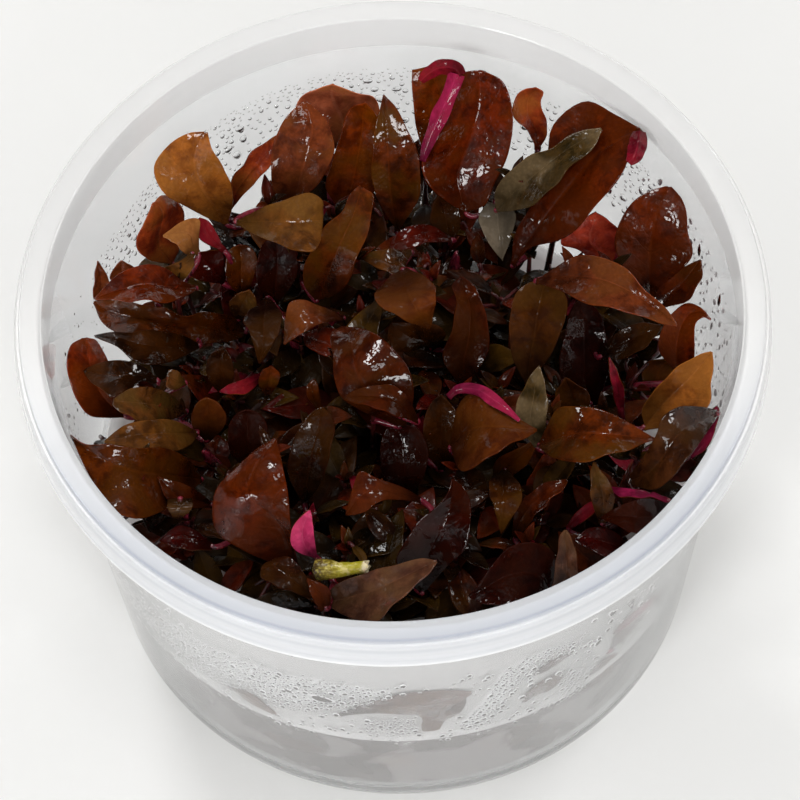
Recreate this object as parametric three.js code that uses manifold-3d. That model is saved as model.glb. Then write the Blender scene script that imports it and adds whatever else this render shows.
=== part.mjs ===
// Young red-leaved aquarium plants growing on nutrient gel in a round, thin-walled
// culture cup. Millimetres, +Z up. The origin is the centre of the cup's foot, at the
// height of the surface that it stands on.
import * as THREE from 'three';
import { mergeVertices } from 'three/addons/utils/BufferGeometryUtils.js';
import Module from 'manifold-3d';

// ---- driving dimensions -------------------------------------------------------
const RIM_DIAMETER = 95.0;        // over the outside of the rim's skirt
const CUP_HEIGHT = 60.6;          // foot to the flat lip
const MOUTH_DIAMETER = 87.6;      // clear opening inside the lip
const LIP_OUTER_DIAMETER = 93.0;  // outer edge of the flat lip
const SKIRT_HEIGHT = 4.93;        // lip to the skirt's lower edge
const BASE_DIAMETER = 77.8;       // over the outside of the foot corner
const WALL_TOP_RADIUS = 43.95;    // outside of the wall just under the rim
const FOOT_RADIUS = 38.0;         // outer edge of the flat foot ring
const FOOT_WIDTH = 2.0;
const FOOT_RECESS = 0.6;          // the floor's underside stands this far up
const FLOOR_TOP = 1.5;            // inside of the floor
const INNER_BASE_RADIUS = 37.9;
const GEL_TOP = 19.5;             // level of the gel
const GEL_GAP = 0.3;              // clearance between gel and cup
const LEAF_THICKNESS = 0.45;
const STEM_RADIUS = 0.95;
const STEM_SIDES = 8;
const CUP_SEGMENTS = 56;
const HOLE_CLEARANCE = 0.4;       // round each stem in the mass of small leaves

const RIM = RIM_DIAMETER / 2;
const MOUTH = MOUTH_DIAMETER / 2;
const LIP = LIP_OUTER_DIAMETER / 2;
const BASE = BASE_DIAMETER / 2;
const innerRadius = (z) => INNER_BASE_RADIUS + (MOUTH - INNER_BASE_RADIUS) * z / CUP_HEIGHT;

// ---- leaves ---------------------------------------------------------------------
// Each leaf is eight cross rows from its base to its tip; a row holds the left edge,
// the midrib and the right edge, as x, y, z.
const LEAVES = {
  leaf_01: [[-4.5,36.5,40.1,-4.5,36.5,40,-4.5,36.5,40.1],[-6.2,36.1,42.1,-4.6,36.6,41.7,-3,36.5,42.1],[-8.3,36,44.4,-4.9,36.8,43.8,-1.4,36.7,44.4],[-10.1,36.6,46.8,-5.3,37.7,46,-0.4,37.7,46.8],[-11.4,37.8,49,-6.2,38.9,48.3,-0.9,38.9,49],[-10.3,39.1,51.1,-6.7,39.3,50.5,-3,38.7,51.1],[-8.2,38.8,52.8,-6.6,38.9,52.5,-4.9,38.5,52.8],[-6.4,38.4,54.1,-6.4,38.4,54,-6.4,38.4,54.1]],
  leaf_02: [[-5.1,28.4,38,-5.1,28.4,37.9,-5.1,28.4,37.9],[-6.7,28.5,40.4,-5.1,28.8,39.8,-3.4,28.6,40],[-7.9,29.4,43.1,-4.8,29.7,42.1,-1.6,29.1,42.4],[-7.2,31,45.8,-4,31.2,44.7,-0.8,30.4,45],[-6.2,32.5,48.4,-3.3,32.8,47.2,-0.4,32,47.6],[-5.4,34.3,50.6,-2.8,34.4,49.7,-0.2,33.6,50],[-4.1,35.6,52.5,-2.6,35.5,51.9,-1.1,34.8,52.1],[-2.2,35.4,53.8,-2.2,35.5,53.7,-2.2,35.5,53.7]],
  leaf_03: [[1.2,25.2,38.2,1.2,25.3,38.2,1.2,25.2,38.3],[-0,26,40.7,0.8,26.3,40.5,2.7,25.7,41.1],[-1.3,27.2,43.6,0.5,27.8,43.3,4.2,26.8,44.3],[-1.8,28.9,46.4,0.4,29.4,46.1,4.6,28.6,47.3],[-1.7,30.8,49,0.4,31.2,48.7,4.1,30.7,49.8],[-1.1,32.8,51.3,0.3,33.1,51,2.8,32.8,52],[-0.4,34.7,53.1,0.2,34.8,52.9,1.6,34.8,53.5],[0.2,36.2,54.4,0.2,36.2,54.3,0.2,36.2,54.5]],
  leaf_04: [[-12.9,26.9,42.2,-12.9,26.9,42.1,-12.9,26.9,42.2],[-14.1,27.1,44.6,-12.2,27.6,44.1,-11.2,26.9,44.6],[-14.9,28.2,47.1,-11.4,28.7,46.3,-9.2,27.4,47.1],[-14.9,29.9,49.3,-10.6,30,48.3,-7.4,28.5,49.3],[-14.4,31.8,51,-9.9,31.5,50.1,-6.6,30.6,51],[-13.3,33.8,52.3,-9.3,33.3,51.5,-7,33.1,52.3],[-11.8,35.4,53,-9.6,35,52.5,-8.4,35,53],[-10.3,36.4,53.2,-10,36.4,53.1,-9.8,36.4,53.2]],
  leaf_05: [[-21.3,26.4,40.2,-21.3,26.6,40,-21.3,26.5,40.1],[-23.6,25.7,43,-22.1,26.8,42.1,-20.6,26.5,42.7],[-26.3,25.7,46,-23.1,27.2,44.6,-20.1,26.9,45.5],[-29.1,26.2,48.8,-24.1,27.9,47,-20.3,27.6,48.2],[-30,28.7,51,-24.7,28.8,49.2,-21.1,28.4,50.4],[-28.1,31,52.6,-24.8,30,51.2,-22,29.4,52.2],[-25.4,32,53.7,-24.1,31,52.8,-22.6,30.6,53.4],[-23.1,31.8,54.2,-23.4,31.8,54,-22.8,31.8,54.1]],
  leaf_06: [[8.9,29.1,38.1,8.9,29.2,38,8.9,29.1,38.1],[7.5,29.7,40.6,8.7,30.2,40.2,9.9,30.2,40.6],[5.8,30.6,43.5,8.4,31.5,43,11,31.7,43.5],[4.8,32.2,46.4,8.3,33.3,45.8,11.7,33.6,46.4],[4.4,34,49.1,8.2,35.3,48.5,12,35.7,49.1],[4,36,51.6,7.8,37.3,51.1,11.5,37.9,51.6],[3.9,37.9,53.6,6.9,38.8,53.3,9.8,39.3,53.6],[4,39.4,55.1,6.2,39.9,55,8.3,40.3,55.1]],
  leaf_07: [[10.2,25.6,41.7,10.2,25.8,41.5,10.2,25.7,41.6],[8,25.8,44.1,9.6,27.3,43.3,12.8,25.4,43.6],[5.5,26.7,46.8,9.5,29.2,45.5,14.3,27.4,46],[5,29,49.4,10.5,31.1,47.9,15.9,29.6,48.4],[6.7,31.1,51.8,11.7,32.9,50.2,16.8,32.2,50.8],[8.5,33.4,53.8,12.5,34.8,52.6,16.7,35,53.1],[9.8,35.7,55.4,12.6,36.6,54.7,15.7,37.1,55],[10.6,37.8,56.5,12.8,38.1,56.3,13.5,37.7,56.4]],
  leaf_08: [[15.8,17.5,41.4,16,17.4,41.2,16.1,17.2,41.4],[16.4,20.1,44.5,17.7,18.6,43.8,18.2,17.8,44.3],[19,22.8,47.9,20,20.3,46.7,21.7,17,47.5],[20.9,26.6,51,22.5,22,49.5,25,17.7,50.5],[22,30.8,53.5,25.1,23.9,52,27.8,19.3,53],[26.1,33.1,55.4,27.7,25.9,54.2,30,21.9,55],[29.9,30,56.6,30.7,26.8,55.9,31.8,24.6,56.4],[32.8,27.3,57.2,33.2,26.9,57.1,33.6,26.5,57.2]],
  leaf_09: [[14.1,24.4,44.2,14.2,24.2,44.1,14.4,23.8,44.2],[14.1,25.2,47.2,15.7,24.4,46.4,16.4,22,47.1],[15.8,25.8,50.2,17.6,24.8,48.9,18.9,21,50],[18.1,26.2,52.8,19.8,25.2,51.2,21,21.6,52.6],[20.8,26.5,54.7,22,26,53.1,23,22.8,54.5],[23.4,27.1,55.8,24.3,26.7,54.6,25.3,24.1,55.7],[25.9,27.9,56.3,26.4,27.5,55.6,27.1,25.8,56.2],[27.9,28.2,56.3,28,28.1,56.1,28,27.9,56.3]],
  leaf_10: [[27.5,18.6,38.1,28.3,18.6,38,29,18.5,38.1],[26.2,19,39.4,27.8,19.1,39,29.4,18.9,39.4],[24.6,19.6,40.8,27.2,19.8,40.3,29.8,19.4,40.8],[22.5,19.6,42.1,26.3,20.3,41.5,30.1,20.2,42.1],[22.6,20.1,43.2,26.3,21,42.6,29.9,21.1,43.2],[24.4,21,44.1,26.7,21.6,43.6,28.9,21.7,44.1],[25.8,22,44.7,26.8,22.3,44.4,27.9,22.2,44.7],[27.1,22.6,45.1,27.1,22.6,45,27.1,22.6,45.1]],
  leaf_11: [[33.3,12.1,40.1,33.7,12.2,39.9,34.2,12.1,40.1],[31.9,13,42.4,33.6,13.2,41.8,35.6,12.4,42.4],[30,14.1,45,33.6,14.4,44,37.4,12.9,45],[29.2,15.9,47.4,33.7,15.8,46.2,39,13.7,47.4],[29.8,18,49.6,34.1,17.2,48.4,38.4,15.6,49.6],[31.6,19.8,51.4,34.7,18.5,50.5,38.4,17.5,51.4],[33.8,20.5,52.7,35.5,19.7,52.2,37.8,19.2,52.7],[35.8,20.5,53.6,36.2,20.5,53.5,36.6,20.4,53.6]],
  leaf_12: [[18.8,11.3,46.9,18.8,11.4,46.7,18.7,11.2,46.8],[20.9,11.5,49.4,21,10.7,48.5,20.7,8.8,49.1],[23.8,11.9,51.6,23.9,9.7,50.2,23.1,6,51.2],[27.2,10.6,53.1,26.9,8.4,51.3,25.8,4.1,52.5],[30,8,53.4,29.7,6.6,51.7,28.6,2.8,52.8],[32.5,5.6,52.8,32.3,4.8,51.4,31.4,1.9,52.3],[34.6,3.7,51.3,34.4,3.3,50.5,33.9,1.7,51],[36,2.4,49.6,36,2.2,49.4,36,2,49.6]],
  leaf_13: [[36.7,0.8,39.2,36.8,0.9,39.1,36.9,0.8,39.2],[35.3,1.5,40.8,36.5,1.4,40.4,37.6,1,40.7],[34.1,2.8,42.5,36.3,2.4,41.8,38.4,1.3,42.3],[34.4,4.7,44,36.6,3.8,43.2,38.5,2.2,43.8],[35.8,6.5,45.1,37.1,5.3,44.3,38.4,3.3,44.9],[37.8,7.5,45.9,38.3,6.4,45.3,38.8,4.5,45.8],[39.7,6.3,46.3,39.8,5.9,45.9,39.8,5.1,46.2],[40.7,4.7,46.4,40.7,4.7,46.3,40.7,4.6,46.4]],
  leaf_14: [[31.6,-7.3,40.9,31.6,-7.5,40.7,31.5,-8,40.8],[31.2,-6.5,42.8,32.5,-6.8,42,33.3,-8.6,42.4],[32.1,-5.6,44.8,33.7,-6,43.5,35.6,-9.3,44.1],[33.5,-4.7,46.6,35.2,-5.3,45,37.9,-9.3,45.8],[35.1,-3.8,48,36.6,-4.6,46.4,39.4,-8.1,47.2],[36.8,-3,49,38.1,-3.7,47.7,39.9,-5.9,48.3],[38.6,-2.3,49.5,39.3,-2.8,48.8,40.2,-3.8,49.1],[40,-2.1,49.7,40.2,-2,49.6,40.2,-2.1,49.6]],
  leaf_15: [[40.4,-8.5,46,40.4,-9,45.9,40.4,-9.7,46],[38.4,-9.2,48.3,38.7,-10.7,47.9,39,-12.7,48.3],[35.8,-10,50.1,36.6,-12.6,49.4,37.3,-15.8,50.1],[33.4,-11.7,50.7,34.6,-14.6,50,35.6,-18.4,50.8],[32.2,-14.1,50.2,33.1,-16.7,49.4,33.8,-20.1,50.2],[30.9,-15.6,48.3,31.4,-17.9,47.6,31.9,-20.8,48.3],[29.6,-16.2,45.6,29.8,-17.4,45.2,30,-18.9,45.6],[28.5,-16.2,42.8,28.5,-16.4,42.7,28.6,-16.7,42.8]],
  leaf_16: [[17.8,-12.6,47.2,17.8,-13,47,17.6,-13.4,47.2],[18.8,-12,50,19.4,-13.6,49.4,18.9,-16.4,50.2],[20.2,-10.9,52.6,21.4,-14.3,51.6,20.9,-18.8,52.9],[22.9,-11.8,54.2,23.7,-15,53,23.3,-19.8,54.6],[25.6,-12.9,54.7,26,-15.5,53.6,25.7,-19.6,55.1],[28.2,-13.9,54.1,28.3,-15.7,53.2,28.1,-18.4,54.4],[30.3,-14.7,52.6,30.4,-15.4,52.1,30.2,-16.7,52.8],[32,-14.9,50.8,32,-15,50.7,32,-15.2,50.9]],
  leaf_17: [[17.2,-11.5,44,17.6,-11.5,43.9,17.9,-11.6,44],[16.3,-11.5,46.2,17.3,-11.2,45.8,18.2,-11.4,46.2],[15.2,-11.2,48.5,16.9,-10.7,47.8,18.6,-11,48.5],[14.8,-10.2,50.4,16.8,-9.7,49.5,18.9,-10.2,50.4],[15.4,-8.9,51.7,17.2,-8.5,50.8,19,-9,51.7],[16.2,-7.3,52.4,17.5,-7,51.7,18.8,-7.6,52.4],[17.2,-5.8,52.6,17.9,-5.7,52.2,18.5,-6,52.6],[18.1,-4.6,52.4,18.2,-4.6,52.3,18.2,-4.6,52.4]],
  leaf_18: [[17,1,37.7,17.2,1,37.6,17.3,1,37.7],[16.1,2,39.4,17.2,2.2,38.9,18.4,1.9,39.4],[15.2,3.6,41.3,17.5,3.8,40.4,19.8,3.1,41.3],[15,5.8,42.9,18.1,5.8,41.9,21.2,4.7,42.9],[15.2,8.1,44.1,18.6,8.1,43.1,22,6.8,44.1],[15.9,10.6,44.9,19.3,10.4,44.1,22.6,9.3,44.9],[17.8,12,45.3,19.7,12,44.9,21.6,11.4,45.3],[19.6,12.2,45.4,19.8,12.2,45.3,20,12.2,45.4]],
  leaf_19: [[24.6,1.6,32.1,25.3,1.6,32,26.1,1.5,32.1],[23,1.7,34.1,25,2.2,33.6,26.9,2.2,34.1],[21.4,2.3,36.2,24.6,3.3,35.5,27.7,3.4,36.2],[21.4,3.9,38.2,24.6,5,37.3,27.8,5.1,38.2],[21.8,5.8,39.8,24.7,6.9,38.9,27.5,7,39.8],[22.4,7.8,41,24.8,8.8,40.3,27.1,9.1,41],[23.1,9.6,41.8,24.5,10.3,41.4,25.8,10.5,41.8],[24,11,42.2,24.2,11.2,42.1,24.4,11.3,42.2]],
  leaf_20: [[8.6,2.4,36.1,9,2.4,36,9.3,2.3,36.1],[7.4,3,38,8.9,3.2,37.6,10.4,3,38],[6.3,4.2,40.1,9,4.5,39.5,11.7,4.1,40.1],[7,5.9,42.1,9.7,6.3,41.3,12.4,5.8,42.1],[7.8,7.7,43.6,10,8.2,42.9,12.2,7.8,43.6],[8.4,9.9,44.9,10,10.3,44.2,11.5,10,44.9],[7.8,11.9,45.7,9.2,12.1,45.3,10.6,11.8,45.7],[9,12.9,46.1,9.2,13,46,9.3,12.9,46.1]],
  leaf_21: [[6.5,-9.6,41.9,6.6,-9.8,42,6.8,-10.1,42.2],[7,-8.8,44.5,7.6,-10.4,45,7,-14,45.7],[7.6,-7.4,47.2,9,-10.9,48,8.1,-17.5,49.1],[9.1,-6.4,49.3,10.8,-11.8,50.3,10,-17.6,51.7],[11.6,-8.4,50.7,12.6,-12.8,51.7,12,-17.2,53],[13.8,-10.6,51.4,14.4,-13.3,52.1,14.1,-16.2,53.2],[15.8,-12,51.3,16.1,-13.3,51.8,16,-14.8,52.4],[17.4,-12.9,50.9,17.4,-13,51,17.4,-13.3,51.2]],
  leaf_22: [[0.9,13.8,46.6,1.6,14.1,46.6,2.2,14.4,46.6],[-0.4,10.7,49.9,1.7,10.9,49.8,3.3,11.6,49.9],[-1.9,7.5,52.9,1.9,7.7,52.7,4.5,8.9,52.9],[-2,4.4,54.6,2.3,5.2,54.4,5.6,6.6,54.6],[-0.3,3,54.9,2.9,3.6,54.7,5.6,4.6,54.9],[1.5,2.4,53.7,3.5,3,53.5,5.4,3.5,53.7],[3.1,2.8,51.4,4.1,3.1,51.3,5,3.3,51.4],[4.4,3.7,48.8,4.5,3.7,48.8,4.7,3.7,48.8]],
  leaf_23: [[-0.2,-7.4,44.1,0.3,-7.7,44.2,0.9,-8,44.4],[-2.2,-8,46.8,-0.9,-8.1,47.6,1.8,-7.9,48.1],[-4.6,-8.2,49.6,-2.3,-8,50.8,2.2,-6.9,51.6],[-6.8,-7.5,51.5,-3.7,-7.1,53,1.7,-5.1,54],[-7.4,-4.8,52.6,-4.7,-5.2,54,0.2,-2.9,55],[-7.8,-1.6,52.6,-5.1,-2.4,53.8,-1.9,-0.5,54.6],[-7.9,1.7,51.9,-5.4,0.7,52.6,-4.2,1.8,53],[-6.5,3.5,50.8,-6.2,3.3,51,-6.1,3.3,51.1]],
  leaf_24: [[-16.3,12.4,43.9,-16,12.5,43.9,-15.8,12.4,43.9],[-17.2,9.9,46.7,-16.2,9.7,46.5,-14.9,9.7,46.7],[-18.3,7.3,49.2,-16.4,6.8,48.9,-14,6.7,49.2],[-19,4.9,50.8,-16.4,4.3,50.4,-14.2,4,50.8],[-18.2,3,51.1,-16.4,2.6,50.7,-14.8,2.2,51.1],[-17.8,1.8,50.3,-16.6,1.5,50,-15.6,1.2,50.3],[-17.5,1.2,48.5,-16.9,1.1,48.4,-16.3,0.9,48.5],[-17.3,1.2,46.5,-17.2,1.2,46.5,-17.1,1.2,46.5]],
  leaf_25: [[-19.7,22.3,47.2,-19.7,22.2,47.1,-19.7,21.9,47.2],[-18.1,21.8,49.4,-18.2,21,48.9,-18.2,19.5,49.2],[-16.2,21.5,51.4,-16.5,19.8,50.6,-16.3,17.1,51.1],[-14.1,21.4,52.8,-14.7,19,51.9,-14.2,15.2,52.5],[-12,21.7,53.4,-12.9,18.4,52.5,-12.1,13.8,53.1],[-9.8,22.3,53.2,-11.1,18.3,52.5,-10,13.3,53],[-8.3,21.5,52.5,-9.6,18.7,52,-8.8,15.3,52.3],[-8.4,20.4,51.4,-8.4,19.3,51.3,-8.6,17.7,51.4]],
  leaf_26: [[-9.9,14.2,40,-9.6,14.2,39.9,-9.4,14.2,40],[-11.2,14.5,42.9,-8.8,14.7,42.4,-7.2,13.2,42.9],[-11.1,15.7,46,-7.8,15.5,45.2,-5.4,13.5,46],[-9.8,17.1,48.7,-6.8,16.6,47.8,-4,14.8,48.7],[-8.2,18.5,50.9,-5.6,17.9,49.9,-3,16.7,50.9],[-5.8,19.6,52.5,-4.5,19.4,51.7,-2.1,18.9,52.5],[-4.7,21.6,53.4,-3.7,21.1,52.9,-1.7,21.3,53.4],[-3.4,22.8,53.8,-3.2,22.5,53.7,-2.9,22.3,53.8]],
  leaf_27: [[-15.3,14.9,38.1,-15.2,14.9,38,-15.1,14.9,38.1],[-16.2,14.7,40.2,-15.2,15,39.7,-14.2,14.8,40.2],[-17.1,14.8,42.3,-15.1,15.3,41.6,-13,14.9,42.3],[-17.4,15.6,44.2,-14.8,16.1,43.3,-12.2,15.6,44.2],[-17.2,16.6,45.6,-14.6,17.2,44.8,-11.9,16.8,45.6],[-16.8,18,46.6,-14.6,18.5,45.9,-12.2,18.2,46.6],[-16,19.1,47,-14.7,19.4,46.6,-13.4,19.1,47],[-14.9,19.5,47.1,-14.7,19.6,47,-14.5,19.5,47.1]],
  leaf_28: [[-12.3,-16,40.1,-12.2,-15.9,40,-11.9,-16,40.1],[-13.2,-15.6,42.5,-11.9,-15.3,42,-10.8,-15.9,42.5],[-13.9,-14.8,45,-11.6,-14.4,44.2,-9.7,-15.4,45],[-13.9,-13.5,47.3,-11.1,-13.4,46.2,-9,-14.3,47.3],[-13.1,-12.1,49,-10.6,-12.2,47.9,-8.3,-12.9,49],[-12.1,-10.4,50.2,-9.9,-10.9,49.4,-7.9,-11.2,50.2],[-10.8,-9.1,50.9,-9.6,-9.5,50.4,-8.3,-9.5,50.9],[-9.5,-8.4,51.1,-9.4,-8.3,51,-9.3,-8.4,51.1]],
  leaf_29: [[-13.5,-26.5,42.5,-13.4,-26.5,42.7,-13.1,-26.4,42.8],[-16.5,-26.6,44.6,-14,-25.5,45.6,-13.4,-25.9,45.9],[-19.9,-25.8,46.9,-14.9,-24,48.7,-13.8,-24.9,49.1],[-23.2,-24,48.9,-16.8,-22.7,51.1,-13.8,-23.3,51.7],[-23.2,-20.3,50.5,-18.9,-21.2,52.7,-13.9,-21.2,53.2],[-20.5,-17.4,51.7,-17.9,-18.4,53.4,-14.3,-18.7,53.9],[-17.8,-14.9,52.4,-16.5,-15.8,53.4,-14.7,-16,53.7],[-15.3,-13.5,52.8,-15.2,-13.6,53,-15.1,-13.7,53.1]],
  leaf_30: [[-10,-32.9,45.8,-9.8,-33.1,45.7,-9.7,-33.4,45.8],[-8.9,-32.2,47.8,-8.1,-33.6,47.3,-8,-35.9,47.9],[-6.8,-32.2,49.9,-5.9,-34.1,49.1,-5.6,-38.2,50.1],[-4.4,-32.4,51.7,-3.6,-34.4,50.7,-2.9,-39,51.9],[-2,-32.6,53,-1.4,-34.1,52,-1,-37.5,53.2],[0.4,-32.2,53.8,0.7,-33.6,53,1,-35.8,54],[2.5,-32.1,54.1,2.6,-33,53.6,3,-34.4,54.2],[4.1,-32.5,54.1,4.1,-32.5,54,4.1,-32.7,54.1]],
  leaf_31: [[1.8,-30.4,42.1,2.2,-30.4,42,2.6,-30.5,42.1],[0.3,-30.2,44.8,2.4,-29.6,44.3,3.9,-30.1,44.8],[-0.8,-29.1,47.6,2.8,-28.5,46.8,5.6,-29.6,47.6],[0.1,-27.5,50.1,3.8,-27.3,49.1,7.7,-29,50.1],[2,-26.1,52,5,-26.1,51,8.4,-27.1,52],[4.1,-24.8,53.3,6,-24.5,52.5,8.6,-24.8,53.3],[5.8,-23.2,53.9,6.4,-22.7,53.5,8,-22.6,53.9],[6.5,-21.2,54.1,6.5,-21.2,54,6.6,-21.2,54.1]],
  leaf_32: [[2.5,-19.3,46.1,2.5,-19.5,46,2.5,-19.9,46],[1.1,-19.4,48.2,1.3,-20.1,47.9,1.3,-20.6,47.8],[-0.7,-19.3,50.2,-0.2,-20.5,49.7,-0.1,-21.2,49.4],[-2.8,-19.1,51.4,-1.9,-20.5,50.8,-1.6,-21.7,50.5],[-4.8,-18.2,51.6,-3.6,-20.7,51,-3.1,-22.4,50.8],[-5.8,-19.9,51,-5.1,-21.3,50.5,-4.4,-23.1,50.3],[-6.4,-21.3,49.6,-6.1,-21.9,49.4,-5.7,-22.9,49.2],[-6.9,-22.2,48.1,-6.8,-22.3,48,-6.8,-22.3,48]],
  leaf_33: [[18.3,-31.5,42.5,18,-31.6,42.4,17.8,-31.7,42.5],[18.8,-30,44.3,17.7,-31.2,43.8,16.5,-32.9,44.1],[18.6,-27.8,46.1,16.8,-30.6,45.2,15,-34,45.7],[16.1,-26.9,47.4,14.7,-30.6,46.4,13.4,-35,47],[13.1,-27.9,48.1,12.5,-31.4,47.1,11.8,-35.7,47.7],[10.9,-30.3,48.2,10.6,-32.7,47.4,10.2,-35.7,47.8],[9.3,-32.5,47.8,9.1,-33.5,47.3,8.9,-34.9,47.6],[7.8,-33.8,47.2,7.9,-34,47,8,-34.2,47.1]],
  leaf_34: [[33.1,-23.2,49,32.8,-24.6,48.9,32.4,-26.1,49],[32,-23.8,50.7,31.7,-25.4,50.3,31.4,-27.5,50.7],[30.6,-24.2,52.2,30.4,-26.2,51.5,30.1,-29,52.2],[29.2,-24.7,53,29,-26.7,52.2,28.8,-29.6,53],[27.8,-25.2,53.1,27.8,-26.6,52.3,27.6,-28.9,53.1],[26.5,-25.4,52.4,26.5,-26.3,51.8,26.4,-27.8,52.4],[25.5,-25.3,51.2,25.5,-25.8,50.9,25.4,-26.6,51.2],[24.7,-25.2,49.9,24.7,-25.3,49.8,24.7,-25.5,49.9]],
  leaf_35: [[-28.7,21.9,38.2,-28.8,22.1,38,-28.6,22.2,37.9],[-30,20.9,40.3,-29.4,22.2,39.5,-27.9,23,39],[-31.5,19.9,42.6,-30,22.4,41.4,-27.2,24.1,40.6],[-32.7,20,44.7,-30.1,22.9,43.2,-26.8,25.4,42.2],[-32.5,21,46.4,-29.8,23.5,45,-26.8,26.6,44],[-31.8,22.2,47.8,-29.3,24.1,46.6,-28,27.2,45.8],[-31,23.2,48.7,-29.6,24.6,48,-29.4,26.6,47.5],[-30.5,24.3,49.2,-30.4,24.5,49,-30.3,24.6,48.9]],
  leaf_36: [[-25.1,12.7,47.2,-25.2,12.5,47,-25,12.2,47.1],[-26.7,12.2,49.5,-26.6,11.6,48.8,-26.3,10,49.2],[-28.4,12.7,51.5,-28.5,10.8,50.4,-28.1,8.3,51.1],[-30.6,12.8,52.8,-30.6,10.7,51.5,-30.2,7.5,52.2],[-32.9,12.2,53.1,-32.6,10.3,51.8,-32.3,7.6,52.6],[-35.1,11.3,52.5,-34.7,10,51.4,-34.4,8.1,52],[-36.8,10.6,51.1,-36.5,10,50.5,-36.4,9,50.8],[-38,10.1,49.5,-38,10.1,49.4,-38,9.9,49.4]],
  leaf_37: [[-19.5,14,33.5,-19.6,13.7,33.4,-19.6,13,33.5],[-21.1,14.4,36.6,-21.8,12.5,36.1,-22.1,10.3,36.8],[-23.9,13,39.8,-24.7,11.5,38.9,-25.2,8.2,40],[-27,11.8,42.1,-27.8,11,41.1,-28.6,7.6,42.5],[-30.2,11.8,43.5,-30.9,10.8,42.5,-31.9,8.2,43.8],[-33.3,12.8,43.8,-34,11.1,43,-35.4,8,44.1],[-36.2,13.6,43.3,-36.7,12.3,42.9,-37.6,10.4,43.5],[-38.6,14.1,42.4,-38.7,14,42.3,-38.7,13.8,42.4]],
  leaf_38: [[-25.2,7.8,40.9,-25.2,7.6,40.8,-25.2,7,40.9],[-26.5,7.3,43.5,-26.8,6.2,43,-26.7,4.7,43.5],[-28.3,6.6,46.1,-28.6,4.9,45.3,-28.7,2.3,46.1],[-30.4,5.7,48,-30.7,4.1,47,-30.8,0.5,47.9],[-32.5,5.3,48.9,-32.7,4.1,48,-32.8,1,48.9],[-34.6,5.2,49,-34.8,4.7,48.2,-34.7,2.7,49],[-36.6,5.5,48.3,-36.6,5.3,47.9,-36.6,4.2,48.3],[-38.2,6,47.3,-38.2,5.9,47.2,-38.2,5.8,47.3]],
  leaf_39: [[-35,-3.1,41.7,-34.8,-2.9,41.6,-34.6,-2.6,41.7],[-36.8,-3.9,43.1,-35.9,-2.3,42.4,-34.7,-1.7,42.9],[-39.1,-4.2,44.4,-37.1,-1.4,43.3,-35.1,-0.5,44.1],[-40.6,-2.6,45.6,-38.1,-0.1,44.2,-35.8,0.8,45.2],[-41.3,-0.2,46.4,-38.7,1.5,45,-36.5,2.4,46],[-41.8,2.2,47.4,-39.1,3.2,45.7,-37.2,4.1,46.5],[-41.3,4.9,46.9,-39.3,4.7,46.3,-38,5.6,46.7],[-39.8,5.9,46.8,-39.5,6,46.6,-39.2,6,46.8]],
  leaf_40: [[-30.4,-0.4,46.3,-30.4,-0.5,46.2,-30.4,-0.8,46.3],[-31.1,-0.1,47.7,-31.4,-0.6,47.3,-31.6,-1.5,47.8],[-32.3,0.3,48.9,-32.7,-0.8,48.2,-33,-2.7,49],[-33.8,0.6,49.5,-34.2,-1,48.6,-34.4,-4.3,49.6],[-35.4,0.8,49.5,-35.7,-1,48.6,-36,-4.3,49.6],[-37.1,1,48.7,-37.2,-0.3,48,-37.6,-2.7,48.8],[-38.6,1.3,47.6,-38.6,0.5,47.1,-38.8,-0.8,47.6],[-39.7,1.5,46.2,-39.7,1.4,46.1,-39.7,1.2,46.2]],
  leaf_41: [[-27.2,0,37.6,-27.2,-0.2,37.5,-27.1,-0.6,37.6],[-27.9,-0.7,40.9,-28,-1.6,40.5,-28,-3.1,40.9],[-28.9,-1.5,44.4,-29.1,-3.1,43.6,-29.3,-5.5,44.4],[-30.2,-2.4,47.2,-30.6,-4.2,46.3,-30.7,-7.2,47.2],[-31.8,-3.1,49.2,-32,-5,48.3,-32.2,-8,49.2],[-33.3,-3.9,50.2,-33.6,-5.5,49.5,-33.7,-8,50.2],[-34.6,-4.7,50.4,-34.8,-5.7,50,-34.8,-7.2,50.4],[-35.6,-5.2,50.1,-35.6,-5.6,50,-35.7,-6.1,50.1]],
  leaf_42: [[-25.7,-5.3,41.1,-25.7,-5.6,41,-25.6,-6.1,41.1],[-26.9,-6,44,-27,-7,43.6,-26.4,-8.9,44],[-28.5,-6.7,46.7,-28.6,-8.4,46.1,-28,-11.1,46.7],[-30.4,-7.7,48.7,-30.3,-9.3,47.9,-29.8,-12,48.7],[-32.3,-8.4,49.8,-32.1,-9.9,49,-31.8,-12.4,49.8],[-34.2,-9,49.8,-34,-10.3,49.2,-33.8,-12.3,49.8],[-35.8,-9.6,49.1,-35.6,-10.3,48.7,-35.5,-11.5,49.1],[-36.9,-10,48,-36.9,-10.1,47.9,-36.9,-10.3,48]],
  leaf_43: [[-25.3,-11.6,40.6,-25.3,-12,40.4,-25.2,-12.4,40.5],[-26.3,-11.5,44.3,-27.2,-13.3,43.6,-27.2,-16.4,44],[-28.3,-11.9,48,-29.7,-14.6,46.9,-30,-20.4,47.6],[-31,-12.9,51,-32.3,-15.7,49.6,-33.4,-22.8,50.6],[-33.7,-13.8,52.8,-34.8,-15.8,51.5,-36.6,-20.8,50.2],[-36.5,-14,53.6,-37.3,-14.9,52.6,-38.1,-18.8,53.3],[-39,-13.4,53.5,-39.3,-13.4,52.8,-39.6,-15.4,53.3],[-40.6,-12.7,54.5,-40.7,-11.8,52.6,-40.6,-12.3,52.7]],
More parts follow.
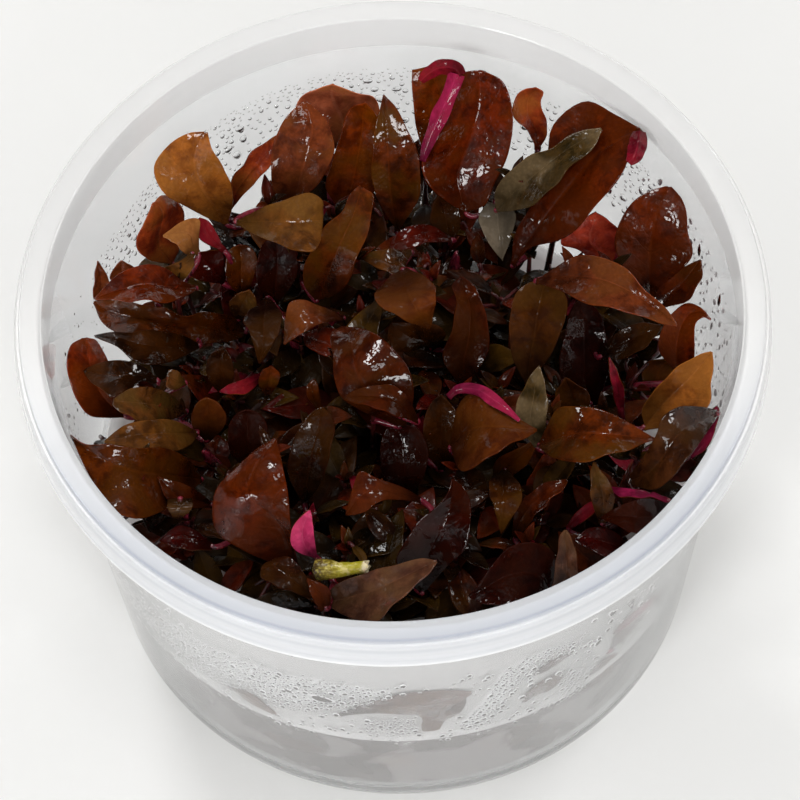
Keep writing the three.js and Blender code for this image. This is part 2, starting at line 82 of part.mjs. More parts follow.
  leaf_44: [[-19.3,-7.6,34.4,-19.1,-7.6,34.3,-18.9,-7.6,34.4],[-20.2,-7.7,36,-19.2,-7.4,35.6,-18.1,-7.5,36],[-21.2,-7.5,37.7,-19.3,-6.9,37.1,-17.2,-7.1,37.7],[-21.8,-6.6,39.2,-19.3,-6,38.4,-16.7,-6.3,39.2],[-21.8,-5.4,40.3,-19.2,-4.8,39.6,-16.6,-5.1,40.3],[-21.2,-4.2,41.1,-19.2,-3.7,40.5,-17.1,-3.9,41.1],[-20.4,-3.2,41.5,-19.2,-2.9,41.2,-18,-3.1,41.5],[-19.3,-2.8,41.6,-19.2,-2.8,41.6,-19.1,-2.8,41.6]],
  leaf_45: [[0.1,-13.2,34.7,0.3,-13.2,34.6,0.5,-13.2,34.7],[-0.8,-13,36.6,0.5,-12.7,36.1,1.7,-13,36.6],[-1.7,-12.5,38.5,0.6,-12,37.8,3,-12.4,38.5],[-2.3,-11.5,40.3,0.7,-10.8,39.4,3.6,-11,40.3],[-2.4,-10.3,41.7,0.6,-9.3,40.8,3.6,-9.4,41.7],[-2.1,-8.8,42.8,0.4,-7.8,42.1,2.9,-7.7,42.8],[-1.4,-7.5,43.4,-0.1,-7.1,43,1.2,-7.1,43.4],[-0.4,-6.7,43.6,-0.3,-6.7,43.5,-0.2,-6.8,43.6]],
  leaf_46: [[5.2,-9.4,35.2,5.4,-9.3,35.1,5.7,-9.4,35.2],[4.3,-9.2,37.2,5.4,-9,36.8,6.5,-9.3,37.2],[3.4,-8.8,39.3,5.4,-8.5,38.6,7.4,-8.9,39.3],[3.2,-8,41.2,5.5,-7.6,40.4,7.9,-8.1,41.2],[3.4,-6.9,42.8,5.7,-6.5,42,8,-7,42.8],[3.8,-5.6,44,5.7,-5.4,43.4,7.5,-5.8,44],[4.6,-4.6,44.8,5.6,-4.5,44.4,6.7,-4.7,44.8],[5.6,-4,45.2,5.7,-4,45.1,5.8,-4,45.2]],
};

// Centre lines of the upright stems.
const STEMS = {
  stem_01: [[-17.74,15.9,19.85],[-18.34,16.44,24.14],[-19.21,17.22,28.42],[-20.23,18.13,32.71],[-21.36,19.14,37.0]],
  stem_02: [[21.42,-19.34,19.85],[22.18,-20.03,25.01],[23.3,-21.03,30.18],[24.6,-22.21,35.34],[26.04,-23.51,40.5]],
  stem_03: [[6.78,-9.41,19.85],[7.05,-9.79,25.51],[7.45,-10.34,31.18],[7.91,-10.99,36.84],[8.43,-11.71,42.5]],
  stem_04: [[23.24,1.92,19.85],[23.67,1.95,22.39],[24.3,2.0,24.92],[25.04,2.07,27.46],[25.85,2.13,30.0]],
  stem_05: [[-19.91,-6.6,19.85],[-20.73,-6.87,25.14],[-21.92,-7.27,30.42],[-23.32,-7.73,35.71],[-24.87,-8.25,41.0]],
  stem_06: [[-6.95,-24.49,19.85],[-7.25,-25.55,26.39],[-7.69,-27.09,32.92],[-8.21,-28.9,39.46],[-8.77,-30.89,46.0]],
  stem_07: [[-5.97,24.51,19.85],[-6.24,25.62,25.26],[-6.64,27.24,30.68],[-7.1,29.13,36.09],[-7.61,31.23,41.5]],
  stem_08: [[-10.36,6.17,19.85],[-10.83,6.45,25.26],[-11.53,6.86,30.68],[-12.34,7.35,36.09],[-13.24,7.88,41.5]],
  stem_09: [[-23.99,10.59,19.85],[-25.09,11.07,25.39],[-26.69,11.78,30.92],[-28.57,12.61,36.46],[-30.64,13.52,42.0]],
  stem_10: [[7.36,17.91,19.85],[7.61,18.53,24.51],[7.98,19.42,29.18],[8.41,20.47,33.84],[8.89,21.63,38.5]],
};

// The pale cut stem end: x, y, z and radius along it.
const CUT_STEM = [[-10.77, -29.54, 47.65, 1.33], [-10.0, -29.67, 47.87, 1.33], [-9.04, -29.89, 48.15, 1.18], [-8.03, -30.14, 48.45, 0.96], [-7.0, -30.24, 48.74, 0.83], [-5.98, -30.31, 49.04, 0.77], [-5.08, -30.4, 49.3, 0.78], [-4.37, -30.47, 49.51, 0.81]];

// The dense mass of small leaves and side shoots below the large leaves: height of its
// top on rings round the cup's axis.
const MASS_RINGS = [0, 5, 10, 15, 20, 24, 28, 32, 35.5, 38.6];
const MASS_FLOOR = 21.0;
const MASS_TOP = [
  [37.6],
  [37.6,35.5,36.0,36.6,36.5,37.6,37.6,37.6,37.6,37.6,37.6,37.6,37.6,37.6,37.6,37.6,37.6,37.6,37.6,37.6,37.6,37.6,37.6,37.6],
  [34.5,34.5,34.5,36.5,36.5,36.5,37.6,37.6,37.6,37.6,37.6,37.6,36.5,36.5,36.5,37.6,37.6,35.8,33.1,33.6,33.6,33.6,37.6,37.6],
  [36.1,36.6,37.6,37.6,37.6,37.6,37.6,37.6,37.6,37.6,37.6,36.7,36.7,37.2,37.6,37.6,37.6,35.0,33.1,33.6,37.6,35.9,37.6,37.6],
  [32.5,35.1,37.6,37.6,37.6,37.6,37.6,37.6,37.6,36.5,37.6,37.6,36.5,32.8,32.8,37.6,37.6,37.6,37.6,37.6,37.6,35.9,37.6,34.5],
  [30.5,33.4,37.6,37.6,36.3,35.2,36.6,37.6,37.6,33.1,31.9,36.8,36.0,34.1,37.6,37.6,37.6,37.6,37.6,37.6,37.6,37.6,37.6,34.5],
  [30.5,34.9,37.6,37.6,36.8,35.2,36.6,36.4,37.6,34.8,33.9,37.5,36.0,35.8,37.6,37.6,37.6,37.6,37.6,37.6,37.6,37.6,37.6,36.5],
  [34.2,37.6,36.5,37.6,37.6,36.5,37.6,37.1,37.6,37.6,37.6,37.6,37.6,37.6,37.6,37.6,37.6,37.6,37.6,37.6,37.6,37.6,37.6,37.6],
  [34.2,37.6,36.5,37.6,37.6,37.6,37.6,37.6,37.6,37.2,37.6,37.6,37.6,37.6,37.6,37.6,37.6,37.6,37.6,37.6,37.6,37.6,37.6,37.6],
  [33.0,33.0,33.0,33.0,33.0,33.0,33.0,33.0,33.0,33.0,33.0,33.0,33.0,33.0,33.0,33.0,33.0,33.0,33.0,33.0,33.0,33.0,33.0,33.0]
];

// ---- geometry helpers -------------------------------------------------------------
const V = (x, y, z) => new THREE.Vector3(x, y, z);

function geometry(vertices, faces) {
  const g = new THREE.BufferGeometry();
  g.setAttribute('position', new THREE.Float32BufferAttribute(vertices.flatMap((v) => [v.x, v.y, v.z]), 3));
  g.setIndex(faces.flat());
  let volume = 0;
  for (const [a, b, c] of faces) {
    volume += vertices[a].dot(new THREE.Vector3().crossVectors(vertices[b], vertices[c])) / 6;
  }
  if (volume < 0) g.setIndex(faces.map(([a, b, c]) => [a, c, b]).flat());
  g.computeVertexNormals();
  return g;
}

// A thin curved blade, closed all round.
function blade(rows) {
  const n = rows.length;
  const P = rows.map((r) => [0, 1, 2].map((k) => V(r[3 * k], r[3 * k + 1], r[3 * k + 2])));
  for (let r = 0; r < n; r++) {
    const w = P[r][2].clone().sub(P[r][0]);
    if (w.length() < 0.9) {
      const ref = P[r < n / 2 ? Math.min(r + 1, n - 1) : r - 1];
      const d = ref[2].clone().sub(ref[0]).normalize();
      const c = P[r][0].clone().add(P[r][2]).multiplyScalar(0.5);
      P[r][0] = c.clone().addScaledVector(d, -0.45);
      P[r][2] = c.clone().addScaledVector(d, 0.45);
      P[r][1] = c;
    }
  }
  const top = [];
  const bottom = [];
  for (let r = 0; r < n; r++) {
    for (let c = 0; c < 3; c++) {
      const du = P[Math.min(r + 1, n - 1)][c].clone().sub(P[Math.max(r - 1, 0)][c]);
      const dv = P[r][Math.min(c + 1, 2)].clone().sub(P[r][Math.max(c - 1, 0)]);
      const nn = du.cross(dv).normalize();
      top.push(P[r][c].clone().addScaledVector(nn, LEAF_THICKNESS / 2));
      bottom.push(P[r][c].clone().addScaledVector(nn, -LEAF_THICKNESS / 2));
    }
  }
  const o = n * 3;
  const faces = [];
  for (let r = 0; r < n - 1; r++) {
    for (let c = 0; c < 2; c++) {
      const a = r * 3 + c, b = a + 1, d = a + 3, e = a + 4;
      faces.push([a, d, e], [a, e, b], [o + a, o + e, o + d], [o + a, o + b, o + e]);
    }
  }
  const ring = [0, 1, 2];
  for (let r = 1; r < n; r++) ring.push(r * 3 + 2);
  ring.push((n - 1) * 3 + 1, (n - 1) * 3);
  for (let r = n - 2; r > 0; r--) ring.push(r * 3);
  for (let k = 0; k < ring.length; k++) {
    const a = ring[k], b = ring[(k + 1) % ring.length];
    faces.push([a, b, o + b], [a, o + b, o + a]);
  }
  return geometry(top.concat(bottom), faces);
}

// A round rod along points, with a radius at each point.
function rod(points, radii, sides) {
  const verts = [];
  const faces = [];
  const n = points.length;
  for (let i = 0; i < n; i++) {
    const t = points[Math.min(i + 1, n - 1)].clone().sub(points[Math.max(i - 1, 0)]).normalize();
    const ref = Math.abs(t.z) > 0.8 ? V(1, 0, 0) : V(0, 0, 1);
    const u = new THREE.Vector3().crossVectors(t, ref).normalize();
    const w = new THREE.Vector3().crossVectors(t, u);
    for (let k = 0; k < sides; k++) {
      const a = 2 * Math.PI * k / sides;
      verts.push(points[i].clone().addScaledVector(u, radii[i] * Math.cos(a)).addScaledVector(w, radii[i] * Math.sin(a)));
    }
  }
  for (let i = 0; i < n - 1; i++) {
    for (let k = 0; k < sides; k++) {
      const a = i * sides + k, b = i * sides + (k + 1) % sides;
      faces.push([a, b, b + sides], [a, b + sides, a + sides]);
    }
  }
  const s = verts.length;
  verts.push(points[0].clone(), points[n - 1].clone());
  for (let k = 0; k < sides; k++) {
    faces.push([s, (k + 1) % sides, k]);
    faces.push([s + 1, (n - 1) * sides + k, (n - 1) * sides + (k + 1) % sides]);
  }
  return geometry(verts, faces);
}

function revolve(profile, segments) {
  const lathe = new THREE.LatheGeometry(profile.map(([r, z]) => new THREE.Vector2(r, z)), segments);
  lathe.rotateX(Math.PI / 2);
  lathe.deleteAttribute('normal');
  lathe.deleteAttribute('uv');
  const g = mergeVertices(lathe, 1e-4);
  // drop the collapsed triangles at the axis and make the faces point out
  const idx = g.index.array, pos = g.attributes.position;
  const faces = [];
  const verts = [];
  for (let i = 0; i < pos.count; i++) verts.push(V(pos.getX(i), pos.getY(i), pos.getZ(i)));
  for (let i = 0; i < idx.length; i += 3) {
    const [a, b, c] = [idx[i], idx[i + 1], idx[i + 2]];
    if (a !== b && b !== c && a !== c) faces.push([a, b, c]);
  }
  return geometry(verts, faces);
}

const wasm = await Module();
wasm.setup();

function toSolid(g) {
  const m = g.clone();
  m.deleteAttribute('normal');
  const merged = mergeVertices(m, 1e-4);
  return new wasm.Manifold(new wasm.Mesh({
    numProp: 3,
    vertProperties: new Float32Array(merged.attributes.position.array),
    triVerts: new Uint32Array(merged.index.array),
  }));
}

function fromSolid(s) {
  const m = s.getMesh();
  const g = new THREE.BufferGeometry();
  const n = m.vertProperties.length / m.numProp;
  const p = new Float32Array(n * 3);
  for (let i = 0; i < n; i++) for (let k = 0; k < 3; k++) p[3 * i + k] = m.vertProperties[i * m.numProp + k];
  g.setAttribute('position', new THREE.BufferAttribute(p, 3));
  g.setIndex(Array.from(m.triVerts));
  g.computeVertexNormals();
  return g;
}

// ---- the object ---------------------------------------------------------------------
const model = new THREE.Group();
const finish = (color, roughness, extra = {}) => new THREE.MeshStandardMaterial({ color, roughness, metalness: 0, ...extra });
function add(name, g, material) {
  const mesh = new THREE.Mesh(g, material);
  mesh.name = name;
  model.add(mesh);
  return mesh;
}

// Cup: one thin moulded wall with a flat foot ring, a raised floor, a rounded inside
// corner, a flat lip, a stepped shoulder and a hanging skirt.
const lipZ = CUP_HEIGHT;
const skirtZ = CUP_HEIGHT - SKIRT_HEIGHT;
const cupProfile = [
  [0, FOOT_RECESS],
  [FOOT_RADIUS - FOOT_WIDTH - 0.7, FOOT_RECESS],
  [FOOT_RADIUS - FOOT_WIDTH, 0],
  [FOOT_RADIUS, 0],
  [BASE - 0.15, 0.5],
  [BASE + 0.08, 1.4],
  [(BASE + WALL_TOP_RADIUS) / 2, skirtZ / 2],
  [WALL_TOP_RADIUS, skirtZ],
  [WALL_TOP_RADIUS + 0.25, lipZ - 1.5],
  [LIP - 0.1, lipZ - 1.3],
  [RIM - 0.75, skirtZ],
  [RIM, skirtZ],
  [RIM - 0.02, skirtZ + 1.3],
  [RIM - 0.16, skirtZ + 2.2],
  [RIM - 0.24, lipZ - 0.9],
  [RIM - 0.55, lipZ - 0.45],
  [LIP + 0.12, lipZ - 0.45],
  [LIP, lipZ - 0.12],
  [LIP - 0.15, lipZ],
  [MOUTH + 0.12, lipZ],
  [MOUTH - 0.03, lipZ - 0.2],
  [innerRadius(30), 30],
  [innerRadius(3.2), 3.2],
  [innerRadius(0) - 0.6, FLOOR_TOP + 0.5],
  [innerRadius(0) - 2.0, FLOOR_TOP],
  [0, FLOOR_TOP],
];
add('cup', revolve(cupProfile, CUP_SEGMENTS), finish(0xe9ecef, 0.35, { transparent: true, opacity: 0.55 }));

// Gel: fills the foot of the cup, with a low meniscus at the wall.
const g0 = GEL_GAP;
const gelProfile = [
  [0, FLOOR_TOP + g0],
  [innerRadius(0) - 2.1 - g0, FLOOR_TOP + g0],
  [innerRadius(0) - 0.75 - g0, FLOOR_TOP + 0.6 + g0],
  [innerRadius(3.2) - g0 - 0.1, 3.2 + g0],
  [innerRadius(GEL_TOP + 0.4) - g0 - 0.08, GEL_TOP + 0.35],
  [innerRadius(GEL_TOP) - g0 - 1.4, GEL_TOP],
  [0, GEL_TOP],
];
add('nutrient_gel', revolve(gelProfile, 48), finish(0xd8d6cf, 0.12, { transparent: true, opacity: 0.5 }));

// Stems: stand on the gel and carry the leaves.
const stemSolids = [];
for (const [name, points] of Object.entries(STEMS)) {
  const p = points.map((q) => V(...q));
  const radii = p.map((_, i) => STEM_RADIUS * (1.05 - 0.25 * i / (p.length - 1)));
  add(name, rod(p, radii, STEM_SIDES), finish(0x6d1c1c, 0.35));
  const first = p[0].clone().sub(p[1].clone().sub(p[0]).multiplyScalar(0.3));
  const last = p[p.length - 1].clone().add(p[p.length - 1].clone().sub(p[p.length - 2]).multiplyScalar(0.2));
  const wide = [first, ...p.slice(1, -1), last];
  stemSolids.push(toSolid(rod(wide, wide.map(() => (STEM_RADIUS * 1.05 + HOLE_CLEARANCE) * 1.06), STEM_SIDES)));
}

// Mass of small leaves: one closed body under the large leaves, pierced by the stems.
{
  const n = MASS_TOP[1].length;
  const verts = [V(0, 0, MASS_TOP[0][0])];
  for (let i = 1; i < MASS_RINGS.length; i++) {
    for (let k = 0; k < n; k++) {
      const a = 2 * Math.PI * k / n;
      verts.push(V(MASS_RINGS[i] * Math.cos(a), MASS_RINGS[i] * Math.sin(a), MASS_TOP[i][k]));
    }
  }
  const faces = [];
  const at = (i, k) => 1 + (i - 1) * n + (k % n);
  for (let k = 0; k < n; k++) faces.push([0, at(1, k), at(1, k + 1)]);
  for (let i = 1; i < MASS_RINGS.length - 1; i++) {
    for (let k = 0; k < n; k++) {
      faces.push([at(i, k), at(i + 1, k), at(i + 1, k + 1)], [at(i, k), at(i + 1, k + 1), at(i, k + 1)]);
    }
  }
  const last = MASS_RINGS.length - 1;
  const base = verts.length;
  for (let k = 0; k < n; k++) {
    const a = 2 * Math.PI * k / n;
    verts.push(V(MASS_RINGS[last] * Math.cos(a), MASS_RINGS[last] * Math.sin(a), MASS_FLOOR));
  }
  const centre = verts.length;
  verts.push(V(0, 0, MASS_FLOOR));
  for (let k = 0; k < n; k++) {
    const k2 = (k + 1) % n;
    faces.push([at(last, k), base + k, base + k2], [at(last, k), base + k2, at(last, k2)]);
    faces.push([centre, base + k2, base + k]);
  }
  let mass = toSolid(geometry(verts, faces));
  for (const s of stemSolids) mass = mass.subtract(s);
  add('small_leaves', fromSolid(mass), finish(0x3a1712, 0.4));
}

// Large leaves.
Object.entries(LEAVES).forEach(([name, rows], i) => {
  add(name, blade(rows), finish([0x5c2a14, 0x6b3316, 0x4a2412, 0x74401c][i % 4], 0.25));
});

// Cut stem end.
add('cut_stem_end', rod(CUT_STEM.map(([x, y, z]) => V(x, y, z)), CUT_STEM.map((q) => q[3]), 8), finish(0xa79a2c, 0.3));

export default model;
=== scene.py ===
import math

import bpy
import numpy as np
from mathutils import Matrix


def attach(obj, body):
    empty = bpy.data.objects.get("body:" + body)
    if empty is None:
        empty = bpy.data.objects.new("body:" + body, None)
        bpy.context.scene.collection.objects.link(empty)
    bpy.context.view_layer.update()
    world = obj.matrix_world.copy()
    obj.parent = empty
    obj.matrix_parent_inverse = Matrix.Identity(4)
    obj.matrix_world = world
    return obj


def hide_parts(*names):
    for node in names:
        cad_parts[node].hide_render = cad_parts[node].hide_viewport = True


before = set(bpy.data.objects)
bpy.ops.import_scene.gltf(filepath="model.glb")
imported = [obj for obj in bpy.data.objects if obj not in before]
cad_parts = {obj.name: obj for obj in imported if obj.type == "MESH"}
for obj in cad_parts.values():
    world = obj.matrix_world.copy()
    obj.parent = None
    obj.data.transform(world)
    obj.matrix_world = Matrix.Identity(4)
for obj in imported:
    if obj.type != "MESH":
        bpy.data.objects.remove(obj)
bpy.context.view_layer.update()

scene = bpy.context.scene
MM = 0.001

# ---------------------------------------------------------------------------------
# Tables, in millimetres in the shared frame.
# Traced leaves: name, CAD node or "", side seen from the front, upper or under tint,
# then eight cross rows (left edge, midrib, right edge) from base to tip.
LEAVES = [
    ("A5", "leaf_01", "U", "rosebrown", [-4.46, 36.46, 40.09, -4.46, 36.52, 40, -4.46, 36.46, 40.09, -6.23, 36.13, 42.07, -4.64, 36.59, 41.68, -3.05, 36.52, 42.07, -8.34, 35.99, 44.43, -4.86, 36.79, 43.78, -1.37, 36.73, 44.43, -10.11, 36.64, 46.81, -5.28, 37.71, 46.02, -0.42, 37.73, 46.81, -11.38, 37.83, 49.04, -6.15, 38.9, 48.26, -0.88, 38.92, 49.04, -10.33, 39.06, 51.12, -6.68, 39.31, 50.5, -3.02, 38.71, 51.12, -8.17, 38.75, 52.83, -6.55, 38.88, 52.46, -4.92, 38.5, 52.83, -6.42, 38.35, 54.09, -6.42, 38.41, 54, -6.42, 38.35, 54.09]),
    ("A6", "leaf_02", "U", "orangebrown", [-5.06, 28.36, 37.99, -5.07, 28.45, 37.86, -5.07, 28.42, 37.9, -6.69, 28.53, 40.35, -5.06, 28.82, 39.75, -3.43, 28.61, 39.95, -7.93, 29.44, 43.1, -4.75, 29.67, 42.13, -1.55, 29.07, 42.45, -7.19, 30.97, 45.83, -3.99, 31.22, 44.66, -0.77, 30.45, 45.05, -6.21, 32.54, 48.35, -3.33, 32.79, 47.19, -0.43, 32.01, 47.57, -5.35, 34.28, 50.65, -2.78, 34.37, 49.72, -0.2, 33.62, 50.03, -4.08, 35.61, 52.49, -2.57, 35.46, 51.93, -1.06, 34.81, 52.12, -2.22, 35.41, 53.8, -2.22, 35.5, 53.67, -2.22, 35.47, 53.71]),
    ("A7", "leaf_03", "U", "brown", [1.18, 25.24, 38.18, 1.18, 25.26, 38.15, 1.18, 25.18, 38.28, -0.03, 25.97, 40.66, 0.85, 26.32, 40.51, 2.66, 25.68, 41.1, -1.3, 27.15, 43.55, 0.54, 27.75, 43.31, 4.16, 26.75, 44.28, -1.77, 28.89, 46.38, 0.43, 29.4, 46.09, 4.55, 28.62, 47.26, -1.72, 30.82, 48.95, 0.38, 31.17, 48.66, 4.14, 30.74, 49.83, -1.11, 32.84, 51.26, 0.34, 33.06, 51.03, 2.79, 32.81, 51.96, -0.42, 34.7, 53.08, 0.25, 34.81, 52.94, 1.58, 34.83, 53.5, 0.17, 36.23, 54.36, 0.17, 36.25, 54.33, 0.17, 36.17, 54.46]),
    ("A4", "leaf_04", "U", "greybrown", [-12.87, 26.86, 42.22, -12.87, 26.93, 42.11, -12.87, 26.86, 42.22, -14.12, 27.13, 44.56, -12.2, 27.63, 44.07, -11.18, 26.93, 44.56, -14.93, 28.2, 47.08, -11.38, 28.66, 46.27, -9.19, 27.39, 47.08, -14.94, 29.87, 49.3, -10.62, 29.99, 48.32, -7.42, 28.53, 49.3, -14.39, 31.78, 51.03, -9.92, 31.52, 50.06, -6.64, 30.58, 51.03, -13.27, 33.78, 52.27, -9.28, 33.26, 51.49, -6.97, 33.06, 52.27, -11.79, 35.38, 52.96, -9.61, 35, 52.49, -8.36, 34.97, 52.96, -10.29, 36.4, 53.23, -10.04, 36.45, 53.12, -9.77, 36.37, 53.23]),
    ("A2", "", "D", "redorange", [-21.13, 27.86, 40.13, -21.14, 28, 39.91, -21.15, 28.05, 39.85, -21, 28.23, 42.51, -20.64, 28.52, 41.53, -20.24, 28.37, 41.23, -20.62, 28.95, 45.01, -19.88, 29.24, 43.39, -19.09, 28.8, 42.9, -19.55, 29.79, 47.13, -18.7, 29.95, 45.17, -17.78, 29.2, 44.58, -18.26, 30.79, 48.69, -17.39, 30.67, 46.75, -16.47, 29.65, 46.16, -16.71, 31.87, 49.67, -15.97, 31.39, 48.12, -15.2, 30.19, 47.65, -15.14, 32.79, 50.08, -14.77, 32.09, 49.15, -14.38, 30.97, 48.87, -13.91, 33.68, 50.07, -13.87, 32.73, 49.86, -13.84, 31.68, 49.79]),
    ("A1", "leaf_05", "U", "amber", [-21.29, 26.42, 40.2, -21.3, 26.55, 40, -21.29, 26.47, 40.13, -23.65, 25.68, 42.99, -22.12, 26.8, 42.1, -20.57, 26.51, 42.69, -26.33, 25.71, 46.03, -23.11, 27.22, 44.57, -20.07, 26.92, 45.54, -29.07, 26.25, 48.77, -24.07, 27.86, 47, -20.31, 27.62, 48.18, -29.99, 28.71, 50.97, -24.7, 28.79, 49.23, -21.07, 28.43, 50.39, -28.1, 30.97, 52.65, -24.76, 29.97, 51.25, -22, 29.41, 52.18, -25.45, 32, 53.69, -24.08, 30.98, 52.85, -22.58, 30.61, 53.41, -23.1, 31.83, 54.2, -23.37, 31.75, 54, -22.84, 31.78, 54.13]),
    ("A8a", "leaf_06", "U", "orangebrown", [8.9, 29.13, 38.07, 8.9, 29.18, 38, 8.9, 29.13, 38.07, 7.47, 29.73, 40.55, 8.7, 30.16, 40.25, 9.92, 30.2, 40.55, 5.79, 30.65, 43.47, 8.42, 31.5, 42.98, 11.04, 31.71, 43.47, 4.82, 32.21, 46.39, 8.26, 33.3, 45.8, 11.68, 33.62, 46.39, 4.38, 34.05, 49.1, 8.18, 35.27, 48.51, 11.95, 35.72, 49.1, 3.98, 36.01, 51.59, 7.77, 37.28, 51.13, 11.54, 37.91, 51.59, 3.92, 37.86, 53.61, 6.89, 38.77, 53.33, 9.85, 39.3, 53.61, 4.02, 39.39, 55.07, 6.16, 39.87, 55, 8.3, 40.26, 55.07]),
    ("A8b", "leaf_07", "U", "amberdark", [10.23, 25.65, 41.67, 10.23, 25.76, 41.5, 10.23, 25.72, 41.57, 7.96, 25.85, 44.06, 9.64, 27.28, 43.27, 12.76, 25.42, 43.57, 5.47, 26.73, 46.79, 9.46, 29.23, 45.49, 14.27, 27.41, 45.98, 4.98, 28.98, 49.43, 10.49, 31.11, 47.86, 15.89, 29.61, 48.45, 6.67, 31.13, 51.78, 11.69, 32.91, 50.23, 16.76, 32.17, 50.81, 8.48, 33.39, 53.84, 12.47, 34.85, 52.6, 16.72, 34.98, 53.06, 9.76, 35.7, 55.42, 12.65, 36.65, 54.67, 15.68, 37.1, 54.95, 10.55, 37.75, 56.48, 12.77, 38.06, 56.3, 13.53, 37.66, 56.37]),
    ("C1", "", "U", "redorange", [20.03, 31.99, 46.05, 20.04, 32.06, 45.94, 20.03, 32, 46.03, 19.44, 32.55, 47.39, 20.07, 32.68, 46.9, 20.67, 32.22, 47.29, 18.66, 33.33, 48.91, 20.05, 33.48, 48.1, 21.37, 32.66, 48.75, 17.45, 33.87, 50.36, 19.34, 34.25, 49.38, 21.17, 33.44, 50.16, 16.82, 34.85, 51.63, 18.87, 35.17, 50.66, 20.85, 34.33, 51.43, 17.41, 36.09, 52.71, 19.02, 36.17, 51.93, 20.59, 35.31, 52.56, 18.67, 36.57, 53.52, 19.82, 36.61, 53.05, 20.94, 36.09, 53.42, 19.84, 36.39, 54.04, 19.98, 36.45, 53.93, 20.11, 36.39, 54.02]),
    ("55b", "leaf_08", "U", "russet", [15.85, 17.46, 41.41, 15.98, 17.4, 41.24, 16.1, 17.18, 41.35, 16.42, 20.1, 44.51, 17.72, 18.65, 43.78, 18.22, 17.81, 44.27, 18.98, 22.85, 47.91, 19.95, 20.28, 46.7, 21.7, 17.03, 47.51, 20.93, 26.57, 50.98, 22.47, 22.05, 49.52, 24.96, 17.66, 50.51, 21.95, 30.75, 53.47, 25.08, 23.91, 52.03, 27.79, 19.31, 53.01, 26.13, 33.09, 55.38, 27.7, 25.94, 54.23, 30.01, 21.87, 55.02, 29.91, 29.97, 56.6, 30.66, 26.77, 55.91, 31.76, 24.56, 56.38, 32.83, 27.3, 57.23, 33.19, 26.9, 57.09, 33.55, 26.52, 57.17]),
    ("55a", "leaf_09", "U", "wetolive", [14.12, 24.42, 44.25, 14.24, 24.21, 44.08, 14.35, 23.8, 44.23, 14.13, 25.2, 47.15, 15.72, 24.43, 46.37, 16.44, 22.05, 47.06, 15.81, 25.8, 50.2, 17.65, 24.77, 48.91, 18.92, 21.01, 50.04, 18.13, 26.24, 52.79, 19.8, 25.25, 51.22, 20.98, 21.65, 52.59, 20.77, 26.48, 54.67, 21.97, 25.96, 53.12, 23.04, 22.75, 54.48, 23.45, 27.12, 55.85, 24.26, 26.73, 54.61, 25.27, 24.07, 55.7, 25.87, 27.92, 56.33, 26.35, 27.47, 55.58, 27.09, 25.79, 56.23, 27.89, 28.19, 56.3, 28.02, 28.14, 56.12, 28, 27.89, 56.28]),
    ("B80", "leaf_10", "D", "brickred", [27.48, 18.61, 38.07, 28.27, 18.61, 38, 29.05, 18.52, 38.07, 26.2, 19.03, 39.35, 27.81, 19.14, 39.05, 29.38, 18.89, 39.35, 24.59, 19.61, 40.77, 27.22, 19.83, 40.28, 29.79, 19.44, 40.77, 22.54, 19.59, 42.09, 26.34, 20.27, 41.5, 30.07, 20.22, 42.09, 22.63, 20.14, 43.2, 26.3, 21.01, 42.61, 29.9, 21.14, 43.2, 24.39, 20.96, 44.09, 26.66, 21.63, 43.63, 28.88, 21.7, 44.09, 25.79, 22.03, 44.71, 26.85, 22.27, 44.43, 27.88, 22.17, 44.71, 27.08, 22.57, 45.07, 27.09, 22.61, 45, 27.08, 22.57, 45.07]),
    ("B56", "leaf_11", "U", "russet", [33.29, 12.14, 40.08, 33.69, 12.2, 39.94, 34.2, 12.09, 40.08, 31.86, 12.95, 42.37, 33.63, 13.17, 41.78, 35.59, 12.38, 42.37, 30.04, 14.07, 44.96, 33.6, 14.41, 43.99, 37.37, 12.87, 44.96, 29.21, 15.88, 47.43, 33.74, 15.78, 46.25, 38.96, 13.73, 47.43, 29.83, 18.05, 49.57, 34.12, 17.16, 48.4, 38.39, 15.59, 49.57, 31.56, 19.79, 51.39, 34.69, 18.54, 50.46, 38.45, 17.54, 51.42, 33.82, 20.51, 52.73, 35.49, 19.66, 52.17, 37.76, 19.21, 52.73, 35.81, 20.54, 53.59, 36.2, 20.52, 53.46, 36.57, 20.42, 53.59]),
    ("B54", "", "D", "grey", [13.16, 26.32, 42.81, 14.08, 26.22, 42.77, 14.99, 26.07, 42.81, 12.52, 25.58, 42.37, 14.22, 25.76, 42.17, 15.91, 25.7, 42.37, 11.89, 24.57, 41.75, 14.35, 24.98, 41.43, 16.8, 24.98, 41.75, 12.15, 23.38, 41.02, 14.39, 23.83, 40.63, 16.61, 23.78, 41.03, 12.72, 22.32, 40.22, 14.47, 22.75, 39.84, 16.19, 22.68, 40.23, 13.44, 21.39, 39.35, 14.57, 21.72, 39.04, 15.68, 21.67, 39.35, 14.18, 20.69, 38.53, 14.7, 20.87, 38.35, 15.2, 20.83, 38.53, 14.81, 20.2, 37.84, 14.81, 20.23, 37.8, 14.81, 20.2, 37.84]),
    ("B83", "", "U", "dark", [7.99, 24.19, 36.78, 8.13, 24.24, 36.69, 8.26, 24.18, 36.78, 7.31, 24.26, 37.84, 8.06, 24.59, 37.45, 8.79, 24.43, 37.84, 6.44, 24.39, 39.04, 7.93, 25.04, 38.4, 9.4, 24.86, 39.04, 5.7, 24.8, 40.19, 7.65, 25.7, 39.41, 9.57, 25.61, 40.19, 5.58, 25.57, 41.19, 7.48, 26.51, 40.42, 9.36, 26.45, 41.19, 5.86, 26.43, 42.05, 7.26, 27.17, 41.43, 8.65, 27.11, 42.05, 6.34, 27.12, 42.68, 7.02, 27.47, 42.31, 7.68, 27.35, 42.68, 6.91, 27.57, 43.09, 6.91, 27.63, 43.01, 6.91, 27.57, 43.09]),
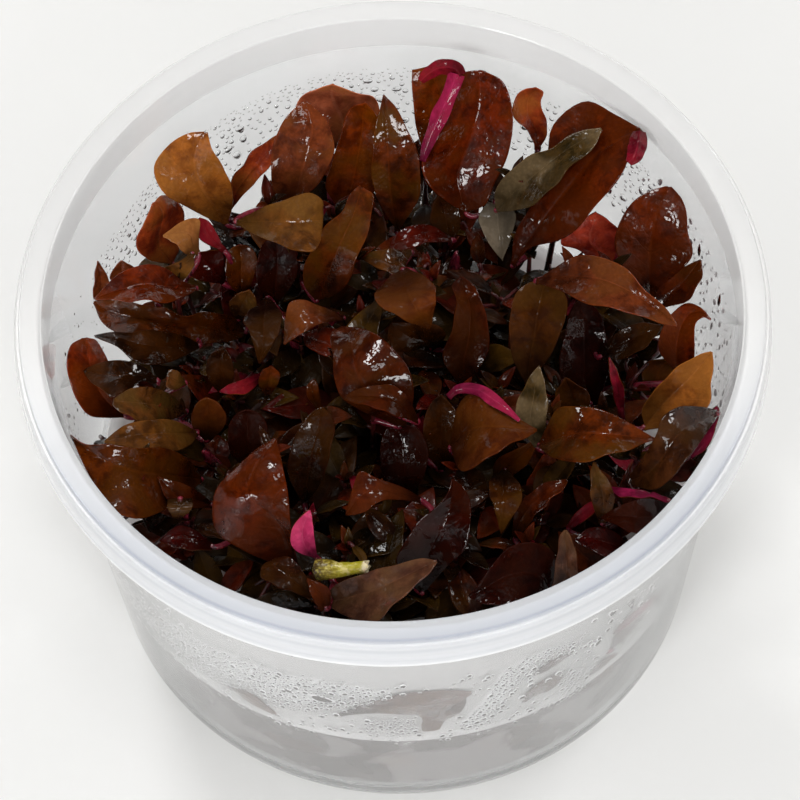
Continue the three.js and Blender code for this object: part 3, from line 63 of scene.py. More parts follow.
    ("B51", "leaf_12", "U", "greybrown", [18.75, 11.32, 46.88, 18.76, 11.44, 46.69, 18.74, 11.21, 46.82, 20.91, 11.54, 49.38, 21.04, 10.73, 48.49, 20.71, 8.75, 49.08, 23.82, 11.88, 51.64, 23.92, 9.73, 50.18, 23.08, 5.98, 51.16, 27.2, 10.61, 53.06, 26.93, 8.36, 51.29, 25.82, 4.08, 52.47, 29.97, 7.99, 53.43, 29.72, 6.63, 51.68, 28.61, 2.76, 52.85, 32.5, 5.55, 52.76, 32.28, 4.76, 51.36, 31.42, 1.93, 52.29, 34.6, 3.73, 51.32, 34.4, 3.27, 50.49, 33.94, 1.69, 51.05, 36.05, 2.43, 49.61, 36.05, 2.25, 49.42, 36.03, 2.03, 49.55]),
    ("B52", "", "U", "oliveRed", [34.74, 8.43, 44.04, 34.72, 8.25, 44.09, 34.7, 7.99, 44.26, 34.04, 9.15, 44.55, 35.24, 8.77, 44.75, 35.71, 7.44, 45.54, 34.34, 10.16, 45.25, 35.97, 9.32, 45.58, 36.97, 6.93, 46.88, 35.47, 10.78, 46.07, 36.93, 9.69, 46.46, 38.15, 7.1, 48.03, 36.66, 11.22, 46.95, 37.8, 10.18, 47.34, 39.01, 7.96, 48.9, 37.75, 11.78, 47.92, 38.59, 10.76, 48.23, 39.78, 9.07, 49.47, 38.89, 11.86, 48.81, 39.26, 11.28, 49, 39.87, 10.4, 49.75, 39.81, 11.78, 49.57, 39.8, 11.68, 49.61, 39.85, 11.56, 49.78]),
    ("B53", "leaf_13", "U", "amberdark", [36.67, 0.85, 39.19, 36.81, 0.89, 39.1, 36.93, 0.85, 39.17, 35.33, 1.5, 40.79, 36.51, 1.43, 40.39, 37.63, 0.95, 40.69, 34.07, 2.77, 42.49, 36.29, 2.36, 41.84, 38.43, 1.29, 42.33, 34.45, 4.71, 43.98, 36.55, 3.85, 43.19, 38.54, 2.18, 43.78, 35.75, 6.47, 45.11, 37.13, 5.27, 44.34, 38.39, 3.27, 44.92, 37.81, 7.54, 45.9, 38.33, 6.35, 45.28, 38.77, 4.5, 45.75, 39.67, 6.32, 46.31, 39.77, 5.91, 45.94, 39.81, 5.11, 46.21, 40.68, 4.71, 46.43, 40.68, 4.69, 46.34, 40.67, 4.57, 46.41]),
    ("B57", "leaf_14", "U", "amber", [31.56, -7.28, 40.86, 31.55, -7.47, 40.69, 31.51, -7.96, 40.77, 31.22, -6.47, 42.75, 32.48, -6.82, 41.96, 33.31, -8.64, 42.35, 32.07, -5.55, 44.77, 33.69, -6.01, 43.47, 35.56, -9.27, 44.11, 33.51, -4.72, 46.56, 35.16, -5.31, 44.99, 37.87, -9.34, 45.76, 35.08, -3.82, 47.96, 36.65, -4.58, 46.4, 39.45, -8.07, 47.17, 36.85, -2.95, 48.96, 38.07, -3.69, 47.71, 39.93, -5.88, 48.33, 38.57, -2.32, 49.52, 39.26, -2.8, 48.77, 40.24, -3.81, 49.14, 40.03, -2.14, 49.73, 40.17, -2.04, 49.55, 40.22, -2.09, 49.64]),
    ("B58", "leaf_15", "U", "greymauve", [40.45, -8.5, 46.02, 40.42, -9.04, 45.94, 40.36, -9.67, 46.03, 38.35, -9.23, 48.27, 38.69, -10.74, 47.88, 38.97, -12.68, 48.28, 35.75, -10.04, 50.06, 36.58, -12.57, 49.41, 37.31, -15.82, 50.07, 33.4, -11.7, 50.74, 34.55, -14.62, 49.96, 35.59, -18.4, 50.75, 32.25, -14.12, 50.15, 33.1, -16.69, 49.37, 33.84, -20.11, 50.15, 30.87, -15.6, 48.28, 31.45, -17.86, 47.65, 31.94, -20.79, 48.27, 29.57, -16.21, 45.6, 29.81, -17.36, 45.22, 30.01, -18.92, 45.6, 28.49, -16.23, 42.8, 28.54, -16.4, 42.71, 28.59, -16.67, 42.8]),
    ("B78", "", "D", "magenta", [36.73, -12.76, 42.31, 36.91, -12.95, 42.24, 37.07, -13.21, 42.31, 37.21, -12.17, 42.71, 37.62, -12.43, 42.42, 37.98, -13.03, 42.72, 37.81, -11.41, 43.21, 38.43, -11.69, 42.72, 38.97, -12.51, 43.21, 38.37, -10.55, 43.73, 39.07, -10.7, 43.15, 39.67, -11.51, 43.74, 38.89, -9.66, 44.25, 39.61, -9.72, 43.67, 40.23, -10.51, 44.4, 39.4, -8.76, 44.77, 40.13, -8.79, 44.3, 40.57, -9.29, 44.77, 39.93, -8.04, 45.22, 40.56, -8.02, 44.94, 40.84, -8.26, 45.22, 40.54, -7.65, 45.56, 40.61, -7.62, 45.49, 40.66, -7.66, 45.56]),
    ("B59", "leaf_16", "U", "brown", [17.8, -12.62, 47.17, 17.78, -12.98, 47.04, 17.63, -13.36, 47.21, 18.75, -12.02, 49.97, 19.36, -13.64, 49.38, 18.88, -16.42, 50.17, 20.18, -10.93, 52.55, 21.41, -14.31, 51.58, 20.92, -18.76, 52.88, 22.87, -11.77, 54.21, 23.68, -14.98, 53.03, 23.28, -19.78, 54.61, 25.59, -12.86, 54.73, 25.96, -15.5, 53.56, 25.67, -19.64, 55.12, 28.17, -13.89, 54.1, 28.27, -15.73, 53.18, 28.06, -18.4, 54.42, 30.29, -14.66, 52.64, 30.35, -15.45, 52.08, 30.21, -16.72, 52.83, 32.02, -14.88, 50.85, 32.02, -14.95, 50.72, 32, -15.19, 50.9]),
    ("B60", "leaf_17", "U", "wetolive", [17.24, -11.53, 44.01, 17.56, -11.5, 43.91, 17.87, -11.57, 44.01, 16.29, -11.48, 46.21, 17.27, -11.21, 45.76, 18.22, -11.44, 46.21, 15.15, -11.15, 48.49, 16.91, -10.67, 47.76, 18.62, -11.01, 48.49, 14.76, -10.18, 50.37, 16.85, -9.68, 49.49, 18.87, -10.2, 50.37, 15.42, -8.88, 51.68, 17.22, -8.46, 50.8, 18.95, -9.04, 51.68, 16.23, -7.33, 52.41, 17.52, -7.04, 51.72, 18.75, -7.56, 52.41, 17.19, -5.85, 52.6, 17.86, -5.68, 52.18, 18.5, -6.01, 52.6, 18.09, -4.62, 52.42, 18.15, -4.57, 52.32, 18.21, -4.63, 52.42]),
    ("B50", "leaf_18", "U", "tan", [17.05, 0.97, 37.68, 17.19, 1.02, 37.57, 17.31, 0.95, 37.68, 16.07, 1.99, 39.42, 17.23, 2.22, 38.92, 18.36, 1.87, 39.42, 15.21, 3.64, 41.26, 17.53, 3.85, 40.45, 19.78, 3.1, 41.26, 14.99, 5.77, 42.87, 18.14, 5.8, 41.88, 21.21, 4.66, 42.87, 15.16, 8.14, 44.08, 18.63, 8.08, 43.11, 22.01, 6.85, 44.08, 15.94, 10.59, 44.91, 19.32, 10.44, 44.13, 22.64, 9.34, 44.91, 17.76, 11.99, 45.33, 19.71, 11.97, 44.86, 21.62, 11.37, 45.32, 19.58, 12.17, 45.43, 19.78, 12.23, 45.32, 19.97, 12.15, 45.43]),
    ("B61", "", "D", "crimson", [28.83, -4.92, 38.02, 28.9, -4.91, 38, 28.96, -4.94, 38.05, 28.51, -4.46, 39.15, 28.81, -4.37, 39.05, 29.09, -4.47, 39.3, 28.12, -3.83, 40.45, 28.69, -3.65, 40.28, 29.23, -3.8, 40.69, 27.8, -3.06, 41.7, 28.52, -2.81, 41.5, 29.2, -2.96, 41.99, 27.58, -2.19, 42.81, 28.28, -1.91, 42.61, 28.94, -2.03, 43.1, 27.45, -1.23, 43.78, 27.95, -1, 43.62, 28.43, -1.08, 44.01, 27.4, -0.32, 44.52, 27.66, -0.16, 44.43, 27.9, -0.2, 44.66, 27.36, 0.44, 45.02, 27.43, 0.52, 45, 27.5, 0.56, 45.05]),
    ("B62", "", "U", "dark", [26.62, 5.13, 38.69, 26.77, 4.42, 38.6, 26.91, 3.61, 38.69, 27.33, 5.37, 39.92, 27.67, 4.43, 39.53, 27.96, 3.03, 39.92, 28.23, 5.82, 41.17, 28.79, 4.54, 40.52, 29.27, 2.5, 41.17, 29.39, 6.26, 42.17, 30.06, 4.81, 41.38, 30.62, 2.43, 42.17, 30.75, 6.51, 42.82, 31.38, 5.15, 42.04, 31.9, 2.88, 42.82, 32.2, 6.6, 43.12, 32.69, 5.54, 42.5, 33.09, 3.73, 43.12, 33.48, 6.39, 43.1, 33.77, 5.83, 42.73, 34.01, 4.84, 43.1, 34.49, 6.28, 42.88, 34.55, 6.17, 42.8, 34.6, 5.97, 42.88]),
    ("B63", "leaf_19", "U", "darkbrown", [24.55, 1.57, 32.08, 25.34, 1.58, 31.99, 26.12, 1.48, 32.09, 23.03, 1.69, 34.07, 24.99, 2.22, 33.62, 26.9, 2.24, 34.07, 21.43, 2.32, 36.24, 24.61, 3.3, 35.51, 27.72, 3.44, 36.24, 21.36, 3.93, 38.2, 24.62, 5.05, 37.32, 27.79, 5.12, 38.21, 21.79, 5.75, 39.8, 24.71, 6.9, 38.93, 27.53, 7.01, 39.8, 22.35, 7.75, 41.03, 24.77, 8.84, 40.33, 27.11, 9.09, 41.03, 23.12, 9.58, 41.81, 24.47, 10.29, 41.39, 25.78, 10.51, 41.81, 23.95, 11.03, 42.21, 24.15, 11.23, 42.11, 24.35, 11.31, 42.21]),
    ("B64", "", "D", "brown", [33.52, 0.49, 35.73, 33.77, 0.36, 35.67, 34.02, 0.16, 35.73, 32.84, 0.79, 36.4, 33.7, 0.69, 36.15, 34.53, 0.3, 36.4, 32.04, 1.24, 37.15, 33.63, 1.12, 36.75, 35.17, 0.52, 37.15, 31.9, 2.13, 37.88, 33.88, 1.79, 37.39, 35.8, 0.88, 37.88, 32.38, 2.99, 38.51, 34.34, 2.51, 38.03, 36.23, 1.47, 38.51, 33.34, 3.34, 39.06, 34.9, 3.01, 38.67, 36.4, 2.22, 39.06, 34.34, 3.14, 39.46, 35.15, 3.07, 39.23, 35.92, 2.72, 39.46, 35.13, 3.02, 39.72, 35.27, 3.04, 39.67, 35.39, 3, 39.72]),
    ("B65", "leaf_20", "U", "oliveRed", [8.56, 2.35, 36.09, 8.95, 2.38, 36, 9.33, 2.3, 36.09, 7.39, 3, 38.02, 8.92, 3.23, 37.62, 10.42, 3.01, 38.02, 6.29, 4.19, 40.14, 9.02, 4.52, 39.49, 11.72, 4.09, 40.14, 6.95, 5.87, 42.07, 9.68, 6.3, 41.28, 12.38, 5.8, 42.07, 7.84, 7.7, 43.64, 10.04, 8.23, 42.87, 12.2, 7.82, 43.64, 8.37, 9.86, 44.87, 9.97, 10.29, 44.25, 11.54, 9.97, 44.87, 7.81, 11.87, 45.66, 9.22, 12.09, 45.29, 10.62, 11.85, 45.66, 9.02, 12.94, 46.09, 9.16, 12.99, 46, 9.28, 12.92, 46.09]),
    ("B31", "leaf_21", "U", "redtan", [6.53, -9.63, 41.89, 6.65, -9.84, 42, 6.77, -10.08, 42.15, 7.01, -8.78, 44.49, 7.62, -10.38, 44.98, 7.01, -14.03, 45.67, 7.61, -7.41, 47.17, 9.03, -10.94, 47.98, 8.07, -17.5, 49.11, 9.1, -6.37, 49.3, 10.8, -11.81, 50.28, 10.03, -17.65, 51.66, 11.56, -8.41, 50.69, 12.62, -12.79, 51.66, 12.02, -17.18, 53.02, 13.76, -10.6, 51.35, 14.45, -13.29, 52.12, 14.09, -16.15, 53.21, 15.79, -12.01, 51.31, 16.08, -13.31, 51.77, 15.98, -14.85, 52.42, 17.38, -12.91, 50.89, 17.38, -13.04, 51, 17.42, -13.28, 51.15]),
    ("B32", "leaf_22", "U", "redtan", [0.93, 13.81, 46.61, 1.59, 14.09, 46.59, 2.25, 14.35, 46.61, -0.37, 10.73, 49.91, 1.69, 10.92, 49.81, 3.27, 11.6, 49.91, -1.87, 7.46, 52.87, 1.89, 7.69, 52.71, 4.52, 8.87, 52.87, -2.02, 4.4, 54.61, 2.32, 5.19, 54.41, 5.59, 6.59, 54.6, -0.27, 2.97, 54.87, 2.87, 3.62, 54.67, 5.59, 4.59, 54.86, 1.47, 2.4, 53.66, 3.49, 2.97, 53.5, 5.4, 3.5, 53.66, 3.08, 2.8, 51.4, 4.08, 3.13, 51.3, 5.03, 3.32, 51.4, 4.41, 3.7, 48.83, 4.54, 3.71, 48.8, 4.67, 3.69, 48.83]),
    ("B33", "leaf_23", "U", "oliveRed", [-0.21, -7.44, 44.08, 0.29, -7.71, 44.24, 0.92, -7.95, 44.35, -2.16, -7.98, 46.84, -0.86, -8.06, 47.58, 1.83, -7.86, 48.07, -4.56, -8.21, 49.57, -2.26, -7.95, 50.79, 2.23, -6.89, 51.59, -6.81, -7.47, 51.54, -3.68, -7.08, 53.02, 1.74, -5.07, 53.99, -7.38, -4.85, 52.56, -4.7, -5.24, 54.02, 0.19, -2.93, 54.98, -7.76, -1.6, 52.62, -5.14, -2.42, 53.79, -1.92, -0.47, 54.56, -7.94, 1.7, 51.88, -5.37, 0.67, 52.58, -4.15, 1.75, 53.05, -6.49, 3.46, 50.81, -6.24, 3.27, 50.98, -6.11, 3.27, 51.09]),
    ("B34", "", "U", "oliveRed", [2.59, -9.51, 48.96, 2.58, -9.75, 48.87, 2.57, -10.09, 48.96, 2.14, -9.2, 51.17, 1.81, -9.81, 50.78, 1.47, -10.88, 51.17, 1.33, -8.55, 53.24, 0.72, -9.63, 52.6, 0.11, -11.45, 53.25, -0.08, -7.9, 54.62, -0.69, -9.25, 53.84, -1.29, -11.5, 54.63, -1.96, -7.92, 55.14, -2.36, -9.11, 54.37, -2.75, -11.19, 55.15, -3.87, -7.92, 54.8, -4.06, -8.84, 54.18, -4.23, -10.48, 54.8, -5.47, -7.91, 53.8, -5.5, -8.44, 53.43, -5.53, -9.4, 53.8, -6.56, -8.04, 52.54, -6.56, -8.1, 52.45, -6.56, -8.26, 52.54]),
    ("B35", "", "U", "greybrown", [-6.31, 9.99, 42.58, -6.32, 9.74, 42.5, -6.33, 9.46, 42.46, -7.67, 9.18, 45.2, -7.37, 8.49, 44.81, -7.28, 8.01, 44.66, -9.39, 8.71, 47.54, -8.69, 7.39, 46.89, -8.46, 6.66, 46.64, -11.26, 8.82, 48.9, -10.11, 6.72, 48.11, -9.7, 5.58, 47.82, -13.05, 8.43, 49.1, -11.41, 5.91, 48.31, -10.88, 4.85, 48.02, -13.61, 6.72, 48.11, -12.48, 5.27, 47.49, -12.03, 4.56, 47.25, -13.92, 5.74, 46.3, -13.32, 5.07, 45.93, -13.05, 4.77, 45.79, -14.12, 5.34, 44.24, -14, 5.24, 44.15, -13.87, 5.25, 44.12]),
    ("B36", "leaf_24", "U", "dark", [-16.29, 12.45, 43.9, -16.03, 12.46, 43.86, -15.77, 12.42, 43.9, -17.16, 9.91, 46.69, -16.19, 9.69, 46.5, -14.91, 9.67, 46.69, -18.27, 7.34, 49.23, -16.38, 6.79, 48.91, -14.03, 6.72, 49.23, -18.96, 4.91, 50.77, -16.42, 4.34, 50.38, -14.18, 4.04, 50.78, -18.21, 3.04, 51.12, -16.42, 2.57, 50.73, -14.8, 2.22, 51.12, -17.78, 1.77, 50.27, -16.65, 1.5, 49.96, -15.55, 1.18, 50.27, -17.5, 1.22, 48.54, -16.94, 1.13, 48.35, -16.34, 0.92, 48.54, -17.32, 1.17, 46.53, -17.19, 1.19, 46.49, -17.06, 1.15, 46.53]),
    ("B37", "leaf_25", "U", "tanolive", [-19.66, 22.33, 47.23, -19.66, 22.24, 47.13, -19.67, 21.89, 47.2, -18.1, 21.83, 49.35, -18.25, 21.03, 48.9, -18.19, 19.47, 49.2, -16.15, 21.47, 51.36, -16.52, 19.84, 50.63, -16.27, 17.09, 51.12, -14.06, 21.43, 52.76, -14.7, 18.95, 51.88, -14.16, 15.25, 52.47, -11.95, 21.72, 53.39, -12.91, 18.45, 52.51, -12.09, 13.85, 53.1, -9.81, 22.26, 53.23, -11.14, 18.32, 52.53, -9.96, 13.32, 53, -8.33, 21.5, 52.46, -9.61, 18.69, 52.05, -8.81, 15.34, 52.33, -8.37, 20.42, 51.43, -8.41, 19.26, 51.33, -8.58, 17.7, 51.4]),
    ("B38", "leaf_26", "U", "brown", [-9.91, 14.2, 39.99, -9.65, 14.25, 39.88, -9.39, 14.17, 39.99, -11.18, 14.5, 42.87, -8.84, 14.74, 42.37, -7.25, 13.15, 42.87, -11.09, 15.72, 45.98, -7.83, 15.54, 45.17, -5.35, 13.52, 45.98, -9.76, 17.06, 48.74, -6.78, 16.63, 47.76, -4.04, 14.85, 48.74, -8.15, 18.52, 50.91, -5.63, 17.89, 49.94, -3.02, 16.68, 50.91, -5.84, 19.62, 52.49, -4.48, 19.4, 51.71, -2.11, 18.92, 52.49, -4.73, 21.65, 53.39, -3.74, 21.07, 52.92, -1.66, 21.29, 53.39, -3.44, 22.78, 53.77, -3.2, 22.53, 53.66, -2.94, 22.3, 53.77]),
    ("B40", "", "U", "oliveamber", [2.89, 19.65, 42.47, 2.88, 19.37, 42.42, 2.87, 19.04, 42.47, 2.07, 18.87, 43.88, 2.17, 18.09, 43.68, 2.27, 17.08, 43.88, 1.04, 18.18, 45.17, 1.32, 16.74, 44.85, 1.61, 14.89, 45.17, -0.06, 17.76, 45.99, 0.33, 15.88, 45.6, 0.73, 13.52, 45.99, -1.15, 17.55, 46.23, -0.85, 16.1, 45.84, -0.54, 14.17, 46.23, -2.23, 17.52, 45.87, -2.02, 16.55, 45.56, -1.81, 15.19, 45.87, -3.12, 17.57, 45.09, -3.02, 17.11, 44.9, -2.92, 16.41, 45.09, -3.79, 17.73, 44.15, -3.79, 17.68, 44.11, -3.79, 17.57, 44.15]),
    ("B39", "", "U", "redbrown", [8.27, 23.98, 38.09, 8.25, 23.71, 38.02, 8.24, 23.38, 38.05, 7.37, 23.84, 39.53, 7.3, 23.35, 39.24, 7.22, 22.58, 39.38, 6.27, 23.92, 40.92, 6.11, 23.1, 40.43, 5.95, 21.82, 40.67, 4.9, 23.85, 41.9, 4.76, 22.79, 41.31, 4.62, 21.18, 41.6, 3.45, 23.52, 42.37, 3.4, 22.26, 41.78, 3.34, 20.46, 42.07, 2.04, 23.16, 42.31, 2.06, 21.79, 41.84, 2.08, 19.97, 42.07, 1.04, 22.58, 41.83, 0.98, 21.55, 41.55, 0.93, 20.25, 41.69, 0.35, 22.15, 41.17, 0.19, 21.5, 41.11, 0.03, 20.79, 41.14]),
    ("B41", "", "U", "amberbrown", [-19.71, 17.41, 36.33, -19.65, 17.46, 36.25, -19.58, 17.41, 36.33, -20.4, 17.29, 37.89, -19.65, 17.56, 37.55, -18.88, 17.42, 37.89, -21.13, 17.42, 39.58, -19.66, 17.9, 39.01, -18.14, 17.69, 39.58, -21.43, 18.05, 41.06, -19.53, 18.6, 40.37, -17.58, 18.29, 41.06, -21.46, 18.93, 42.2, -19.39, 19.48, 41.52, -17.26, 19.17, 42.2, -21.24, 19.99, 43.02, -19.46, 20.45, 42.47, -17.63, 20.23, 43.02, -20.37, 20.6, 43.46, -19.47, 20.91, 43.13, -18.56, 20.81, 43.46, -19.5, 20.9, 43.62, -19.5, 20.95, 43.54, -19.5, 20.9, 43.62]),
    ("B42", "leaf_27", "U", "darkbrown", [-15.34, 14.87, 38.1, -15.21, 14.92, 38, -15.08, 14.86, 38.1, -16.16, 14.7, 40.16, -15.18, 15.01, 39.71, -14.16, 14.78, 40.16, -17.13, 14.79, 42.34, -15.11, 15.31, 41.61, -13.04, 14.93, 42.34, -17.42, 15.55, 44.22, -14.84, 16.12, 43.34, -12.2, 15.6, 44.22, -17.16, 16.64, 45.63, -14.56, 17.25, 44.76, -11.9, 16.77, 45.63, -16.85, 18.01, 46.57, -14.56, 18.54, 45.88, -12.24, 18.18, 46.57, -16, 19.09, 47.02, -14.7, 19.35, 46.6, -13.39, 19.09, 47.02, -14.92, 19.54, 47.1, -14.73, 19.59, 47, -14.53, 19.52, 47.1]),
    ("B43", "", "U", "oliveamber", [-20.39, 15.24, 34.39, -20.26, 15.26, 34.34, -20.12, 15.22, 34.39, -20.77, 15.2, 35.54, -20.14, 15.14, 35.29, -19.48, 14.78, 35.53, -21.24, 15.26, 36.8, -19.99, 15.05, 36.4, -18.71, 14.35, 36.8, -21.3, 15.58, 37.97, -19.72, 15.26, 37.48, -18.09, 14.34, 37.97, -20.71, 15.84, 38.95, -19.23, 15.54, 38.46, -17.72, 14.63, 38.94, -19.9, 15.93, 39.73, -18.81, 15.76, 39.34, -17.7, 15.12, 39.72, -19.09, 15.84, 40.25, -18.61, 15.81, 40.02, -18.11, 15.49, 40.25, -18.46, 15.83, 40.56, -18.47, 15.87, 40.5, -18.46, 15.83, 40.56]),
    ("B44", "", "U", "darkolive", [-22.41, 1.33, 38.07, -22.22, 1.36, 38, -22.02, 1.31, 38.07, -23, 1.47, 39.35, -22.3, 1.61, 39.05, -21.57, 1.4, 39.35, -23.73, 1.75, 40.77, -22.39, 1.97, 40.28, -21.02, 1.62, 40.77, -24.17, 2.39, 42.09, -22.46, 2.58, 41.5, -20.7, 2.08, 42.09, -24.17, 3.27, 43.2, -22.47, 3.33, 42.61, -20.72, 2.71, 43.2, -23.61, 4.09, 44.09, -22.28, 4.04, 43.62, -20.91, 3.44, 44.09, -22.66, 4.5, 44.71, -22, 4.47, 44.43, -21.31, 4.09, 44.71, -21.81, 4.66, 45.07, -21.74, 4.69, 45, -21.68, 4.65, 45.07]),
    ("B45", "", "D", "crimson", [-17.21, 3.77, 39.83, -17.23, 3.19, 39.79, -17.24, 2.57, 39.83, -17.84, 2.75, 41.08, -17.78, 2.11, 40.88, -17.71, 1.24, 41.08, -18.63, 1.7, 42.25, -18.49, 0.96, 41.92, -18.33, -0.15, 42.25, -19.49, 0.89, 43.03, -19.33, 0.09, 42.64, -19.13, -1.17, 43.03, -20.4, 0.44, 43.33, -20.25, -0.33, 42.94, -20.06, -1.56, 43.33, -21.3, 0.21, 43.14, -21.19, -0.37, 42.83, -21.04, -1.31, 43.14, -22.03, 0.04, 42.59, -21.98, -0.26, 42.4, -21.9, -0.77, 42.59, -22.59, 0.01, 41.89, -22.6, -0.08, 41.85, -22.6, -0.21, 41.89]),
    ("B46", "", "U", "brown", [-16.71, 1.08, 38.24, -16.58, 1.09, 38.2, -16.45, 1.06, 38.24, -17.04, 0.86, 39.53, -16.53, 0.94, 39.34, -16.01, 0.79, 39.53, -17.44, 0.74, 40.92, -16.47, 0.84, 40.6, -15.47, 0.57, 40.92, -17.57, 0.9, 42.14, -16.31, 0.98, 41.74, -15.02, 0.59, 42.14, -17.36, 1.23, 43.07, -16.08, 1.28, 42.69, -14.77, 0.88, 43.07, -16.96, 1.62, 43.73, -15.94, 1.66, 43.42, -14.9, 1.33, 43.73, -16.36, 1.82, 44.09, -15.87, 1.86, 43.9, -15.36, 1.67, 44.09, -15.88, 2.02, 44.21, -15.81, 2.04, 44.17, -15.75, 2.01, 44.21]),
    ("B48", "", "U", "amberbrown", [-9.69, -1.71, 38.03, -9.62, -1.7, 38, -9.56, -1.72, 38.03, -10.1, -1.88, 39.29, -9.85, -1.76, 39.14, -9.6, -1.82, 39.29, -10.63, -1.98, 40.65, -10.15, -1.76, 40.41, -9.66, -1.82, 40.65, -11.11, -1.86, 41.86, -10.42, -1.6, 41.56, -9.73, -1.69, 41.86, -11.37, -1.47, 42.8, -10.59, -1.27, 42.51, -9.8, -1.41, 42.8, -11.36, -0.88, 43.48, -10.62, -0.79, 43.25, -9.88, -0.98, 43.48, -10.89, -0.44, 43.87, -10.47, -0.39, 43.73, -10.04, -0.5, 43.87, -10.43, -0.1, 44.03, -10.37, -0.08, 44, -10.3, -0.11, 44.03]),
    ("B49", "leaf_28", "U", "dark", [-12.32, -15.96, 40.12, -12.2, -15.9, 40, -11.94, -15.98, 40.12, -13.19, -15.63, 42.49, -11.91, -15.3, 41.95, -10.85, -15.87, 42.49, -13.89, -14.79, 45.04, -11.55, -14.44, 44.15, -9.68, -15.38, 45.04, -13.93, -13.47, 47.28, -11.14, -13.37, 46.2, -9.01, -14.28, 47.28, -13.1, -12.07, 49.01, -10.58, -12.18, 47.94, -8.31, -12.93, 49.01, -12.11, -10.44, 50.23, -9.93, -10.86, 49.37, -7.92, -11.2, 50.23, -10.85, -9.09, 50.89, -9.59, -9.49, 50.38, -8.26, -9.48, 50.89, -9.51, -8.38, 51.12, -9.38, -8.31, 51, -9.26, -8.39, 51.12]),
    ("B24", "leaf_29", "U", "russet", [-13.52, -26.47, 42.48, -13.38, -26.46, 42.72, -13.13, -26.37, 42.79, -16.51, -26.63, 44.56, -13.96, -25.47, 45.65, -13.43, -25.87, 45.94, -19.93, -25.75, 46.87, -14.89, -23.98, 48.66, -13.8, -24.88, 49.14, -23.22, -23.99, 48.91, -16.84, -22.69, 51.07, -13.81, -23.31, 51.66, -23.24, -20.33, 50.53, -18.88, -21.24, 52.66, -13.91, -21.25, 53.25, -20.53, -17.37, 51.73, -17.94, -18.37, 53.44, -14.32, -18.7, 53.9, -17.83, -14.93, 52.42, -16.47, -15.8, 53.45, -14.73, -16.04, 53.72, -15.33, -13.48, 52.77, -15.2, -13.63, 53.01, -15.14, -13.67, 53.08]),
    ("B25", "", "D", "pink", [-11.03, -26.45, 45.15, -10.85, -26.43, 45.1, -10.66, -26.47, 45.15, -12.01, -26.85, 46.4, -11.38, -26.47, 46.16, -10.73, -26.34, 46.4, -13.13, -26.97, 47.81, -11.99, -26.32, 47.4, -10.83, -26.1, 47.81, -13.84, -26.39, 49.12, -12.38, -25.8, 48.63, -10.89, -25.73, 49.12, -13.73, -25.47, 50.24, -12.34, -25.11, 49.76, -10.92, -25.27, 50.24, -13.04, -24.62, 51.17, -12, -24.45, 50.78, -10.94, -24.7, 51.17, -12.16, -24.05, 51.83, -11.59, -23.96, 51.59, -11.02, -24.13, 51.83, -11.41, -23.62, 52.23, -11.28, -23.59, 52.18, -11.16, -23.63, 52.23]),
    ("B27", "leaf_30", "U", "mauve", [-9.96, -32.87, 45.79, -9.84, -33.1, 45.68, -9.73, -33.45, 45.81, -8.91, -32.25, 47.8, -8.07, -33.64, 47.31, -8.01, -35.93, 47.9, -6.83, -32.17, 49.91, -5.88, -34.14, 49.1, -5.61, -38.16, 50.08, -4.43, -32.41, 51.69, -3.59, -34.38, 50.71, -2.92, -38.99, 51.9, -2.01, -32.55, 52.99, -1.41, -34.11, 52.02, -0.99, -37.49, 53.19, 0.35, -32.24, 53.8, 0.72, -33.58, 53.02, 0.99, -35.76, 53.96, 2.47, -32.07, 54.11, 2.58, -32.98, 53.65, 2.98, -34.4, 54.2, 4.06, -32.52, 54.08, 4.06, -32.47, 53.97, 4.11, -32.68, 54.1]),
    ("B28", "leaf_31", "U", "darkbrown", [1.84, -30.45, 42.11, 2.22, -30.41, 42, 2.59, -30.49, 42.11, 0.32, -30.18, 44.78, 2.39, -29.61, 44.28, 3.9, -30.14, 44.78, -0.83, -29.08, 47.63, 2.76, -28.48, 46.82, 5.62, -29.57, 47.63, 0.13, -27.48, 50.1, 3.82, -27.33, 49.12, 7.66, -28.97, 50.1, 1.98, -26.13, 51.99, 5.01, -26.06, 51.02, 8.4, -27.09, 51.99, 4.1, -24.78, 53.28, 6.03, -24.47, 52.5, 8.55, -24.75, 53.28, 5.83, -23.17, 53.93, 6.36, -22.69, 53.46, 7.96, -22.57, 53.93, 6.47, -21.21, 54.11, 6.53, -21.15, 54, 6.65, -21.22, 54.11]),
    ("B29", "leaf_32", "U", "tanred", [2.51, -19.27, 46.07, 2.5, -19.52, 46, 2.48, -19.92, 45.97, 1.09, -19.39, 48.22, 1.27, -20.09, 47.93, 1.33, -20.63, 47.78, -0.73, -19.3, 50.18, -0.25, -20.5, 49.69, -0.1, -21.2, 49.45, -2.84, -19.11, 51.37, -1.88, -20.54, 50.78, -1.64, -21.66, 50.49, -4.85, -18.18, 51.63, -3.58, -20.73, 51.05, -3.07, -22.44, 50.76, -5.84, -19.94, 50.97, -5.09, -21.28, 50.5, -4.41, -23.06, 50.27, -6.45, -21.33, 49.63, -6.07, -21.94, 49.35, -5.72, -22.92, 49.21, -6.92, -22.15, 48.07, -6.8, -22.26, 48, -6.81, -22.31, 47.97]),
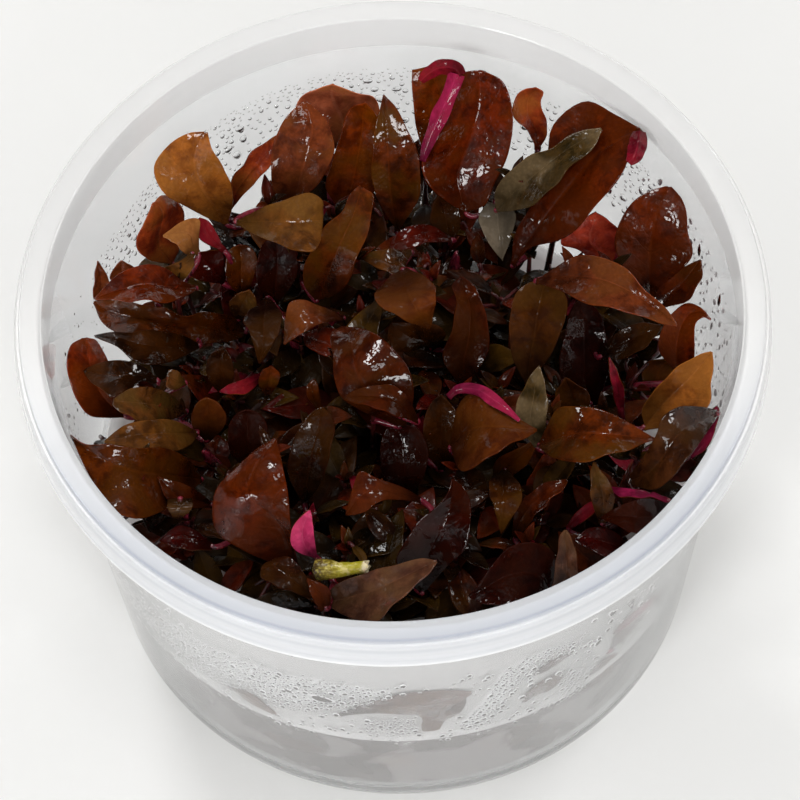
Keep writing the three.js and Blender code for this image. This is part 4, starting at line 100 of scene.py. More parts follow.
    ("B30", "", "U", "tan", [13.02, -14.66, 44.03, 13.28, -14.66, 44, 13.65, -14.7, 44.03, 12.02, -16.69, 46.59, 13.02, -17.09, 46.44, 14.26, -17.11, 46.59, 11.09, -19.04, 48.85, 12.78, -19.62, 48.61, 14.98, -19.62, 48.85, 11.17, -21.34, 50.12, 12.75, -21.72, 49.82, 15.07, -21.94, 50.12, 11.42, -22.96, 50.2, 12.71, -23.2, 49.91, 14.55, -23.54, 50.2, 11.75, -23.94, 49.11, 12.58, -24.06, 48.88, 13.7, -24.28, 49.11, 12.04, -24.27, 47.18, 12.48, -24.31, 47.04, 13.01, -24.43, 47.18, 12.29, -24.2, 45.03, 12.41, -24.19, 45, 12.47, -24.21, 45.03]),
    ("B67", "leaf_33", "U", "darkbrown", [18.26, -31.51, 42.53, 18.01, -31.58, 42.42, 17.75, -31.74, 42.48, 18.83, -29.96, 44.31, 17.68, -31.21, 43.82, 16.51, -32.86, 44.11, 18.65, -27.76, 46.06, 16.83, -30.57, 45.25, 14.98, -34.03, 45.73, 16.06, -26.93, 47.36, 14.74, -30.58, 46.37, 13.38, -35.02, 46.95, 13.11, -27.92, 48.06, 12.47, -31.44, 47.08, 11.79, -35.73, 47.66, 10.92, -30.31, 48.17, 10.58, -32.67, 47.39, 10.22, -35.66, 47.85, 9.31, -32.47, 47.78, 9.13, -33.51, 47.32, 8.94, -34.93, 47.59, 7.85, -33.79, 47.15, 7.9, -33.95, 47.04, 7.95, -34.19, 47.11]),
    ("B69", "", "U", "mauve", [18.08, -32.36, 43.65, 18.83, -32.37, 43.59, 19.57, -32.44, 43.65, 18.28, -31.9, 44.86, 19.31, -31.92, 44.56, 20.32, -32.25, 44.86, 18.53, -31.24, 46.18, 19.89, -31.3, 45.7, 21.22, -31.87, 46.18, 18.78, -30.43, 47.4, 20.18, -30.39, 46.81, 21.53, -30.98, 47.4, 19.01, -29.5, 48.4, 20.2, -29.4, 47.82, 21.35, -29.91, 48.4, 19.22, -28.46, 49.2, 20.19, -28.35, 48.73, 21.13, -28.75, 49.2, 19.49, -27.48, 49.72, 20.17, -27.42, 49.44, 20.82, -27.67, 49.72, 20.08, -26.86, 50.01, 20.2, -26.83, 49.95, 20.32, -26.87, 50.01]),
    ("B70", "", "U", "darkred", [28.68, -25.23, 41.66, 28.41, -25.55, 41.62, 28.13, -25.91, 41.66, 27.96, -24.66, 42.15, 27.62, -25.44, 41.95, 27.26, -26.42, 42.15, 27.08, -23.87, 42.62, 26.65, -25.25, 42.29, 26.18, -26.97, 42.62, 25.95, -23.22, 42.95, 25.51, -24.91, 42.56, 25.03, -27.03, 42.95, 24.63, -22.97, 43.1, 24.35, -24.53, 42.72, 24.02, -26.49, 43.1, 23.29, -23.09, 43.08, 23.18, -24.29, 42.77, 23.05, -25.81, 43.08, 22.29, -23.73, 42.93, 22.26, -24.34, 42.74, 22.2, -25.15, 42.92, 21.56, -24.28, 42.7, 21.56, -24.4, 42.66, 21.54, -24.56, 42.7]),
    ("B71", "leaf_34", "U", "darkbrown", [33.11, -23.19, 49.02, 32.76, -24.61, 48.94, 32.41, -26.12, 49.03, 31.98, -23.77, 50.69, 31.7, -25.45, 50.3, 31.37, -27.54, 50.7, 30.62, -24.19, 52.17, 30.41, -26.24, 51.53, 30.12, -28.98, 52.18, 29.17, -24.68, 53.02, 29.01, -26.71, 52.24, 28.76, -29.58, 53.03, 27.81, -25.19, 53.11, 27.75, -26.62, 52.34, 27.6, -28.88, 53.12, 26.51, -25.37, 52.44, 26.51, -26.28, 51.82, 26.45, -27.85, 52.44, 25.46, -25.33, 51.23, 25.48, -25.78, 50.86, 25.45, -26.63, 51.23, 24.7, -25.19, 49.87, 24.7, -25.28, 49.78, 24.68, -25.47, 49.87]),
    ("B72", "", "D", "magenta", [33.22, -22.12, 48.1, 33.2, -22.32, 48.08, 33.18, -22.57, 48.14, 32.39, -21.86, 48.43, 32.34, -22.07, 48.33, 32.26, -22.46, 48.57, 31.35, -21.44, 48.63, 31.26, -21.68, 48.47, 31.13, -22.23, 48.88, 30.21, -21.04, 48.63, 30.06, -21.39, 48.43, 29.88, -22.12, 48.92, 29.04, -20.63, 48.38, 28.86, -21.16, 48.19, 28.63, -22.05, 48.67, 27.88, -20.14, 47.89, 27.67, -20.71, 47.73, 27.42, -21.57, 48.12, 26.87, -19.63, 47.26, 26.73, -19.97, 47.17, 26.57, -20.48, 47.4, 26.08, -19.16, 46.64, 26.08, -19.22, 46.62, 26.07, -19.32, 46.67]),
    ("B73", "", "U", "oliveamber", [24.77, -22.84, 43.95, 25.08, -22.82, 43.88, 25.39, -22.87, 43.95, 24.38, -22.68, 45.52, 25.14, -22.53, 45.23, 25.86, -22.71, 45.52, 23.95, -22.34, 47.23, 25.21, -22.08, 46.75, 26.43, -22.36, 47.23, 23.72, -21.76, 48.76, 25.2, -21.4, 48.17, 26.63, -21.68, 48.76, 23.66, -21, 49.97, 24.95, -20.61, 49.39, 26.19, -20.85, 49.97, 23.66, -20.06, 50.87, 24.58, -19.79, 50.4, 25.44, -20.03, 50.87, 23.86, -19.13, 51.4, 24.36, -18.99, 51.12, 24.82, -19.15, 51.4, 24.17, -18.34, 51.64, 24.26, -18.31, 51.57, 24.35, -18.35, 51.64]),
    ("B74", "", "D", "crimson", [20.65, -21.08, 40.03, 21.02, -21.22, 40, 21.39, -21.4, 40.03, 20.98, -20.9, 40.72, 21.43, -21.09, 40.57, 21.88, -21.44, 40.72, 21.39, -20.61, 41.45, 21.95, -20.89, 41.2, 22.49, -21.43, 41.45, 21.9, -20.28, 42.07, 22.54, -20.63, 41.78, 23.14, -21.3, 42.07, 22.49, -19.95, 42.54, 23.15, -20.35, 42.25, 23.78, -21.06, 42.54, 23.13, -19.59, 42.86, 23.73, -19.97, 42.62, 24.32, -20.6, 42.86, 23.73, -19.28, 43.01, 24.07, -19.52, 42.87, 24.4, -19.91, 43.01, 24.26, -19.16, 43.03, 24.32, -19.22, 43, 24.38, -19.31, 43.03]),
    ("B75", "", "D", "oliveRed", [13.77, -22.16, 40.04, 14.2, -22.23, 40, 14.64, -22.37, 40.09, 13.93, -21.69, 42, 14.64, -21.94, 41.8, 15.32, -22.5, 42.2, 14.22, -20.91, 44.06, 15.21, -21.41, 43.74, 16.18, -22.43, 44.39, 15.19, -20.18, 45.79, 16.19, -20.83, 45.4, 17.15, -22.11, 46.19, 16.55, -19.56, 47.04, 17.39, -20.23, 46.66, 18.18, -21.54, 47.43, 18.06, -18.9, 47.81, 18.73, -19.63, 47.5, 19.37, -20.87, 48.12, 19.6, -18.74, 48.09, 20.01, -19.22, 47.9, 20.41, -20.01, 48.28, 20.83, -18.59, 48.04, 20.92, -18.72, 48, 21, -18.91, 48.09]),
    ("B76", "", "U", "amberbrown", [11.83, -12.71, 37.49, 12.14, -12.92, 37.44, 12.45, -13.18, 37.49, 11.92, -12.16, 38.6, 12.59, -12.58, 38.35, 13.25, -13.27, 38.59, 12.1, -11.4, 39.82, 13.2, -12.13, 39.41, 14.26, -13.31, 39.81, 13.02, -10.94, 40.94, 14.17, -11.78, 40.44, 15.3, -13.16, 40.93, 14.26, -10.87, 41.86, 15.25, -11.52, 41.38, 16.21, -12.72, 41.86, 15.5, -10.66, 42.6, 16.23, -11.1, 42.2, 16.94, -11.97, 42.59, 16.59, -10.41, 43.08, 16.98, -10.62, 42.85, 17.35, -11.09, 43.08, 17.45, -10.15, 43.35, 17.54, -10.2, 43.3, 17.63, -10.31, 43.35]),
    ("B1", "leaf_35", "U", "redorange", [-28.74, 21.87, 38.16, -28.75, 22.13, 38, -28.63, 22.19, 37.89, -29.98, 20.92, 40.27, -29.37, 22.2, 39.53, -27.88, 23.02, 39.04, -31.52, 19.93, 42.58, -30.03, 22.4, 41.36, -27.18, 24.12, 40.55, -32.69, 19.97, 44.69, -30.07, 22.94, 43.22, -26.78, 25.36, 42.24, -32.5, 21.02, 46.43, -29.79, 23.54, 44.97, -26.82, 26.57, 44, -31.79, 22.16, 47.79, -29.32, 24.14, 46.63, -27.95, 27.19, 45.85, -30.99, 23.24, 48.68, -29.59, 24.6, 47.99, -29.43, 26.59, 47.52, -30.48, 24.3, 49.16, -30.43, 24.48, 49, -30.31, 24.62, 48.89]),
    ("B2", "", "U", "gold", [-24.88, 18.42, 45.84, -24.82, 18.61, 45.77, -24.74, 18.72, 45.84, -25.45, 17.67, 46.96, -25.06, 18.72, 46.66, -24.63, 19.39, 46.96, -26.18, 17.01, 48.1, -25.37, 19.01, 47.61, -24.51, 20.4, 48.1, -26.78, 17.07, 49.02, -25.62, 19.73, 48.43, -24.38, 21.65, 49.02, -27.29, 17.48, 49.62, -26.54, 19.84, 49.04, -25.72, 21.47, 49.62, -27.91, 17.97, 49.91, -27.54, 19.55, 49.44, -27.11, 20.54, 49.91, -28.55, 18.42, 49.91, -28.41, 19.22, 49.63, -28.23, 19.67, 49.91, -29.08, 18.88, 49.73, -29.08, 18.99, 49.66, -29.08, 19.03, 49.73]),
    ("B3", "", "D", "crimson", [-21.59, 19.9, 43.93, -21.46, 19.91, 43.9, -21.33, 19.88, 43.93, -22.23, 19.86, 44.55, -21.92, 20.15, 44.4, -21.59, 20.24, 44.55, -23.05, 19.84, 45.27, -22.5, 20.43, 45.03, -21.92, 20.72, 45.27, -23.89, 19.92, 46, -23.11, 20.77, 45.7, -22.3, 21.25, 46, -24.53, 20.33, 46.66, -23.62, 21.25, 46.37, -22.69, 21.81, 46.66, -24.67, 21.07, 47.28, -23.93, 21.85, 47.04, -23.17, 22.34, 47.28, -24.6, 21.76, 47.77, -24.22, 22.23, 47.63, -23.83, 22.52, 47.77, -24.54, 22.33, 48.13, -24.48, 22.46, 48.09, -24.41, 22.55, 48.13]),
    ("B4", "", "D", "darkred", [-22.18, 18, 38.85, -21.92, 18.17, 38.81, -21.65, 18.28, 38.85, -23.03, 17.6, 39.82, -22.33, 18.27, 39.63, -21.62, 18.69, 39.82, -24.08, 17.21, 40.89, -22.86, 18.44, 40.57, -21.61, 19.28, 40.9, -25.2, 16.97, 41.87, -23.44, 18.73, 41.48, -21.64, 20.01, 41.87, -26.13, 17.2, 42.67, -24.1, 19.19, 42.28, -22.03, 20.7, 42.67, -25.87, 18.16, 43.3, -24.51, 19.51, 42.99, -23.11, 20.47, 43.3, -25.43, 19.03, 43.7, -24.77, 19.69, 43.52, -24.08, 20.11, 43.7, -25.11, 19.78, 43.92, -24.98, 19.88, 43.88, -24.85, 19.92, 43.92]),
    ("B5", "", "U", "tanolive", [-25.63, 16.65, 48.73, -25.43, 16.66, 48.69, -25.24, 16.63, 48.73, -26.24, 15.61, 49.62, -25.72, 15.65, 49.42, -25.16, 15.44, 49.62, -27.07, 14.65, 50.26, -26.11, 14.66, 49.94, -25.11, 14.26, 50.26, -28.05, 14.19, 50.38, -26.71, 14.04, 49.99, -25.32, 13.4, 50.38, -28.96, 13.88, 49.92, -27.37, 13.69, 49.53, -25.73, 13.01, 49.92, -28.62, 13.42, 48.87, -27.45, 13.42, 48.56, -26.24, 13.04, 48.87, -28.02, 13.54, 47.47, -27.42, 13.61, 47.28, -26.79, 13.44, 47.47, -27.46, 14, 46.05, -27.36, 14.02, 46.01, -27.26, 13.99, 46.05]),
    ("B6", "leaf_36", "U", "amberdark", [-25.14, 12.73, 47.18, -25.15, 12.52, 47.02, -25.02, 12.16, 47.11, -26.7, 12.23, 49.47, -26.65, 11.58, 48.78, -26.31, 9.99, 49.18, -28.36, 12.67, 51.54, -28.53, 10.84, 50.41, -28.12, 8.29, 51.07, -30.56, 12.83, 52.83, -30.55, 10.69, 51.46, -30.17, 7.49, 52.25, -32.91, 12.2, 53.14, -32.63, 10.3, 51.79, -32.27, 7.59, 52.57, -35.09, 11.34, 52.49, -34.71, 10.01, 51.4, -34.44, 8.14, 52.03, -36.75, 10.55, 51.13, -36.53, 9.97, 50.48, -36.39, 8.98, 50.85, -37.97, 10.1, 49.52, -37.99, 10.12, 49.36, -37.98, 9.91, 49.45]),
    ("B10", "leaf_37", "U", "amberbrown", [-19.54, 14.05, 33.48, -19.55, 13.66, 33.37, -19.56, 12.95, 33.51, -21.1, 14.35, 36.63, -21.85, 12.52, 36.13, -22.06, 10.32, 36.81, -23.86, 13.05, 39.75, -24.72, 11.52, 38.93, -25.25, 8.2, 40.05, -27.01, 11.78, 42.11, -27.77, 11.01, 41.12, -28.6, 7.65, 42.49, -30.16, 11.81, 43.47, -30.88, 10.84, 42.5, -31.91, 8.21, 43.85, -33.31, 12.78, 43.83, -34.03, 11.11, 43.05, -35.43, 7.97, 44.13, -36.22, 13.56, 43.33, -36.73, 12.28, 42.86, -37.65, 10.42, 43.51, -38.57, 14.11, 42.38, -38.7, 14.03, 42.27, -38.69, 13.79, 42.43]),
    ("B8", "", "U", "greybrown", [-37.13, 15.49, 39.24, -36.87, 15.51, 39.19, -36.6, 15.47, 39.24, -37.83, 15.01, 40.47, -37.2, 15.4, 40.28, -36.53, 15.54, 40.48, -38.66, 14.58, 41.99, -37.58, 15.34, 41.64, -36.44, 15.68, 41.96, -38.66, 14.91, 43.48, -37.59, 15.63, 43.08, -36.45, 15.85, 43.48, -38.45, 15.3, 44.92, -37.56, 15.91, 44.53, -36.6, 16.04, 44.92, -38.18, 15.72, 46.29, -37.57, 16.15, 45.98, -36.91, 16.2, 46.29, -37.89, 16.11, 47.43, -37.62, 16.31, 47.24, -37.32, 16.28, 47.43, -37.67, 16.44, 48.28, -37.62, 16.46, 48.24, -37.57, 16.43, 48.28]),
    ("B9", "", "U", "greybrown", [-32.87, 17.33, 39.87, -32.68, 17.35, 39.83, -32.48, 17.31, 39.87, -33.63, 17.06, 40.72, -33.03, 17.4, 40.52, -32.41, 17.48, 40.72, -34.57, 16.74, 41.71, -33.47, 17.44, 41.38, -32.33, 17.74, 41.71, -35.58, 16.47, 42.7, -34.05, 17.49, 42.31, -32.47, 18.01, 42.7, -36.43, 16.58, 43.61, -34.76, 17.55, 43.23, -33.02, 18.03, 43.62, -36.1, 17.27, 44.46, -34.91, 17.81, 44.15, -33.66, 17.97, 44.46, -35.48, 17.72, 45.14, -34.86, 17.97, 44.95, -34.2, 17.98, 45.14, -34.9, 18.02, 45.63, -34.77, 18.04, 45.59, -34.64, 18, 45.63]),
    ("B11", "leaf_38", "U", "darkolive", [-25.23, 7.78, 40.88, -25.24, 7.55, 40.77, -25.25, 7.03, 40.88, -26.49, 7.28, 43.52, -26.75, 6.19, 43.02, -26.74, 4.7, 43.51, -28.28, 6.55, 46.09, -28.64, 4.9, 45.27, -28.66, 2.3, 46.07, -30.35, 5.74, 47.96, -30.68, 4.12, 46.97, -30.81, 0.54, 47.94, -32.47, 5.3, 48.93, -32.72, 4.08, 47.95, -32.84, 1.05, 48.92, -34.64, 5.24, 49, -34.77, 4.71, 48.22, -34.74, 2.68, 48.99, -36.6, 5.52, 48.33, -36.65, 5.31, 47.86, -36.64, 4.22, 48.33, -38.18, 5.98, 47.31, -38.19, 5.9, 47.2, -38.18, 5.76, 47.31]),
    ("B12", "leaf_39", "U", "amberdark", [-34.97, -3.09, 41.71, -34.85, -2.86, 41.56, -34.58, -2.64, 41.67, -36.81, -3.88, 43.07, -35.89, -2.29, 42.38, -34.72, -1.74, 42.87, -39.09, -4.19, 44.45, -37.13, -1.44, 43.32, -35.12, -0.52, 44.13, -40.61, -2.63, 45.6, -38.06, -0.11, 44.23, -35.78, 0.84, 45.21, -41.32, -0.21, 46.39, -38.66, 1.47, 45.03, -36.47, 2.38, 46, -41.8, 2.18, 47.35, -39.07, 3.17, 45.74, -37.19, 4.08, 46.52, -41.26, 4.88, 46.93, -39.31, 4.74, 46.28, -38.04, 5.58, 46.74, -39.76, 5.92, 46.8, -39.51, 6, 46.65, -39.25, 6, 46.75]),
    ("B13", "leaf_40", "U", "darkolive", [-30.37, -0.38, 46.32, -30.38, -0.47, 46.22, -30.38, -0.83, 46.33, -31.08, -0.08, 47.71, -31.39, -0.65, 47.26, -31.6, -1.49, 47.76, -32.26, 0.28, 48.9, -32.7, -0.75, 48.17, -33.05, -2.71, 48.98, -33.78, 0.55, 49.52, -34.17, -1.03, 48.63, -34.39, -4.27, 49.61, -35.42, 0.82, 49.47, -35.68, -0.96, 48.59, -36.05, -4.34, 49.56, -37.11, 1.04, 48.74, -37.22, -0.34, 48.03, -37.57, -2.7, 48.81, -38.57, 1.27, 47.55, -38.59, 0.52, 47.13, -38.85, -0.78, 47.59, -39.69, 1.49, 46.24, -39.7, 1.4, 46.14, -39.69, 1.18, 46.25]),
    ("B15", "leaf_41", "U", "oliveamber", [-27.25, 0.05, 37.61, -27.19, -0.19, 37.51, -27.13, -0.55, 37.6, -27.88, -0.73, 40.94, -27.98, -1.65, 40.49, -28.03, -3.09, 40.92, -28.88, -1.52, 44.39, -29.13, -3.09, 43.65, -29.29, -5.49, 44.37, -30.24, -2.36, 47.21, -30.55, -4.24, 46.32, -30.73, -7.15, 47.2, -31.76, -3.09, 49.15, -32.04, -5.03, 48.28, -32.2, -7.97, 49.15, -33.33, -3.9, 50.21, -33.55, -5.53, 49.51, -33.66, -7.97, 50.21, -34.62, -4.72, 50.42, -34.76, -5.7, 50.01, -34.84, -7.17, 50.43, -35.58, -5.25, 50.11, -35.65, -5.63, 50.01, -35.71, -6.12, 50.11]),
    ("B16", "", "U", "oliveamber", [-26.88, -0.11, 45.03, -26.82, -0.32, 45, -26.76, -0.56, 45.03, -27.02, -0.18, 45.72, -27.07, -0.63, 45.57, -27.12, -1.25, 45.72, -27.18, -0.19, 46.45, -27.38, -0.98, 46.2, -27.56, -2.04, 46.45, -27.37, -0.12, 47.07, -27.76, -1.18, 46.78, -28.12, -2.58, 47.07, -27.65, -0.03, 47.54, -28.19, -1.18, 47.25, -28.7, -2.66, 47.54, -28.05, -0.05, 47.86, -28.57, -1.05, 47.62, -29.07, -2.32, 47.86, -28.42, -0.1, 48.01, -28.7, -0.86, 47.87, -28.96, -1.79, 48.01, -28.72, -0.07, 48.03, -28.79, -0.68, 48, -28.86, -1.32, 48.03]),
    ("B19", "leaf_42", "U", "tanolive", [-25.68, -5.32, 41.14, -25.69, -5.56, 41.05, -25.56, -6.06, 41.14, -26.88, -6.05, 43.96, -26.97, -6.99, 43.57, -26.4, -8.94, 43.95, -28.47, -6.72, 46.71, -28.58, -8.39, 46.06, -27.96, -11.11, 46.7, -30.37, -7.71, 48.71, -30.34, -9.34, 47.93, -29.83, -12, 48.71, -32.32, -8.4, 49.75, -32.13, -9.91, 48.97, -31.76, -12.45, 49.75, -34.25, -8.98, 49.82, -33.96, -10.32, 49.2, -33.75, -12.29, 49.82, -35.77, -9.64, 49.1, -35.6, -10.33, 48.72, -35.52, -11.49, 49.1, -36.91, -10.01, 48, -36.92, -10.1, 47.91, -36.91, -10.3, 48]),
    ("B20", "leaf_43", "U", "amberbrown", [-25.3, -11.6, 40.56, -25.32, -11.95, 40.4, -25.19, -12.45, 40.51, -26.32, -11.54, 44.26, -27.25, -13.28, 43.56, -27.18, -16.43, 44.03, -28.33, -11.92, 48, -29.67, -14.65, 46.86, -29.97, -20.38, 47.65, -30.98, -12.94, 50.96, -32.28, -15.71, 49.58, -33.38, -22.85, 50.55, -33.72, -13.85, 52.84, -34.82, -15.77, 51.48, -36.65, -20.78, 50.23, -36.53, -13.96, 53.64, -37.27, -14.91, 52.55, -38.08, -18.75, 53.33, -39.04, -13.4, 53.47, -39.26, -13.38, 52.82, -39.56, -15.38, 53.29, -40.62, -12.72, 54.51, -40.69, -11.84, 52.58, -40.57, -12.28, 52.69]),
    ("B21", "", "U", "oliveRed", [-23.92, -15.97, 41.5, -23.93, -16.36, 41.44, -23.94, -16.83, 41.5, -24.55, -16.1, 43, -24.76, -16.68, 42.7, -24.94, -17.59, 42.99, -25.34, -16.14, 44.6, -25.8, -17.01, 44.11, -26.21, -18.41, 44.59, -26.28, -16.14, 46.01, -26.96, -17.32, 45.42, -27.56, -19.14, 46, -27.34, -16.17, 47.11, -28.08, -17.23, 46.52, -28.75, -18.92, 47.1, -28.45, -16.17, 47.89, -29.02, -16.84, 47.42, -29.53, -18.02, 47.88, -29.43, -16.04, 48.32, -29.7, -16.31, 48.04, -29.94, -16.89, 48.31, -30.2, -15.74, 48.48, -30.2, -15.78, 48.41, -30.2, -15.89, 48.48]),
    ("B22", "", "U", "greyolive", [-29.04, -19.3, 48.59, -27.48, -19.29, 48.57, -25.92, -19.32, 48.59, -29.02, -20.1, 49.34, -27.44, -20.09, 49.24, -25.85, -20.19, 49.34, -29.01, -20.85, 49.83, -27.43, -20.86, 49.67, -25.83, -21.03, 49.83, -28.9, -21.36, 49.84, -27.52, -21.35, 49.64, -26.11, -21.55, 49.84, -28.72, -21.52, 49.29, -27.63, -21.49, 49.09, -26.53, -21.66, 49.29, -28.51, -21.35, 48.19, -27.77, -21.3, 48.04, -27.01, -21.43, 48.19, -28.3, -20.9, 46.78, -27.91, -20.86, 46.69, -27.5, -20.93, 46.78, -28.15, -20.37, 45.38, -28.03, -20.36, 45.36, -27.9, -20.38, 45.38]),
    ("B23", "", "D", "darkred", [-23.89, -23.22, 44.04, -23.9, -23.69, 44, -23.91, -24.21, 44.04, -24.58, -22.76, 44.53, -24.64, -23.5, 44.33, -24.68, -24.44, 44.53, -25.45, -22.14, 44.99, -25.57, -23.23, 44.66, -25.66, -24.66, 44.99, -26.52, -21.58, 45.31, -26.63, -22.95, 44.92, -26.7, -24.73, 45.31, -27.71, -21.3, 45.46, -27.75, -22.71, 45.07, -27.73, -24.54, 45.46, -28.83, -21.81, 45.44, -28.82, -22.82, 45.12, -28.76, -24.15, 45.44, -29.67, -22.51, 45.27, -29.67, -22.99, 45.09, -29.65, -23.68, 45.27, -30.33, -22.99, 45.04, -30.34, -23.08, 45, -30.34, -23.21, 45.04]),
    ("B88", "", "U", "dark", [-10.6, -32.82, 45.2, -10.47, -32.65, 45.14, -10.34, -32.55, 45.2, -11.74, -32.96, 46.53, -11.31, -32.42, 46.23, -10.86, -32.19, 46.53, -13.18, -32.92, 47.76, -12.36, -31.98, 47.27, -11.52, -31.54, 47.76, -14.7, -32.58, 48.57, -13.49, -31.27, 47.98, -12.24, -30.59, 48.57, -16.24, -31.95, 48.87, -14.65, -30.37, 48.29, -13.02, -29.39, 48.87, -17.64, -30.78, 48.64, -15.87, -29.23, 48.18, -14.07, -28.17, 48.65, -17.48, -28.93, 48.03, -16.39, -28.24, 47.75, -15.28, -27.83, 48.03, -16.45, -27.99, 47.26, -16.33, -27.89, 47.19, -16.2, -27.87, 47.26]),
    ("B89", "", "U", "tanred", [-10.47, -35.18, 47.09, -9.84, -34.64, 47.05, -9.2, -34.14, 47.09, -10.71, -34.93, 47.62, -9.95, -34.27, 47.48, -9.17, -33.75, 47.62, -11.03, -34.55, 48.17, -10.08, -33.75, 47.92, -9.12, -33.21, 48.17, -11.34, -34.06, 48.6, -10.38, -33.19, 48.3, -9.41, -32.63, 48.6, -11.59, -33.45, 48.87, -10.82, -32.71, 48.58, -10.04, -32.26, 48.87, -11.76, -32.74, 48.99, -11.27, -32.22, 48.76, -10.76, -31.95, 48.99, -11.9, -32.04, 48.96, -11.65, -31.76, 48.83, -11.4, -31.63, 48.96, -12.02, -31.44, 48.86, -11.95, -31.36, 48.82, -11.89, -31.31, 48.86]),
    ("S1", "", "U", "redtan", [-24.88, -4.5, 37.29, -24.44, -4.48, 37.21, -23.98, -4.55, 37.29, -25.38, -4.7, 38.86, -24.34, -4.54, 38.51, -23.27, -4.76, 38.86, -26, -4.8, 40.54, -24.23, -4.52, 39.98, -22.39, -4.89, 40.54, -26.3, -4.49, 42.03, -24.1, -4.13, 41.34, -21.84, -4.56, 42.02, -26.07, -3.92, 43.17, -24.04, -3.52, 42.49, -21.94, -3.91, 43.17, -25.64, -3.23, 43.99, -24.08, -2.9, 43.45, -22.45, -3.2, 43.99, -24.95, -2.77, 44.44, -24.14, -2.62, 44.11, -23.3, -2.84, 44.43, -24.27, -2.51, 44.6, -24.14, -2.47, 44.52, -24.01, -2.52, 44.6]),
    ("S2", "leaf_44", "U", "darkbrown", [-19.3, -7.62, 34.43, -19.11, -7.58, 34.34, -18.92, -7.64, 34.43, -20.19, -7.67, 36.02, -19.19, -7.36, 35.63, -18.14, -7.49, 36.02, -21.24, -7.47, 37.72, -19.27, -6.92, 37.07, -17.24, -7.1, 37.72, -21.75, -6.6, 39.2, -19.26, -5.99, 38.42, -16.71, -6.27, 39.2, -21.77, -5.42, 40.34, -19.22, -4.84, 39.56, -16.59, -5.14, 40.34, -21.24, -4.16, 41.12, -19.18, -3.68, 40.5, -17.07, -3.92, 41.12, -20.35, -3.18, 41.52, -19.22, -2.93, 41.15, -18.05, -3.11, 41.52, -19.33, -2.83, 41.63, -19.2, -2.79, 41.55, -19.07, -2.85, 41.63]),
    ("S3", "leaf_45", "U", "darkbrown", [0.11, -13.21, 34.72, 0.3, -13.16, 34.62, 0.5, -13.23, 34.72, -0.75, -13.01, 36.55, 0.46, -12.74, 36.11, 1.67, -12.97, 36.55, -1.72, -12.52, 38.54, 0.64, -12.03, 37.81, 2.99, -12.35, 38.54, -2.27, -11.53, 40.32, 0.68, -10.78, 39.43, 3.63, -11.01, 40.32, -2.42, -10.26, 41.72, 0.61, -9.31, 40.85, 3.63, -9.35, 41.72, -2.06, -8.81, 42.75, 0.41, -7.85, 42.06, 2.87, -7.67, 42.76, -1.39, -7.52, 43.37, -0.09, -7.06, 42.95, 1.22, -7.07, 43.37, -0.45, -6.74, 43.63, -0.32, -6.69, 43.54, -0.2, -6.75, 43.63]),
    ("S4", "leaf_46", "U", "darkolive", [5.17, -9.35, 35.23, 5.43, -9.31, 35.14, 5.68, -9.37, 35.23, 4.34, -9.23, 37.15, 5.42, -9.03, 36.76, 6.48, -9.26, 37.15, 3.43, -8.85, 39.27, 5.42, -8.52, 38.63, 7.4, -8.91, 39.27, 3.17, -7.97, 41.2, 5.54, -7.58, 40.42, 7.88, -8.08, 41.2, 3.35, -6.87, 42.78, 5.67, -6.48, 42, 7.96, -6.98, 42.78, 3.82, -5.64, 44.01, 5.66, -5.35, 43.38, 7.49, -5.76, 44.01, 4.61, -4.61, 44.8, 5.64, -4.46, 44.42, 6.66, -4.74, 44.8, 5.55, -4, 45.22, 5.68, -3.96, 45.13, 5.81, -4.01, 45.22]),
    ("S5", "", "U", "darkolive", [4.92, 7.71, 38.07, 4.9, 7.22, 38, 4.88, 6.66, 38.07, 3.88, 6.52, 39.68, 4.88, 6.75, 39.38, 5.88, 6.63, 39.68, 2.59, 5.14, 41.43, 4.7, 6.37, 40.95, 6.81, 7.02, 41.43, 1.22, 3.94, 43.01, 3.57, 6.12, 42.42, 5.92, 7.6, 43.01, -0.08, 3.55, 44.27, 2.07, 5.72, 43.69, 4.22, 7.2, 44.27, -0.66, 4.43, 45.22, 0.93, 5.91, 44.75, 2.52, 6.84, 45.22, -0.67, 5.47, 45.79, 0.18, 6.23, 45.51, 1.03, 6.66, 45.79, -0.4, 6.36, 46.07, -0.26, 6.55, 46, -0.13, 6.65, 46.07]),
    ("S6", "", "U", "tan", [20.79, -6.21, 36.09, 21.44, -6.2, 36, 22.08, -6.28, 36.09, 20.55, -6.17, 38.02, 21.7, -6.01, 37.62, 22.81, -6.29, 38.02, 20.3, -5.96, 40.14, 22.01, -5.66, 39.49, 23.67, -6.1, 40.14, 20.19, -5.54, 42.07, 22.31, -5.08, 41.28, 24.35, -5.53, 42.07, 20.19, -4.92, 43.64, 22.5, -4.33, 42.87, 24.74, -4.63, 43.64, 20.43, -4.14, 44.87, 22.2, -3.61, 44.25, 23.91, -3.79, 44.87, 21.02, -3.46, 45.66, 21.88, -3.18, 45.29, 22.71, -3.34, 45.66, 21.53, -2.84, 46.09, 21.66, -2.8, 46, 21.79, -2.86, 46.09]),
